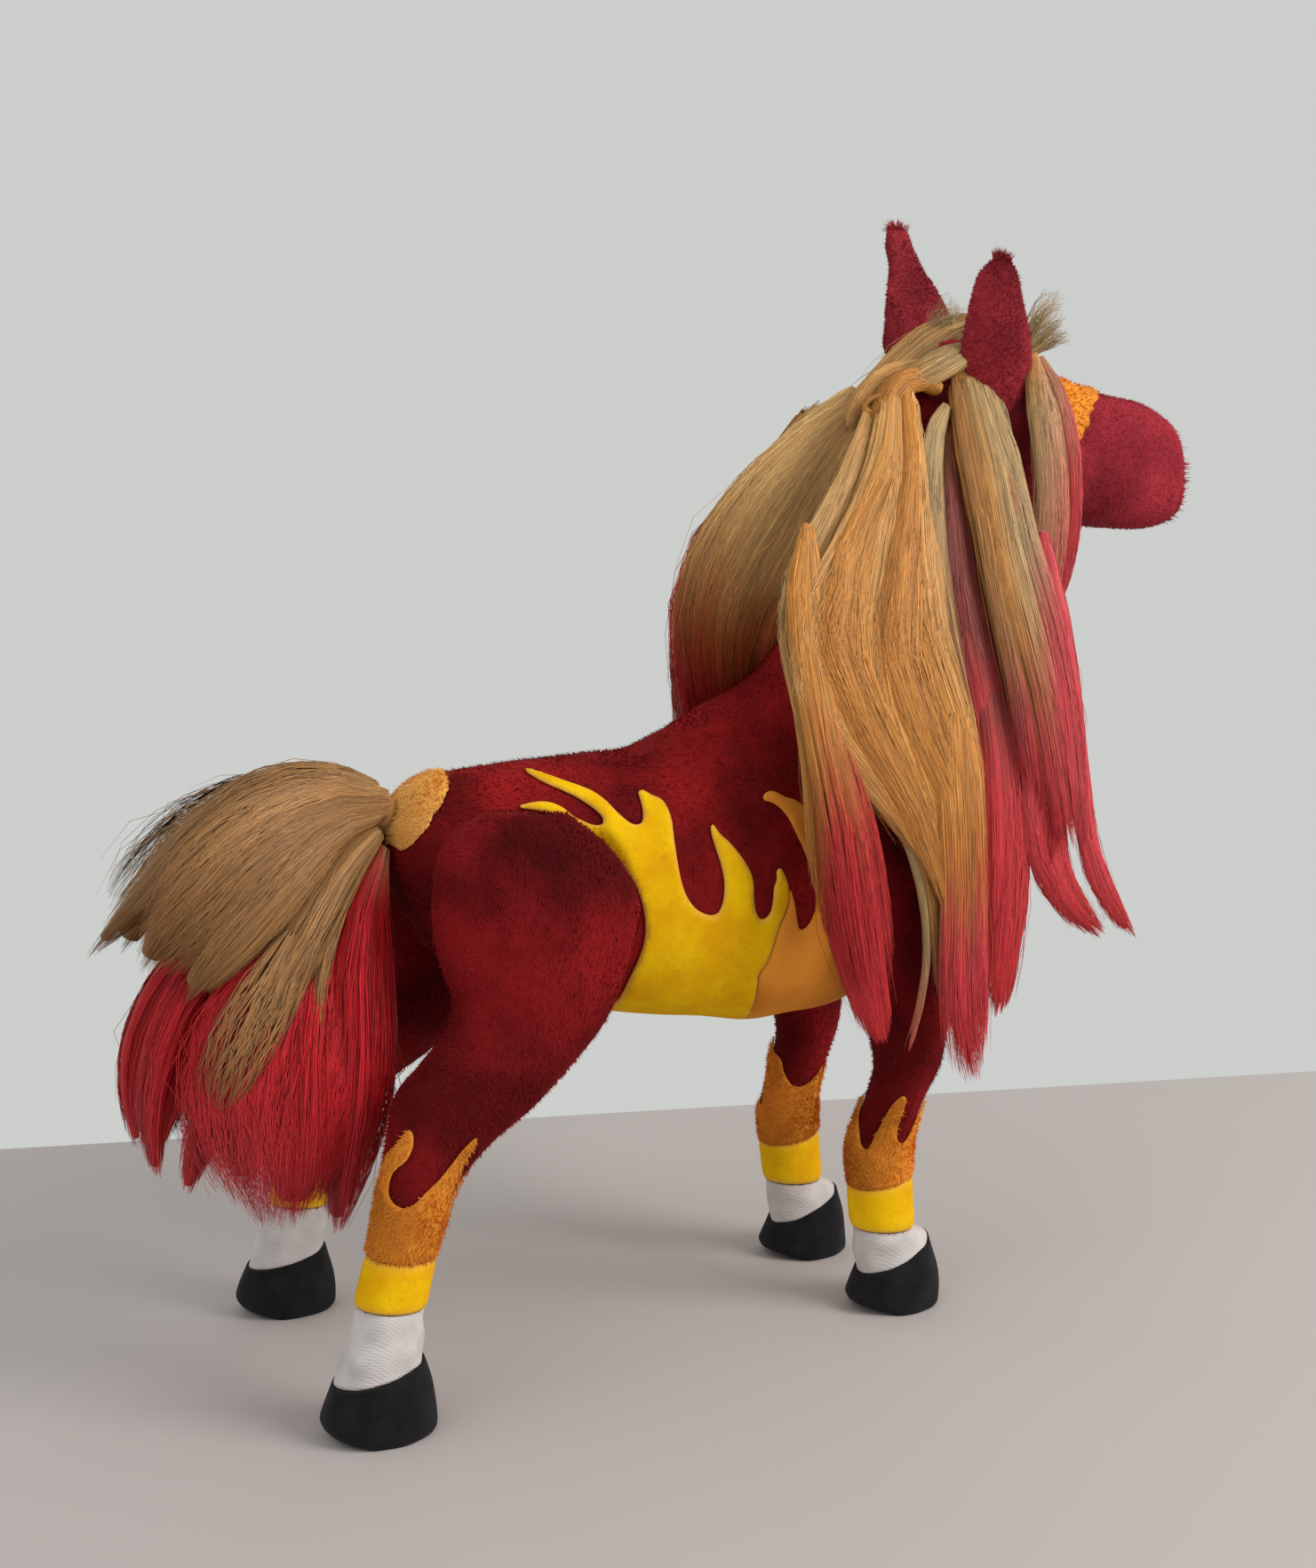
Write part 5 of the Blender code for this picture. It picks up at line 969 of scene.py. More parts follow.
    # the body under them
    columns = 44
    angle = np.linspace(0, 2 * math.pi, columns, endpoint=False)
    t = np.linspace(0.0, 0.90, 34)[:, None] + 0 * angle
    a = np.cos(angle) + 0 * t
    ridge = grooves(a, t)
    size = at(t, path[:, 3:5]) * (0.88 - 0.6 * t**5)[..., None]
    grid = at(t, path[:, :3]) + at(t, across) * (a * size[..., 0])[..., None]
    grid = grid + at(t, front) * (np.sin(angle) * (0.88 + 0.10 * ridge) * size[..., 1])[..., None]
    grid, poles = domed(grid, -way[0] * 0.001, at(np.array([0.90]), way)[0] * 0.002, 2)
    body_points, body_quads, body_tris = tube(grid, poles)
    whole = np.concatenate([t[:1], t[:1], t, t[-1:], t[-1:]])
    a, ridge = np.cos(angle) + 0 * whole, grooves(np.cos(angle) + 0 * whole, whole)
    # Painted shade: the body under the strands is painted darker than the strands, darker still in its grooves,
    # and its poles darker again.
    hue_body = paint(a, np.clip(whole + 0.05 * ridge, 0, 1), 0.90 + 0.15 * ridge).reshape(-1, 4)
    hue_poles = paint(np.zeros(2), np.array([0, 0.90]), np.full(2, 0.8))
    half = np.interp(whole, steps, path[:, 3])
    streak_body = np.stack([a * half, np.sin(angle) * 0.003 + 0 * whole, whole * reach * 0.005],
        axis=-1).reshape(-1, 3)
    streak_body = np.concatenate([streak_body, np.zeros((2, 3))])
    flat, tall = (np.interp(whole, steps, path[:, k])[..., None] for k in (3, 4))
    soft = at(whole, across) * a[..., None] / flat + at(whole, front) * (np.sin(angle) + 0 * whole)[...,
        None] / tall
    soft = (soft / np.linalg.norm(soft, axis=-1, keepdims=True)).reshape(-1, 3)
    soft = np.concatenate([soft, [-way[0], way[-1]]])
    n = len(body_points)
    return (
        np.concatenate([body_points, points]),
        np.concatenate([body_quads, quads + n]),
        np.concatenate([body_tris, ends + n]),
        np.concatenate([hue_body, hue_poles, hue]),
        np.concatenate([streak_body, streak]),
        np.concatenate([soft, shade]),
    )


def together(parts):
    """Several lots of points, quads, triangles, colours, streak places and normals as one."""
    starts = np.cumsum([0] + [len(part[0]) for part in parts])
    points, quads, tris, hues, streaks, normals = zip(*parts)
    return (
        np.concatenate(points),
        np.concatenate([q + n for q, n in zip(quads, starts)]),
        np.concatenate([t + n for t, n in zip(tris, starts)]),
        np.concatenate(hues),
        np.concatenate(streaks),
        np.concatenate(normals),
    )


def hair_finish(name, roughness):
    """Hair: its colour comes from the strands' own layer, with fine streaks that run along the
    hair in a layer of places measured across and along each lock."""
    material, shader = finish(name)
    hue = node(material, "Attribute", attribute_name="hair_colour").outputs["Color"]
    place = node(material, "Attribute", attribute_name="streak_place").outputs["Vector"]
    fine = node(material, "TexNoise", {"Vector": place, "Scale": 3200.0, "Detail": 3.0,
        "Roughness": 0.6}).outputs[0]
    broad = node(material, "TexNoise", {"Vector": place, "Scale": 500.0, "Detail": 2.0}).outputs[0]
    wisps = node(material, "TexNoise", {"Vector": place, "Scale": 130.0, "Detail": 3.0}).outputs[0]
    light = spread(material, fine, 0.3, 0.7, 0.82, 1.15)
    soft = spread(material, broad, 0.35, 0.65, 0.86, 1.10)
    light = node(material, "Math", {0: light, 1: soft}, operation="MULTIPLY").outputs[0]
    light = node(material, "Math", {0: light, 1: spread(material, wisps, 0.35, 0.62, 0.70, 1.10)},
        operation="MULTIPLY").outputs[0]
    hue = mix(material, 1.0, hue, node(material, "CombineColor", {0: light, 1: light, 2: light}).outputs[0],
        "MULTIPLY")
    material.node_tree.links.new(hue, shader.inputs["Base Color"])
    bump = node(material, "Bump", {"Height": fine, "Distance": 0.0001, "Strength": 0.4})
    material.node_tree.links.new(bump.outputs[0], shader.inputs["Normal"])
    shader.inputs["Roughness"].default_value = roughness
    shader.inputs["Specular IOR Level"].default_value = 0.30
    shader.inputs["Sheen Weight"].default_value = 0.06
    shader.inputs["Sheen Tint"].default_value = (1.0, 0.75, 0.5, 1.0)
    return material


HAIR = hair_finish("combed synthetic hair", 0.50)
MANE_RIGHT = {
    "back_gold": [
        (0.0665, -0.0275, 0.3878, 0.0059, 0.0018), (0.0523, -0.041, 0.3602, 0.0088, 0.0023),
        (0.0318, -0.0496, 0.335, 0.0103, 0.0027), (0.0169, -0.0545, 0.3145, 0.0105, 0.0027),
        (0.0116, -0.0585, 0.2947, 0.0108, 0.0028), (0.012, -0.062, 0.2732, 0.0085, 0.0022),
        (0.0147, -0.0655, 0.2518, 0.0073, 0.0019), (0.0149, -0.0688, 0.2305, 0.0074, 0.0019),
        (0.0137, -0.0716, 0.2093, 0.0064, 0.0018), (0.0136, -0.0733, 0.188, 0.0044, 0.0018),
        (0.0167, -0.0746, 0.1683, 0.0028, 0.0018),
    ],
    "back_red": [
        (0.0228, -0.0623, 0.2714, 0.002, 0.0018), (0.0228, -0.0658, 0.2499, 0.0046, 0.0018),
        (0.0239, -0.0691, 0.2285, 0.0078, 0.002), (0.0254, -0.0717, 0.207, 0.011, 0.0029),
        (0.0268, -0.0735, 0.1855, 0.0136, 0.0035), (0.0296, -0.0746, 0.1674, 0.0119, 0.0031),
        (0.0341, -0.0755, 0.149, 0.0096, 0.0025), (0.0381, -0.0761, 0.1342, 0.0077, 0.002),
        (0.0416, -0.0764, 0.1222, 0.0024, 0.0018),
    ],
    "gold_left": [
        (0.0668, -0.0335, 0.3841, 0.0047, 0.0018), (0.0565, -0.0479, 0.3543, 0.0083, 0.0021),
        (0.0482, -0.054, 0.3334, 0.0124, 0.0032), (0.0402, -0.0584, 0.3148, 0.0174, 0.004),
        (0.0355, -0.0622, 0.2966, 0.0192, 0.004), (0.0351, -0.0652, 0.2786, 0.0194, 0.004),
        (0.0383, -0.0681, 0.2605, 0.0197, 0.004), (0.0452, -0.0709, 0.2424, 0.0187, 0.004),
        (0.0537, -0.0733, 0.2271, 0.0159, 0.004), (0.0612, -0.0753, 0.2124, 0.012, 0.0031),
        (0.067, -0.0765, 0.1975, 0.0076, 0.002), (0.0681, -0.0778, 0.1822, 0.0029, 0.0018),
    ],
    "gold_right": [
        (0.0751, -0.0302, 0.3864, 0.0047, 0.0018), (0.0695, -0.0456, 0.355, 0.0075, 0.002),
        (0.0668, -0.0531, 0.3285, 0.0114, 0.003), (0.0661, -0.0589, 0.3043, 0.0127, 0.0033),
        (0.0688, -0.0626, 0.2822, 0.0138, 0.0036), (0.0728, -0.0662, 0.2601, 0.0137, 0.0036),
        (0.0774, -0.0696, 0.2379, 0.0125, 0.0032), (0.0801, -0.0722, 0.2213, 0.0104, 0.0027),
        (0.0812, -0.0741, 0.2029, 0.0097, 0.0025), (0.0803, -0.0758, 0.1827, 0.0093, 0.0024),
        (0.079, -0.0769, 0.1625, 0.0105, 0.0027), (0.0797, -0.0779, 0.142, 0.0116, 0.003),
        (0.0807, -0.0784, 0.1233, 0.0109, 0.0028), (0.0858, -0.0789, 0.1034, 0.0041, 0.0018),
    ],
    "gold_edge": [
        (0.0767, -0.0328, 0.3772, 0.0033, 0.0018), (0.0753, -0.0452, 0.3516, 0.0052, 0.0018),
        (0.0757, -0.0515, 0.3269, 0.0058, 0.0018), (0.0756, -0.0581, 0.297, 0.0062, 0.0018),
        (0.0805, -0.0618, 0.2747, 0.0068, 0.0018), (0.0864, -0.0654, 0.2524, 0.0069, 0.0018),
        (0.0908, -0.0688, 0.2301, 0.006, 0.0018), (0.092, -0.0717, 0.2078, 0.0025, 0.0018),
    ],
    "pale_lock": [
        (0.101, -0.0298, 0.391, 0.0027, 0.0018), (0.0934, -0.0342, 0.3824, 0.0045, 0.0018),
        (0.0863, -0.041, 0.3685, 0.0055, 0.0018), (0.0808, -0.0501, 0.3495, 0.0055, 0.0018),
        (0.0794, -0.0555, 0.3268, 0.0052, 0.0018), (0.0796, -0.0609, 0.3044, 0.0047, 0.0018),
        (0.0832, -0.0649, 0.2803, 0.004, 0.0018), (0.0889, -0.0688, 0.2562, 0.0016, 0.0018),
    ],
    "dark_strands": [
        (0.1051, -0.0279, 0.3831, 0.0039, 0.0018), (0.0974, -0.0437, 0.3507, 0.0072, 0.0019),
        (0.0961, -0.0494, 0.3276, 0.011, 0.0029), (0.0958, -0.0548, 0.3048, 0.0138, 0.0036),
        (0.0998, -0.0586, 0.2822, 0.0145, 0.0038), (0.1021, -0.0623, 0.2596, 0.0121, 0.0031),
        (0.1041, -0.0658, 0.237, 0.0101, 0.0026), (0.105, -0.0694, 0.2108, 0.0088, 0.0023),
        (0.1057, -0.0716, 0.1845, 0.0072, 0.0019),
    ],
    "brown_lock": [
        (0.1103, -0.0229, 0.4009, 0.0039, 0.0018), (0.1075, -0.036, 0.3746, 0.0068, 0.0018),
        (0.1066, -0.0477, 0.3507, 0.0079, 0.0021), (0.1089, -0.0533, 0.3277, 0.0083, 0.0022),
        (0.1113, -0.0588, 0.3049, 0.0087, 0.0023), (0.1153, -0.0626, 0.2822, 0.0087, 0.0023),
        (0.1176, -0.0663, 0.2595, 0.008, 0.0021), (0.1168, -0.0698, 0.2369, 0.0068, 0.0018),
        (0.1137, -0.0731, 0.2146, 0.0034, 0.0018),
    ],
    "straw_lock": [
        (0.1151, -0.0238, 0.4151, 0.0056, 0.0018), (0.1171, -0.0246, 0.4054, 0.0101, 0.0026),
        (0.1202, -0.0291, 0.3922, 0.0111, 0.0029), (0.1211, -0.0388, 0.3731, 0.0104, 0.0027),
        (0.1199, -0.0485, 0.353, 0.0105, 0.0027), (0.1211, -0.0539, 0.3337, 0.0102, 0.0027),
        (0.1242, -0.058, 0.3164, 0.0107, 0.0028), (0.1278, -0.0621, 0.2974, 0.011, 0.0029),
        (0.1309, -0.0652, 0.2784, 0.0116, 0.003), (0.1316, -0.0689, 0.2556, 0.0123, 0.0032),
        (0.1302, -0.0724, 0.2329, 0.0123, 0.0032), (0.1259, -0.0755, 0.2105, 0.0102, 0.0026),
        (0.1245, -0.0772, 0.1898, 0.003, 0.0018),
    ],
    "pink_in": [
        (0.1253, -0.0601, 0.2974, 0.0047, 0.0018), (0.1262, -0.0638, 0.2746, 0.0076, 0.002),
        (0.1261, -0.0675, 0.2518, 0.0098, 0.0025), (0.1248, -0.071, 0.2292, 0.0115, 0.003),
        (0.1233, -0.0735, 0.2104, 0.0114, 0.003), (0.125, -0.0747, 0.196, 0.0098, 0.0025),
        (0.1318, -0.0758, 0.182, 0.008, 0.0021), (0.1429, -0.0765, 0.1699, 0.006, 0.0018),
        (0.1567, -0.077, 0.1605, 0.0034, 0.0018),
    ],
    "pink_out": [
        (0.1347, -0.0544, 0.3359, 0.003, 0.0018), (0.1362, -0.059, 0.3166, 0.0046, 0.0018),
        (0.1386, -0.0634, 0.2955, 0.0053, 0.0018), (0.1402, -0.0671, 0.2726, 0.0055, 0.0018),
        (0.1406, -0.0708, 0.2498, 0.0055, 0.0018), (0.1411, -0.0743, 0.227, 0.0055, 0.0018),
        (0.1425, -0.0767, 0.208, 0.005, 0.0018), (0.1463, -0.0779, 0.1926, 0.0055, 0.0018),
        (0.1538, -0.0791, 0.1781, 0.0055, 0.0018), (0.1621, -0.0797, 0.1668, 0.0039, 0.0018),
        (0.1678, -0.08, 0.1602, 0.0017, 0.0018),
    ],
    "red_column": [
        (0.1024, -0.063, 0.2671, 0.0071, 0.0018), (0.1042, -0.0666, 0.2446, 0.0092, 0.0024),
        (0.1044, -0.07, 0.2222, 0.0105, 0.0027), (0.104, -0.0723, 0.1998, 0.0122, 0.0032),
        (0.1028, -0.0741, 0.1774, 0.0115, 0.003), (0.1008, -0.0751, 0.1588, 0.0088, 0.0023),
        (0.0996, -0.0758, 0.1438, 0.0071, 0.0018), (0.0972, -0.0763, 0.1282, 0.0025, 0.0018),
    ],
    "thin_ends": [
        (0.0597, -0.0742, 0.2131, 0.0052, 0.0018), (0.0632, -0.0759, 0.1929, 0.0036, 0.0018),
        (0.0651, -0.0774, 0.1727, 0.0029, 0.0018), (0.0658, -0.0782, 0.1562, 0.0018, 0.0018),
        (0.0661, -0.079, 0.1404, 0.0012, 0.0018),
    ],
    "back_veil": [
        (0.0165, -0.0554, 0.336, 0.0024, 0.0018), (0.0132, -0.0606, 0.3142, 0.0084, 0.0022),
        (0.0126, -0.0654, 0.2893, 0.0103, 0.0027), (0.0154, -0.07, 0.2609, 0.0098, 0.0025),
        (0.0191, -0.0739, 0.2361, 0.0105, 0.0027), (0.0242, -0.0774, 0.2112, 0.0133, 0.0035),
        (0.0269, -0.0795, 0.1862, 0.0138, 0.0036), (0.0308, -0.0809, 0.161, 0.0126, 0.0033),
        (0.0362, -0.0821, 0.1354, 0.0071, 0.0018),
    ],
    "column_veil": [
        (0.0791, -0.0712, 0.2601, 0.0058, 0.0018), (0.0779, -0.0746, 0.2382, 0.0115, 0.003),
        (0.0777, -0.0779, 0.2163, 0.0115, 0.003), (0.0778, -0.0801, 0.1907, 0.0111, 0.0029),
        (0.0766, -0.0817, 0.1652, 0.0115, 0.003), (0.0765, -0.083, 0.1395, 0.0119, 0.0031),
        (0.0778, -0.0835, 0.119, 0.0098, 0.0025), (0.0818, -0.0839, 0.1026, 0.0044, 0.0018),
    ],
    "pale_strand": [
        (0.0518, -0.0731, 0.2151, 0.0027, 0.0018), (0.0576, -0.0745, 0.1985, 0.0024, 0.0018),
        (0.0611, -0.076, 0.1802, 0.0016, 0.0018), (0.0619, -0.0771, 0.1581, 0.0012, 0.0018),
        (0.0572, -0.0781, 0.1365, 0.0012, 0.0018), (0.0506, -0.0785, 0.1188, 0.0008, 0.0018),
    ],
    "gold_a": [
        (0.072, -0.0286, 0.397, 0.0017, 0.0016), (0.0645, -0.0366, 0.3817, 0.0035, 0.0016),
        (0.0537, -0.0501, 0.354, 0.0041, 0.0016), (0.0323, -0.0574, 0.3273, 0.0067, 0.002),
        (0.0148, -0.0637, 0.3, 0.0081, 0.0024), (0.0103, -0.0677, 0.2751, 0.0084, 0.0025),
        (0.0184, -0.0712, 0.2538, 0.0074, 0.0022), (0.0346, -0.0741, 0.235, 0.0065, 0.0019),
        (0.0501, -0.077, 0.2155, 0.0059, 0.0018), (0.0618, -0.0789, 0.1933, 0.0045, 0.0016),
    ],
    "gold_b": [
        (0.0742, -0.0296, 0.397, 0.0022, 0.0016), (0.0675, -0.0376, 0.3818, 0.0039, 0.0016),
        (0.0561, -0.0511, 0.354, 0.0045, 0.0016), (0.0373, -0.0584, 0.3274, 0.0083, 0.0025),
        (0.0247, -0.0646, 0.3, 0.0116, 0.003), (0.0261, -0.0687, 0.275, 0.0127, 0.003),
        (0.0359, -0.0722, 0.2535, 0.0114, 0.003), (0.0473, -0.0751, 0.2347, 0.0092, 0.0028),
        (0.0565, -0.0781, 0.2153, 0.007, 0.0021), (0.0647, -0.0799, 0.1933, 0.0052, 0.0016),
        (0.0703, -0.0815, 0.1693, 0.0037, 0.0016),
    ],
    "gold_c": [
        (0.0768, -0.0279, 0.3974, 0.0022, 0.0016), (0.0722, -0.0359, 0.3822, 0.0039, 0.0016),
        (0.0635, -0.0493, 0.3544, 0.0047, 0.0016), (0.0536, -0.0568, 0.3279, 0.0088, 0.0027),
        (0.0455, -0.0631, 0.3003, 0.0118, 0.003), (0.0448, -0.0672, 0.2749, 0.0133, 0.003),
        (0.0483, -0.0708, 0.2532, 0.0124, 0.003), (0.0556, -0.0737, 0.2343, 0.0096, 0.0029),
        (0.0646, -0.0766, 0.2149, 0.0071, 0.0021), (0.0732, -0.0784, 0.1926, 0.0051, 0.0016),
    ],
    "gold_d": [
        (0.0792, -0.0294, 0.3973, 0.0021, 0.0016), (0.0782, -0.0373, 0.3824, 0.0039, 0.0016),
        (0.0702, -0.0508, 0.3546, 0.0047, 0.0016), (0.0634, -0.0582, 0.3281, 0.0089, 0.0027),
        (0.0538, -0.0646, 0.3003, 0.0118, 0.003), (0.0536, -0.0687, 0.2749, 0.0131, 0.003),
        (0.0611, -0.0723, 0.2531, 0.012, 0.003), (0.0708, -0.0752, 0.234, 0.0097, 0.0029),
        (0.0773, -0.0781, 0.2145, 0.0074, 0.0022), (0.0812, -0.08, 0.1924, 0.0054, 0.0016),
        (0.0815, -0.0816, 0.1685, 0.0038, 0.0016),
    ],
    "gold_e": [
        (0.0825, -0.0282, 0.3977, 0.0014, 0.0016), (0.0821, -0.0361, 0.3827, 0.003, 0.0016),
        (0.0739, -0.0497, 0.3548, 0.0042, 0.0016), (0.0708, -0.0572, 0.3284, 0.0085, 0.0025),
        (0.0674, -0.0636, 0.3005, 0.0103, 0.003), (0.0731, -0.0678, 0.2748, 0.0097, 0.0029),
        (0.0805, -0.0714, 0.2527, 0.0083, 0.0025), (0.0838, -0.0743, 0.2336, 0.0071, 0.0021),
        (0.0842, -0.0772, 0.2142, 0.006, 0.0018), (0.0853, -0.079, 0.1921, 0.0049, 0.0016),
        (0.0851, -0.0806, 0.1681, 0.0036, 0.0016),
    ],
    "face_a": [
        (0.1086, -0.0266, 0.4046, 0.0039, 0.0016), (0.1063, -0.0403, 0.3741, 0.0067, 0.002),
        (0.1053, -0.0547, 0.3388, 0.0069, 0.0021), (0.1074, -0.0619, 0.3085, 0.0074, 0.0022),
        (0.1117, -0.0672, 0.2784, 0.0068, 0.002), (0.1151, -0.072, 0.2484, 0.0061, 0.0018),
        (0.1166, -0.0766, 0.2185, 0.0059, 0.0018),
    ],
    "face_b": [
        (0.1149, -0.0276, 0.4049, 0.0046, 0.0016), (0.1149, -0.0411, 0.3744, 0.0073, 0.0022),
        (0.1123, -0.0556, 0.339, 0.0074, 0.0022), (0.1155, -0.0629, 0.3086, 0.0083, 0.0025),
        (0.1217, -0.0682, 0.2784, 0.0085, 0.0026), (0.1267, -0.073, 0.2482, 0.0082, 0.0025),
        (0.1285, -0.0777, 0.2181, 0.0079, 0.0024), (0.1314, -0.0796, 0.1973, 0.0072, 0.0022),
    ],
    "face_c": [
        (0.1204, -0.0266, 0.4054, 0.0041, 0.0016), (0.1245, -0.0398, 0.3751, 0.0067, 0.002),
        (0.1239, -0.0545, 0.3394, 0.0064, 0.0019), (0.13, -0.0618, 0.3088, 0.0065, 0.0019),
        (0.1361, -0.0672, 0.2784, 0.0064, 0.0019), (0.1386, -0.0721, 0.2479, 0.0065, 0.0019),
        (0.1379, -0.0767, 0.2177, 0.0068, 0.002), (0.1397, -0.0786, 0.1968, 0.0068, 0.002),
    ],
}
MANE_LEFT = {
    "outer_swath": [
        (0.0739, 0.002, 0.4004, 0.0032, 0.003), (0.0612, 0.005, 0.3883, 0.0071, 0.006),
        (0.0427, 0.012, 0.3667, 0.011, 0.008), (0.0247, 0.02, 0.3432, 0.0134, 0.009),
        (0.0133, 0.028, 0.3198, 0.0135, 0.009), (0.0102, 0.035, 0.2961, 0.012, 0.009),
        (0.0146, 0.042, 0.2721, 0.0113, 0.009), (0.0247, 0.05, 0.2452, 0.0107, 0.008),
        (0.0382, 0.058, 0.2153, 0.0092, 0.005),
    ],
    "middle_swath": [
        (0.0772, 0.001, 0.3849, 0.0048, 0.003), (0.0642, 0.006, 0.3632, 0.0095, 0.006),
        (0.0479, 0.013, 0.3376, 0.0135, 0.008), (0.0343, 0.021, 0.3139, 0.0143, 0.009),
        (0.0287, 0.029, 0.2902, 0.0137, 0.009), (0.0327, 0.038, 0.2659, 0.013, 0.009),
        (0.0427, 0.048, 0.2366, 0.0116, 0.008), (0.0549, 0.058, 0.2062, 0.0085, 0.005),
    ],
    "inner_swath": [
        (0.0795, 0.0, 0.3653, 0.0048, 0.003), (0.0724, 0.004, 0.3456, 0.0087, 0.005),
        (0.0577, 0.01, 0.3219, 0.0103, 0.007), (0.0464, 0.018, 0.3001, 0.0104, 0.008),
        (0.0438, 0.028, 0.2781, 0.0097, 0.008), (0.0505, 0.04, 0.2534, 0.0091, 0.006),
    ],
    "swath_veil": [
        (0.0718, -0.006, 0.3934, 0.0055, 0.002), (0.0536, -0.004, 0.3753, 0.0132, 0.002),
        (0.0357, 0.001, 0.3519, 0.0202, 0.003), (0.0228, 0.008, 0.3288, 0.0234, 0.003),
        (0.0147, 0.016, 0.3056, 0.0227, 0.003), (0.0163, 0.024, 0.2802, 0.0198, 0.003),
        (0.0241, 0.032, 0.254, 0.0161, 0.003),
    ],
    "fall_a": [
        (0.0728, 0.0077, 0.3621, 0.004, 0.003), (0.0656, 0.0154, 0.3903, 0.008, 0.004),
        (0.0524, 0.0317, 0.3621, 0.012, 0.006), (0.0332, 0.0442, 0.3281, 0.014, 0.007),
        (0.0265, 0.0547, 0.296, 0.015, 0.0075), (0.0284, 0.0624, 0.262, 0.015, 0.0075),
        (0.0344, 0.0682, 0.226, 0.014, 0.007), (0.0424, 0.072, 0.1961, 0.011, 0.0055),
        (0.0484, 0.0739, 0.1679, 0.006, 0.003),
    ],
    "fall_b": [
        (0.0776, 0.0125, 0.3713, 0.004, 0.003), (0.0748, 0.0235, 0.3937, 0.008, 0.004),
        (0.0644, 0.0413, 0.3621, 0.012, 0.006), (0.0524, 0.0538, 0.322, 0.014, 0.007),
        (0.0524, 0.0624, 0.2841, 0.015, 0.0075), (0.0565, 0.0691, 0.2459, 0.015, 0.0075),
        (0.0625, 0.073, 0.2061, 0.014, 0.007), (0.0685, 0.0749, 0.1679, 0.011, 0.0055),
        (0.0724, 0.0758, 0.138, 0.006, 0.003),
    ],
    "fall_c": [
        (0.0829, 0.0163, 0.3801, 0.004, 0.003), (0.0824, 0.0269, 0.3951, 0.008, 0.004),
        (0.0784, 0.0461, 0.3621, 0.012, 0.006), (0.0764, 0.0566, 0.3181, 0.014, 0.007),
        (0.0824, 0.0653, 0.276, 0.015, 0.0075), (0.0884, 0.0701, 0.236, 0.015, 0.0075),
        (0.0944, 0.0739, 0.1961, 0.014, 0.007), (0.1004, 0.0758, 0.1599, 0.011, 0.0055),
        (0.1024, 0.0758, 0.13, 0.006, 0.003),
    ],
    "fall_d": [
        (0.0882, 0.0211, 0.3869, 0.004, 0.003), (0.0904, 0.0298, 0.3946, 0.008, 0.004),
        (0.0944, 0.048, 0.364, 0.012, 0.006), (0.1004, 0.0576, 0.322, 0.014, 0.007),
        (0.1105, 0.0643, 0.2819, 0.015, 0.0075), (0.1184, 0.0691, 0.2459, 0.015, 0.0075),
        (0.1264, 0.072, 0.2119, 0.014, 0.007), (0.1345, 0.0739, 0.184, 0.011, 0.0055),
        (0.1405, 0.0749, 0.1599, 0.006, 0.003),
    ],
}
GATHER = {
    "poll_band": [
        (0.1328, -0.022, 0.4299, 0.0048, 0.003), (0.1261, -0.014, 0.4299, 0.0072, 0.004),
        (0.1173, -0.006, 0.4266, 0.0092, 0.006), (0.1045, -0.004, 0.4189, 0.0096, 0.007),
        (0.0895, -0.007, 0.4095, 0.0079, 0.006), (0.0766, -0.01, 0.4013, 0.0055, 0.004),
        (0.0672, -0.012, 0.3935, 0.0031, 0.003),
    ],
    "poll_low": [
        (0.1201, -0.024, 0.4185, 0.0031, 0.002), (0.1112, -0.026, 0.4152, 0.0055, 0.003),
        (0.1019, -0.026, 0.4107, 0.007, 0.005), (0.0916, -0.025, 0.4048, 0.0066, 0.005),
        (0.0819, -0.023, 0.3999, 0.0046, 0.004), (0.0736, -0.022, 0.3934, 0.0027, 0.003),
    ],
    "gather_left": [
        (0.1021, -0.012, 0.4112, 0.0032, 0.003), (0.0846, -0.016, 0.4049, 0.007, 0.004),
        (0.0718, -0.019, 0.3975, 0.0073, 0.005), (0.0625, -0.021, 0.3883, 0.0065, 0.005),
        (0.0549, -0.022, 0.378, 0.0046, 0.003),
    ],
    "gather_turn": [
        (0.1, -0.025, 0.3985, 0.0023, 0.003), (0.0925, -0.025, 0.4026, 0.0046, 0.004),
        (0.0818, -0.026, 0.401, 0.0058, 0.005), (0.0724, -0.028, 0.3941, 0.0057, 0.005),
        (0.0661, -0.031, 0.3836, 0.0053, 0.004), (0.0626, -0.034, 0.3703, 0.0038, 0.003),
    ],
    "curl": [
        (0.0756, -0.03, 0.3955, 0.0011, 0.0015), (0.0667, -0.03, 0.3935, 0.0011, 0.0015),
        (0.0602, -0.029, 0.391, 0.0011, 0.0015), (0.0594, -0.029, 0.3872, 0.0011, 0.0015),
        (0.0641, -0.03, 0.3858, 0.0011, 0.0015), (0.0724, -0.031, 0.3884, 0.0011, 0.0015),
    ],
}
DYED = [(0.0, BLONDE), (0.35, GOLD), (0.52, ORANGE), (0.70, RED), (1.0, RED)]
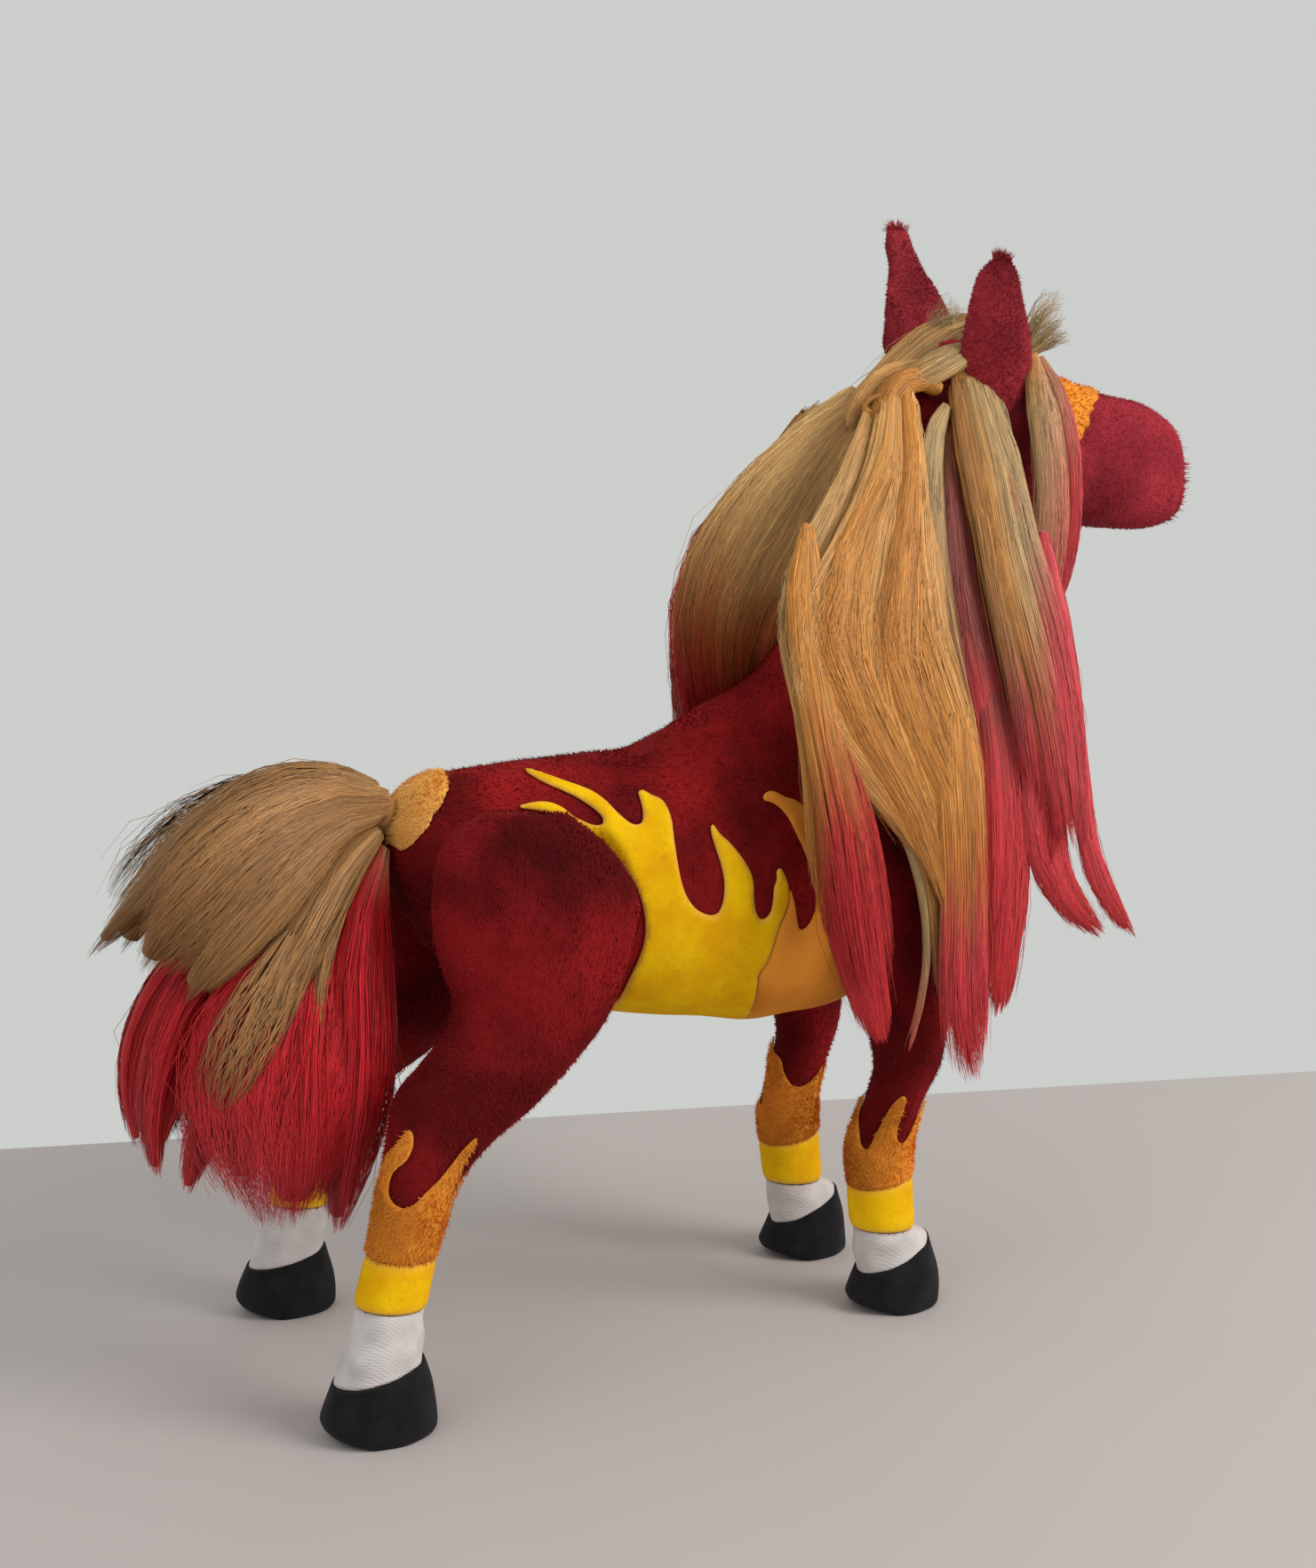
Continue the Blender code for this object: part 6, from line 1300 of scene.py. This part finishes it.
MANE_STOPS = {  # a share of the way, then the left and right edges' colours in the photograph's view
    "back_gold": [(0.0, BLONDE), (0.35, STRAW, BLONDE), (0.70, GOLD), (0.82, AMBER, ORANGE), (1.0, RED)],
    "back_red": [(0.0, AMBER), (0.12, ORANGE, RED), (0.3, RED), (1.0, RED)],
    "gold_left": [(0.0, BLONDE), (0.4, BLONDE, GOLD), (0.75, GOLD), (0.9, STRAW, GOLD), (1.0, BROWN)],
    "gold_right": [(0.0, BLONDE), (0.30, GOLD), (0.50, GOLD, AMBER), (0.58, BROWN, ORANGE), (0.64, BROWN, RED),
        (0.72, RED), (1.0, RED)],
    "gold_edge": [(0.0, BLONDE), (0.4, GOLD), (0.68, AMBER), (0.82, ORANGE, RED), (1.0, RED)],
    "pale_lock": [(0.0, STRAW), (0.2, PALE), (0.7, PALE, BROWN), (1.0, PAINTED_SHADE_RED)],
    "dark_strands": [(0.0, BROWN), (0.10, PAINTED_SHADE_RED), (0.45, PAINTED_SHADE_RED), (0.65, RED, PINK), (1.0, RED)],
    "brown_lock": [(0.0, GOLD), (0.3, GOLD, BROWN), (0.62, BROWN), (0.74, PAINTED_SHADE_RED, PINK), (0.85, PINK),
        (1.0, RED)],
    "straw_lock": [(0.0, GOLD, STRAW), (0.10, GOLD, PALE), (0.36, BROWN, PALE), (0.46, BROWN, PINK),
        (0.56, PAINTED_SHADE_RED, PINK), (0.72, PINK), (1.0, RED)],
    "pink_in": [(0.0, BROWN), (0.2, PAINTED_SHADE_RED, PINK), (0.45, PINK), (1.0, RED)],
    "pink_out": [(0.0, PINK), (0.7, PINK), (1.0, RED)],
    "red_column": [(0.0, PAINTED_SHADE_RED), (0.25, RED, PINK), (1.0, RED)],
    "thin_ends": [(0.0, GOLD), (0.4, BROWN), (1.0, PAINTED_SHADE_RED)],
    "pale_strand": [(0.0, STRAW), (0.6, PALE), (1.0, PINK)],
    "outer_swath": [(0.0, PAINTED_LIT_BLONDE), (0.30, PAINTED_LIT_BLONDE), (0.42, ORANGE, GOLD), (0.52, RED, ORANGE), (0.62, RED),
        (1.0, DEEP_RED)],
    "middle_swath": [(0.0, PAINTED_LIT_BLONDE), (0.36, PAINTED_LIT_BLONDE, BLONDE), (0.50, ORANGE, AMBER), (0.62, RED, ORANGE),
        (1.0, DEEP_RED)],
    "inner_swath": [(0.0, BLONDE), (0.3, GOLD), (0.5, AMBER), (0.66, ORANGE), (0.8, DEEP_RED), (1.0, DEEP_RED)],
    "curl": [(0.0, BROWN), (1.0, GOLD)],
    "poll_band": [(0.0, STRAW), (0.5, BLONDE, STRAW), (1.0, BLONDE)],
    "poll_low": [(0.0, STRAW), (0.5, STRAW), (1.0, GOLD)],
    "gather_left": [(0.0, BLONDE), (0.5, BLONDE, GOLD), (1.0, BLONDE)],
    "gather_turn": [(0.0, GOLD), (0.5, AMBER, GOLD), (1.0, GOLD)],
    "gold_a": [(0.0, BLONDE), (0.35, BLONDE), (0.7, BLONDE, GOLD), (1.0, GOLD)],
    "gold_b": [(0.0, BLONDE), (0.3, GOLD), (0.6, AMBER, GOLD), (1.0, AMBER)],
    "gold_c": [(0.0, BLONDE), (0.3, BLONDE, GOLD), (0.7, GOLD), (1.0, BLONDE, GOLD)],
    "gold_d": [(0.0, GOLD), (0.35, AMBER, GOLD), (0.8, GOLD, AMBER), (1.0, AMBER)],
    "gold_e": [(0.0, BLONDE), (0.4, GOLD, BLONDE), (0.8, GOLD), (0.9, AMBER, ORANGE), (1.0, ORANGE, RED)],
    "back_veil": [(0.0, GOLD), (0.34, GOLD), (0.5, AMBER, ORANGE), (0.62, RED), (1.0, RED)],
    "column_veil": [(0.0, GOLD), (0.25, GOLD, AMBER), (0.42, AMBER, ORANGE), (0.58, PINK), (1.0, RED)],
    "face_a": [(0.0, BROWN), (0.35, BROWN, GOLD), (0.62, BROWN), (0.75, PAINTED_SHADE_RED, PINK), (1.0, RED)],
    "face_b": [(0.0, STRAW), (0.30, GOLD, PALE), (0.48, GOLD, PALE), (0.62, BROWN, PINK), (0.75, PINK),
        (1.0, RED)],
    "face_c": [(0.0, STRAW), (0.30, PALE), (0.40, PALE, PINK), (0.5, PINK), (1.0, PINK)],
    "swath_veil": [(0.0, PAINTED_LIT_BLONDE), (0.4, PAINTED_LIT_BLONDE), (0.55, BLONDE, PAINTED_LIT_BLONDE), (0.72, ORANGE, AMBER),
        (0.85, RED, ORANGE), (1.0, RED)],
}
BARE = ("gold_a", "gold_b", "gold_c", "gold_d", "gold_e", "face_a", "face_b", "face_c", "back_veil",
    "column_veil", "pale_strand", "thin_ends", "curl", "swath_veil", "fan_veil", "mass_veil", "wisps",
    "loose_lock", "loose_strand")
for name, table, picked, facing, count, node_name, slot in (
    ("mane_right_back", MANE_RIGHT, ("back_gold", "back_red", "gold_left"), (0, -1, 0), 2700, "mane_right",
        "hair_blonde"),
    ("mane_right_middle", MANE_RIGHT, ("gold_right", "gold_edge", "thin_ends", "pale_strand"), (0, -1, 0),
        2700, "mane_right", "hair_blonde"),
    ("mane_right_face", MANE_RIGHT, ("pale_lock", "dark_strands", "brown_lock", "red_column"), (0, -1, 0),
        3000, "mane_right", "hair_blonde"),
    ("mane_right_front", MANE_RIGHT, ("straw_lock", "pink_in", "pink_out"), (0, -1, 0), 2800, "mane_right",
        "hair_blonde"),
    ("mane_right_veil", MANE_RIGHT, ("gold_a", "gold_b", "gold_c", "gold_d", "gold_e", "face_a", "face_b",
        "face_c", "back_veil", "column_veil"), (0, -1, 0), 3600, "mane_right", "hair_blonde"),
    ("mane_left_swath", MANE_LEFT, ("outer_swath", "middle_swath", "inner_swath", "swath_veil"), (0, -1, 0),
        3000, "mane_left", "hair_red"),
    ("mane_left_falls", MANE_LEFT, ("fall_a", "fall_b", "fall_c", "fall_d"), (0, 1, 0), 1700, "mane_left",
        "hair_red"),
    ("mane_gather", GATHER, ("poll_band", "poll_low", "gather_left", "gather_turn", "curl"), (0, -1, 0.6),
        2300, "mane_knot", "hair_blonde"),
):
    parts = []
    widths = [max(row[3] for row in table[key]) + 0.002 for key in picked]
    for k, key in enumerate(picked):
        strands = int(count * widths[k] / sum(widths))
        stops = MANE_STOPS.get(key, DYED if "fall" in key else [(0.0, BLONDE), (1.0, BLONDE)])
        parts.append(lock(table[key], stops, facing, strands, 71 + k, bare=key in BARE,
            stray=0.06 if key in BARE else 0.03, ragged=0.09 if "pink" in key or "veil" in key else 0.045))
    points, quads, tris, hue, streak, shade = together(parts)
    hair = piece(name, points, quads, tris, HAIR, "torso", slot, [node_name], shade, hair_colour=hue,
        streak_place=streak)
    del hair["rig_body"]
    hair.parent = None
    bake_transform(hair)

# The forelock: from the poll between the ears down the right cheek, peach with a pink edge, and
# a short brushed-up tuft on the poll.
FORELOCK = {
    "cheek_lock": [
        (0.151, -0.024, 0.4176, 0.0026, 0.002), (0.1486, -0.03, 0.4071, 0.0052, 0.0035),
        (0.1489, -0.035, 0.3924, 0.0078, 0.004), (0.1517, -0.037, 0.3728, 0.0088, 0.004),
        (0.1533, -0.038, 0.3513, 0.0098, 0.004), (0.1532, -0.038, 0.3296, 0.0107, 0.0035),
        (0.153, -0.038, 0.3158, 0.0071, 0.003), (0.1556, -0.038, 0.3044, 0.0022, 0.002),
    ],
    "cheek_pink": [
        (0.1565, -0.022, 0.4167, 0.0016, 0.002), (0.1571, -0.033, 0.4026, 0.0033, 0.003),
        (0.161, -0.037, 0.3843, 0.0041, 0.0035), (0.1631, -0.039, 0.3614, 0.004, 0.0035),
        (0.1626, -0.039, 0.3377, 0.0035, 0.0035), (0.1588, -0.039, 0.3198, 0.0033, 0.003),
        (0.1553, -0.039, 0.3067, 0.0017, 0.002),
    ],
}
TUFT = {
    "tuft": [
        (0.1193, -0.006, 0.4212, 0.008, 0.005), (0.1183, -0.006, 0.4282, 0.0096, 0.005),
        (0.1211, -0.006, 0.434, 0.0096, 0.004), (0.1278, -0.006, 0.4392, 0.0056, 0.002),
    ],
    "tuft_a": [
        (0.1555, -0.01, 0.4248, 0.002, 0.002), (0.1608, -0.012, 0.4353, 0.0037, 0.002),
        (0.1679, -0.013, 0.4441, 0.0049, 0.002), (0.175, -0.014, 0.4506, 0.0049, 0.002),
    ],
    "tuft_b": [
        (0.1551, -0.012, 0.4205, 0.0016, 0.002), (0.1606, -0.015, 0.4284, 0.0028, 0.002),
        (0.1662, -0.018, 0.4347, 0.004, 0.002), (0.1721, -0.02, 0.4389, 0.004, 0.002),
    ],
    "tuft_c": [
        (0.1546, -0.014, 0.4186, 0.0012, 0.001), (0.1612, -0.017, 0.4234, 0.002, 0.002),
        (0.167, -0.021, 0.4271, 0.0028, 0.002), (0.1726, -0.024, 0.4287, 0.0032, 0.002),
    ],
}
PEACH = (0.60, 0.300, 0.160)
parts = [
    lock(FORELOCK["cheek_lock"], [(0.0, GOLD, PEACH), (0.3, STRAW, PEACH), (0.7, PEACH, PINK),
        (1.0, PEACH, PINK)], (0, -1, 0), 1500, 91),
    lock(FORELOCK["cheek_pink"], [(0.0, PEACH), (0.25, PEACH, PINK), (0.5, PINK), (1.0, PINK)], (0, -1, 0),
        700, 92),
]
points, quads, tris, hue, streak, shade = together(parts)
piece("forelock_hair", points, quads, tris, HAIR, "head", "hair_blonde", ["forelock"], shade, hair_colour=hue,
    streak_place=streak)
parts = [lock(rows, [(0.0, STRAW), (1.0, PALE)], (0, -1, 0), 260 if key == "tuft" else 110, 94 + k, 0.00011, 6,
    True, 0.5, 0.2) for k, (key, rows) in enumerate(TUFT.items())]
points, quads, tris, hue, streak, shade = together(parts)
piece("poll_tuft", points, quads, tris, HAIR, "head", "hair_blonde", (), shade, hair_colour=hue,
    streak_place=streak)

# ---- Tail -----------------------------------------------------------------------------------
# Hair on a small stuffed core that stands out of the dock: a blonde fan brushed over the top,
# and a long red mass that hangs under it. Both sides are alike.

TAIL_TOP = {
    "upper_fan": [
        (-0.1484, 0.0, 0.2301, 0.0028, 0.006), (-0.1616, 0.0, 0.2347, 0.0042, 0.009),
        (-0.1755, 0.0, 0.2351, 0.0056, 0.012), (-0.1915, 0.0, 0.2314, 0.0069, 0.016),
        (-0.2081, 0.0, 0.221, 0.0082, 0.018), (-0.2238, 0.0, 0.207, 0.0081, 0.018),
        (-0.2375, 0.0, 0.1932, 0.006, 0.014), (-0.2504, 0.0, 0.1809, 0.003, 0.007),
        (-0.2616, 0.0, 0.1676, 0.001, 0.003),
    ],
    "side_fan": [
        (-0.1509, -0.006, 0.2256, 0.0031, 0.005), (-0.1668, -0.012, 0.2273, 0.0055, 0.007),
        (-0.182, -0.017, 0.2231, 0.0074, 0.008), (-0.1994, -0.021, 0.214, 0.0093, 0.009),
        (-0.2154, -0.024, 0.2018, 0.0099, 0.009), (-0.2281, -0.025, 0.1894, 0.0091, 0.009),
        (-0.2379, -0.025, 0.1779, 0.0071, 0.007), (-0.2449, -0.024, 0.1658, 0.0039, 0.004),
    ],
    "low_fan": [
        (-0.1516, -0.008, 0.2202, 0.0031, 0.005), (-0.1673, -0.016, 0.2173, 0.0062, 0.007),
        (-0.1831, -0.023, 0.2077, 0.0084, 0.008), (-0.1973, -0.028, 0.1946, 0.0093, 0.009),
        (-0.2107, -0.031, 0.1809, 0.0092, 0.009), (-0.2221, -0.032, 0.1687, 0.0072, 0.007),
        (-0.2311, -0.031, 0.1561, 0.0032, 0.004),
    ],
    "front_fan": [
        (-0.1516, -0.009, 0.2133, 0.0031, 0.005), (-0.1639, -0.018, 0.2036, 0.0055, 0.006),
        (-0.1759, -0.026, 0.1897, 0.0074, 0.007), (-0.1865, -0.032, 0.1754, 0.008, 0.008),
        (-0.1968, -0.035, 0.1612, 0.0066, 0.007), (-0.2064, -0.036, 0.1503, 0.0039, 0.004),
    ],
    "loose_lock": [
        (-0.1711, -0.024, 0.1994, 0.003, 0.003), (-0.1807, -0.031, 0.1839, 0.004, 0.004),
        (-0.188, -0.035, 0.1682, 0.004, 0.004), (-0.1941, -0.037, 0.154, 0.0036, 0.004),
        (-0.1991, -0.038, 0.1397, 0.0026, 0.003), (-0.203, -0.038, 0.1224, 0.001, 0.002),
    ],
    "loose_strand": [
        (-0.1663, -0.024, 0.1941, 0.002, 0.002), (-0.1754, -0.031, 0.1785, 0.0027, 0.003),
        (-0.1807, -0.035, 0.1627, 0.0023, 0.003), (-0.1828, -0.037, 0.1464, 0.002, 0.003),
        (-0.1829, -0.038, 0.1315, 0.0013, 0.002), (-0.1841, -0.038, 0.1191, 0.0007, 0.001),
    ],
    "fan_veil": [
        (-0.1457, -0.009, 0.2253, 0.0042, 0.002), (-0.1667, -0.018, 0.225, 0.0102, 0.003),
        (-0.1827, -0.026, 0.2194, 0.0154, 0.003), (-0.1993, -0.032, 0.2094, 0.0191, 0.004),
        (-0.2149, -0.035, 0.1961, 0.0201, 0.004), (-0.2295, -0.035, 0.1827, 0.0174, 0.004),
        (-0.2416, -0.031, 0.17, 0.0109, 0.003),
    ],
    "wisps": [
        (-0.1901, -0.036, 0.1802, 0.0033, 0.002), (-0.2002, -0.041, 0.1625, 0.0078, 0.002),
        (-0.2093, -0.043, 0.1466, 0.0097, 0.002), (-0.2173, -0.043, 0.131, 0.0077, 0.002),
        (-0.2223, -0.041, 0.116, 0.0032, 0.002),
    ],
}
TAIL_UNDER = {
    "front_column": [
        (-0.1488, -0.008, 0.2071, 0.0025, 0.005), (-0.1578, -0.016, 0.1892, 0.0076, 0.008),
        (-0.1633, -0.022, 0.1696, 0.0116, 0.011), (-0.165, -0.026, 0.1497, 0.0129, 0.013),
        (-0.1658, -0.028, 0.1294, 0.0129, 0.014), (-0.1678, -0.028, 0.1089, 0.0123, 0.014),
        (-0.1706, -0.027, 0.0899, 0.0095, 0.012), (-0.1723, -0.025, 0.0722, 0.0051, 0.008),
        (-0.1734, -0.023, 0.0589, 0.0017, 0.004),
    ],
    "middle_column": [
        (-0.159, -0.008, 0.197, 0.0042, 0.005), (-0.1727, -0.016, 0.1797, 0.0089, 0.009),
        (-0.1824, -0.023, 0.1608, 0.0128, 0.012), (-0.1871, -0.027, 0.1415, 0.0148, 0.014),
        (-0.1885, -0.029, 0.1216, 0.0154, 0.015), (-0.1888, -0.029, 0.1012, 0.0148, 0.014),
        (-0.1895, -0.028, 0.0839, 0.0115, 0.011), (-0.1899, -0.026, 0.0669, 0.0047, 0.005),
    ],
    "back_column": [
        (-0.1768, -0.008, 0.1893, 0.0048, 0.005), (-0.1928, -0.016, 0.1725, 0.0095, 0.008),
        (-0.2038, -0.022, 0.1556, 0.012, 0.011), (-0.2103, -0.026, 0.1367, 0.0126, 0.012),
        (-0.2114, -0.028, 0.1171, 0.0119, 0.012), (-0.2085, -0.027, 0.098, 0.01, 0.01),
        (-0.2051, -0.025, 0.08, 0.004, 0.005),
    ],
    "end_lock": [
        (-0.2058, -0.008, 0.1773, 0.0041, 0.005), (-0.2199, -0.014, 0.164, 0.007, 0.008),
        (-0.2301, -0.018, 0.1487, 0.0073, 0.009), (-0.2368, -0.021, 0.1332, 0.0066, 0.009),
        (-0.2405, -0.022, 0.1172, 0.0049, 0.008), (-0.2407, -0.022, 0.1022, 0.0033, 0.006),
        (-0.2389, -0.021, 0.0877, 0.0013, 0.003),
    ],
    "slant_tips": [
        (-0.2018, -0.024, 0.1456, 0.004, 0.004), (-0.2122, -0.028, 0.1306, 0.0059, 0.005),
        (-0.2207, -0.03, 0.1152, 0.0059, 0.005), (-0.2268, -0.03, 0.0993, 0.0046, 0.004),
        (-0.2308, -0.029, 0.0835, 0.0016, 0.002),
    ],
    "mass_veil": [
        (-0.1564, -0.014, 0.1976, 0.0048, 0.002), (-0.1717, -0.025, 0.174, 0.0142, 0.003),
        (-0.1844, -0.033, 0.1525, 0.0253, 0.004), (-0.1927, -0.038, 0.1307, 0.0317, 0.004),
        (-0.1972, -0.039, 0.108, 0.0277, 0.004), (-0.1976, -0.038, 0.0877, 0.0178, 0.003),
        (-0.1977, -0.033, 0.0666, 0.0067, 0.003),
    ],
}
DOCK = np.array([-0.14508, 0.0, 0.21992])
TAN_MINKY = minky("tan minky", (0.30, 0.140, 0.045, 1.0), (0.48, 0.240, 0.085, 1.0), (0.56, 0.300, 0.120, 1.0),
    0.2)
CORE = smooth([(-0.70, 0.71), (0.00, 1.00), (0.70, 0.90), (1.60, 0.80), (2.60, 0.72), (3.20, 0.45)], 40)
angle = np.linspace(0, 2 * math.pi, 40, endpoint=False)
middle = DOCK + np.stack([-CORE[:, 0], CORE[:, 0] * 0, np.maximum(CORE[:, 0], 0) * 0.12], axis=1) * 0.008
ring = np.stack([angle * 0, -np.sin(angle), np.cos(angle)], axis=1)
grid = middle[:, None] + ring[None] * CORE[:, 1, None, None] * 0.008
grid, poles = domed(grid, (0.001, 0, 0), (-0.002, 0, 0))
points, quads, tris = tube(grid, poles)
core = piece("tail_core_cloth", points, quads, tris, TAN_MINKY, "tail", "hair_blonde", ["tail_core"])

TAIL_SPREAD = 1.22
TAIL_BLONDE = (0.44, 0.220, 0.076)
TAIL_SHADE = (0.27, 0.115, 0.036)
TAIL_RED = (0.66, 0.008, 0.016)
TAIL_PINK = (0.58, 0.040, 0.050)
for name, table, stops, node_name, slot in (
    ("tail_fan", TAIL_TOP, [(0.0, TAIL_BLONDE), (0.7, TAIL_BLONDE), (1.0, TAIL_SHADE)], "tail_hair_top",
        "hair_blonde"),
    ("tail_mass", TAIL_UNDER, [(0.0, TAIL_SHADE), (0.10, TAIL_RED), (0.45, TAIL_RED),
        (0.75, TAIL_PINK, TAIL_RED), (1.0, TAIL_PINK)], "tail_hair_under", "hair_red"),
):
    for side, label in ((1, "right"), (-1, "left")):
        parts = []
        for k, (key, rows) in enumerate(table.items()):
            if side < 0 and key == "upper_fan":
                continue
            rows = np.array(rows) * (1, side, 1, 1, 1)
            rows[:, 3] *= TAIL_SPREAD
            strands = int(100 + (21500 if side > 0 else 13500) * rows[:, 3].max())
            paint = [(0.0, TAIL_BLONDE), (0.6, TAIL_BLONDE), (1.0, TAIL_SHADE)] if key in ("wisps",
                "loose_lock", "loose_strand") else stops
            loose = key in BARE
            thin = key in ("loose_lock", "loose_strand", "wisps")
            strands = strands // 3 if thin else strands
            parts.append(lock(rows, paint, (0, -side, 0), strands, 101 + k, bare=loose,
                stray=0.26 if thin else 0.12 if loose else 0.05, ragged=0.08))
        points, quads, tris, hue, streak, shade = together(parts)
        piece(f"{name}_{label}", points, quads, tris, HAIR, "tail", slot, [node_name], shade, hair_colour=hue,
            streak_place=streak)

# ---- Floor, lamps and camera --------------------------------------------------------------------
# A plain pale floor that ends where the photograph's wall stands, pale room light all round, a
# soft lamp from the right, and the photograph's view from behind the horse's right side.


def plain(name, colour):
    """Matt paint with a very faint unevenness."""
    material, shader = finish(name)
    dark = tuple(c * 0.96 for c in colour)
    cloud = noise(material, 3, 3).outputs[0]
    material.node_tree.links.new(mix(material, cloud, (*dark, 1), (*colour, 1)), shader.inputs["Base Color"])
    shader.inputs["Roughness"].default_value = 0.8
    return material


def board(name, corners, material):
    """A flat four-cornered face."""
    mesh = bpy.data.meshes.new(name)
    mesh.from_pydata([tuple(c) for c in corners], [], [(0, 1, 2, 3)])
    mesh.materials.append(material)
    made = bpy.data.objects.new(name, mesh)
    bpy.context.scene.collection.objects.link(made)
    return made


WALL_A, WALL_B = np.array([-0.2588, 0.3884, 0.0]), np.array([0.5740, 0.2091, 0.0])
line = (WALL_B - WALL_A) / np.linalg.norm(WALL_B - WALL_A)
near = np.array([line[1], -line[0], 0.0])
a, b = WALL_A - line * 2, WALL_B + line * 2
board("floor", [a, a + near * 3, b + near * 3, b], plain("floor paint", (0.54, 0.49, 0.475)))

YAW, PITCH = math.radians(25.4), math.radians(4.037)
camera = bpy.data.objects.new("camera", bpy.data.cameras.new("camera"))
bpy.context.scene.collection.objects.link(camera)
camera.location = (-0.35061, -0.68802, 0.28216)
camera.rotation_euler = (math.pi / 2 - PITCH, 0, -YAW)
camera.data.lens = 41.06
bpy.context.scene.camera = camera


def lamp(name, place, aim, size, watts, colour):
    """A square lamp at a place, turned to an aim."""
    made = bpy.data.objects.new(name, bpy.data.lights.new(name, "AREA"))
    made.data.size = size
    made.data.energy = watts
    made.data.color = colour
    made.location = place
    made.rotation_euler = (Vector(aim) - Vector(place)).to_track_quat("-Z", "Y").to_euler()
    bpy.context.scene.collection.objects.link(made)


lamp("window", (1.0, -1.2, 1.1), (0, 0, 0.2), 1.0, 21.0, (1.0, 0.97, 0.93))
lamp("room", (-1.5, -0.9, 1.3), (0, 0, 0.2), 1.4, 5, (0.95, 0.97, 1.0))
world = bpy.data.worlds.new("room light")
world.use_nodes = True
world.node_tree.nodes["Background"].inputs[0].default_value = (0.975, 1.0, 0.975, 1.0)
world.node_tree.nodes["Background"].inputs[1].default_value = 0.62
bpy.context.scene.world = world
bpy.context.scene.view_settings.view_transform = "Standard"
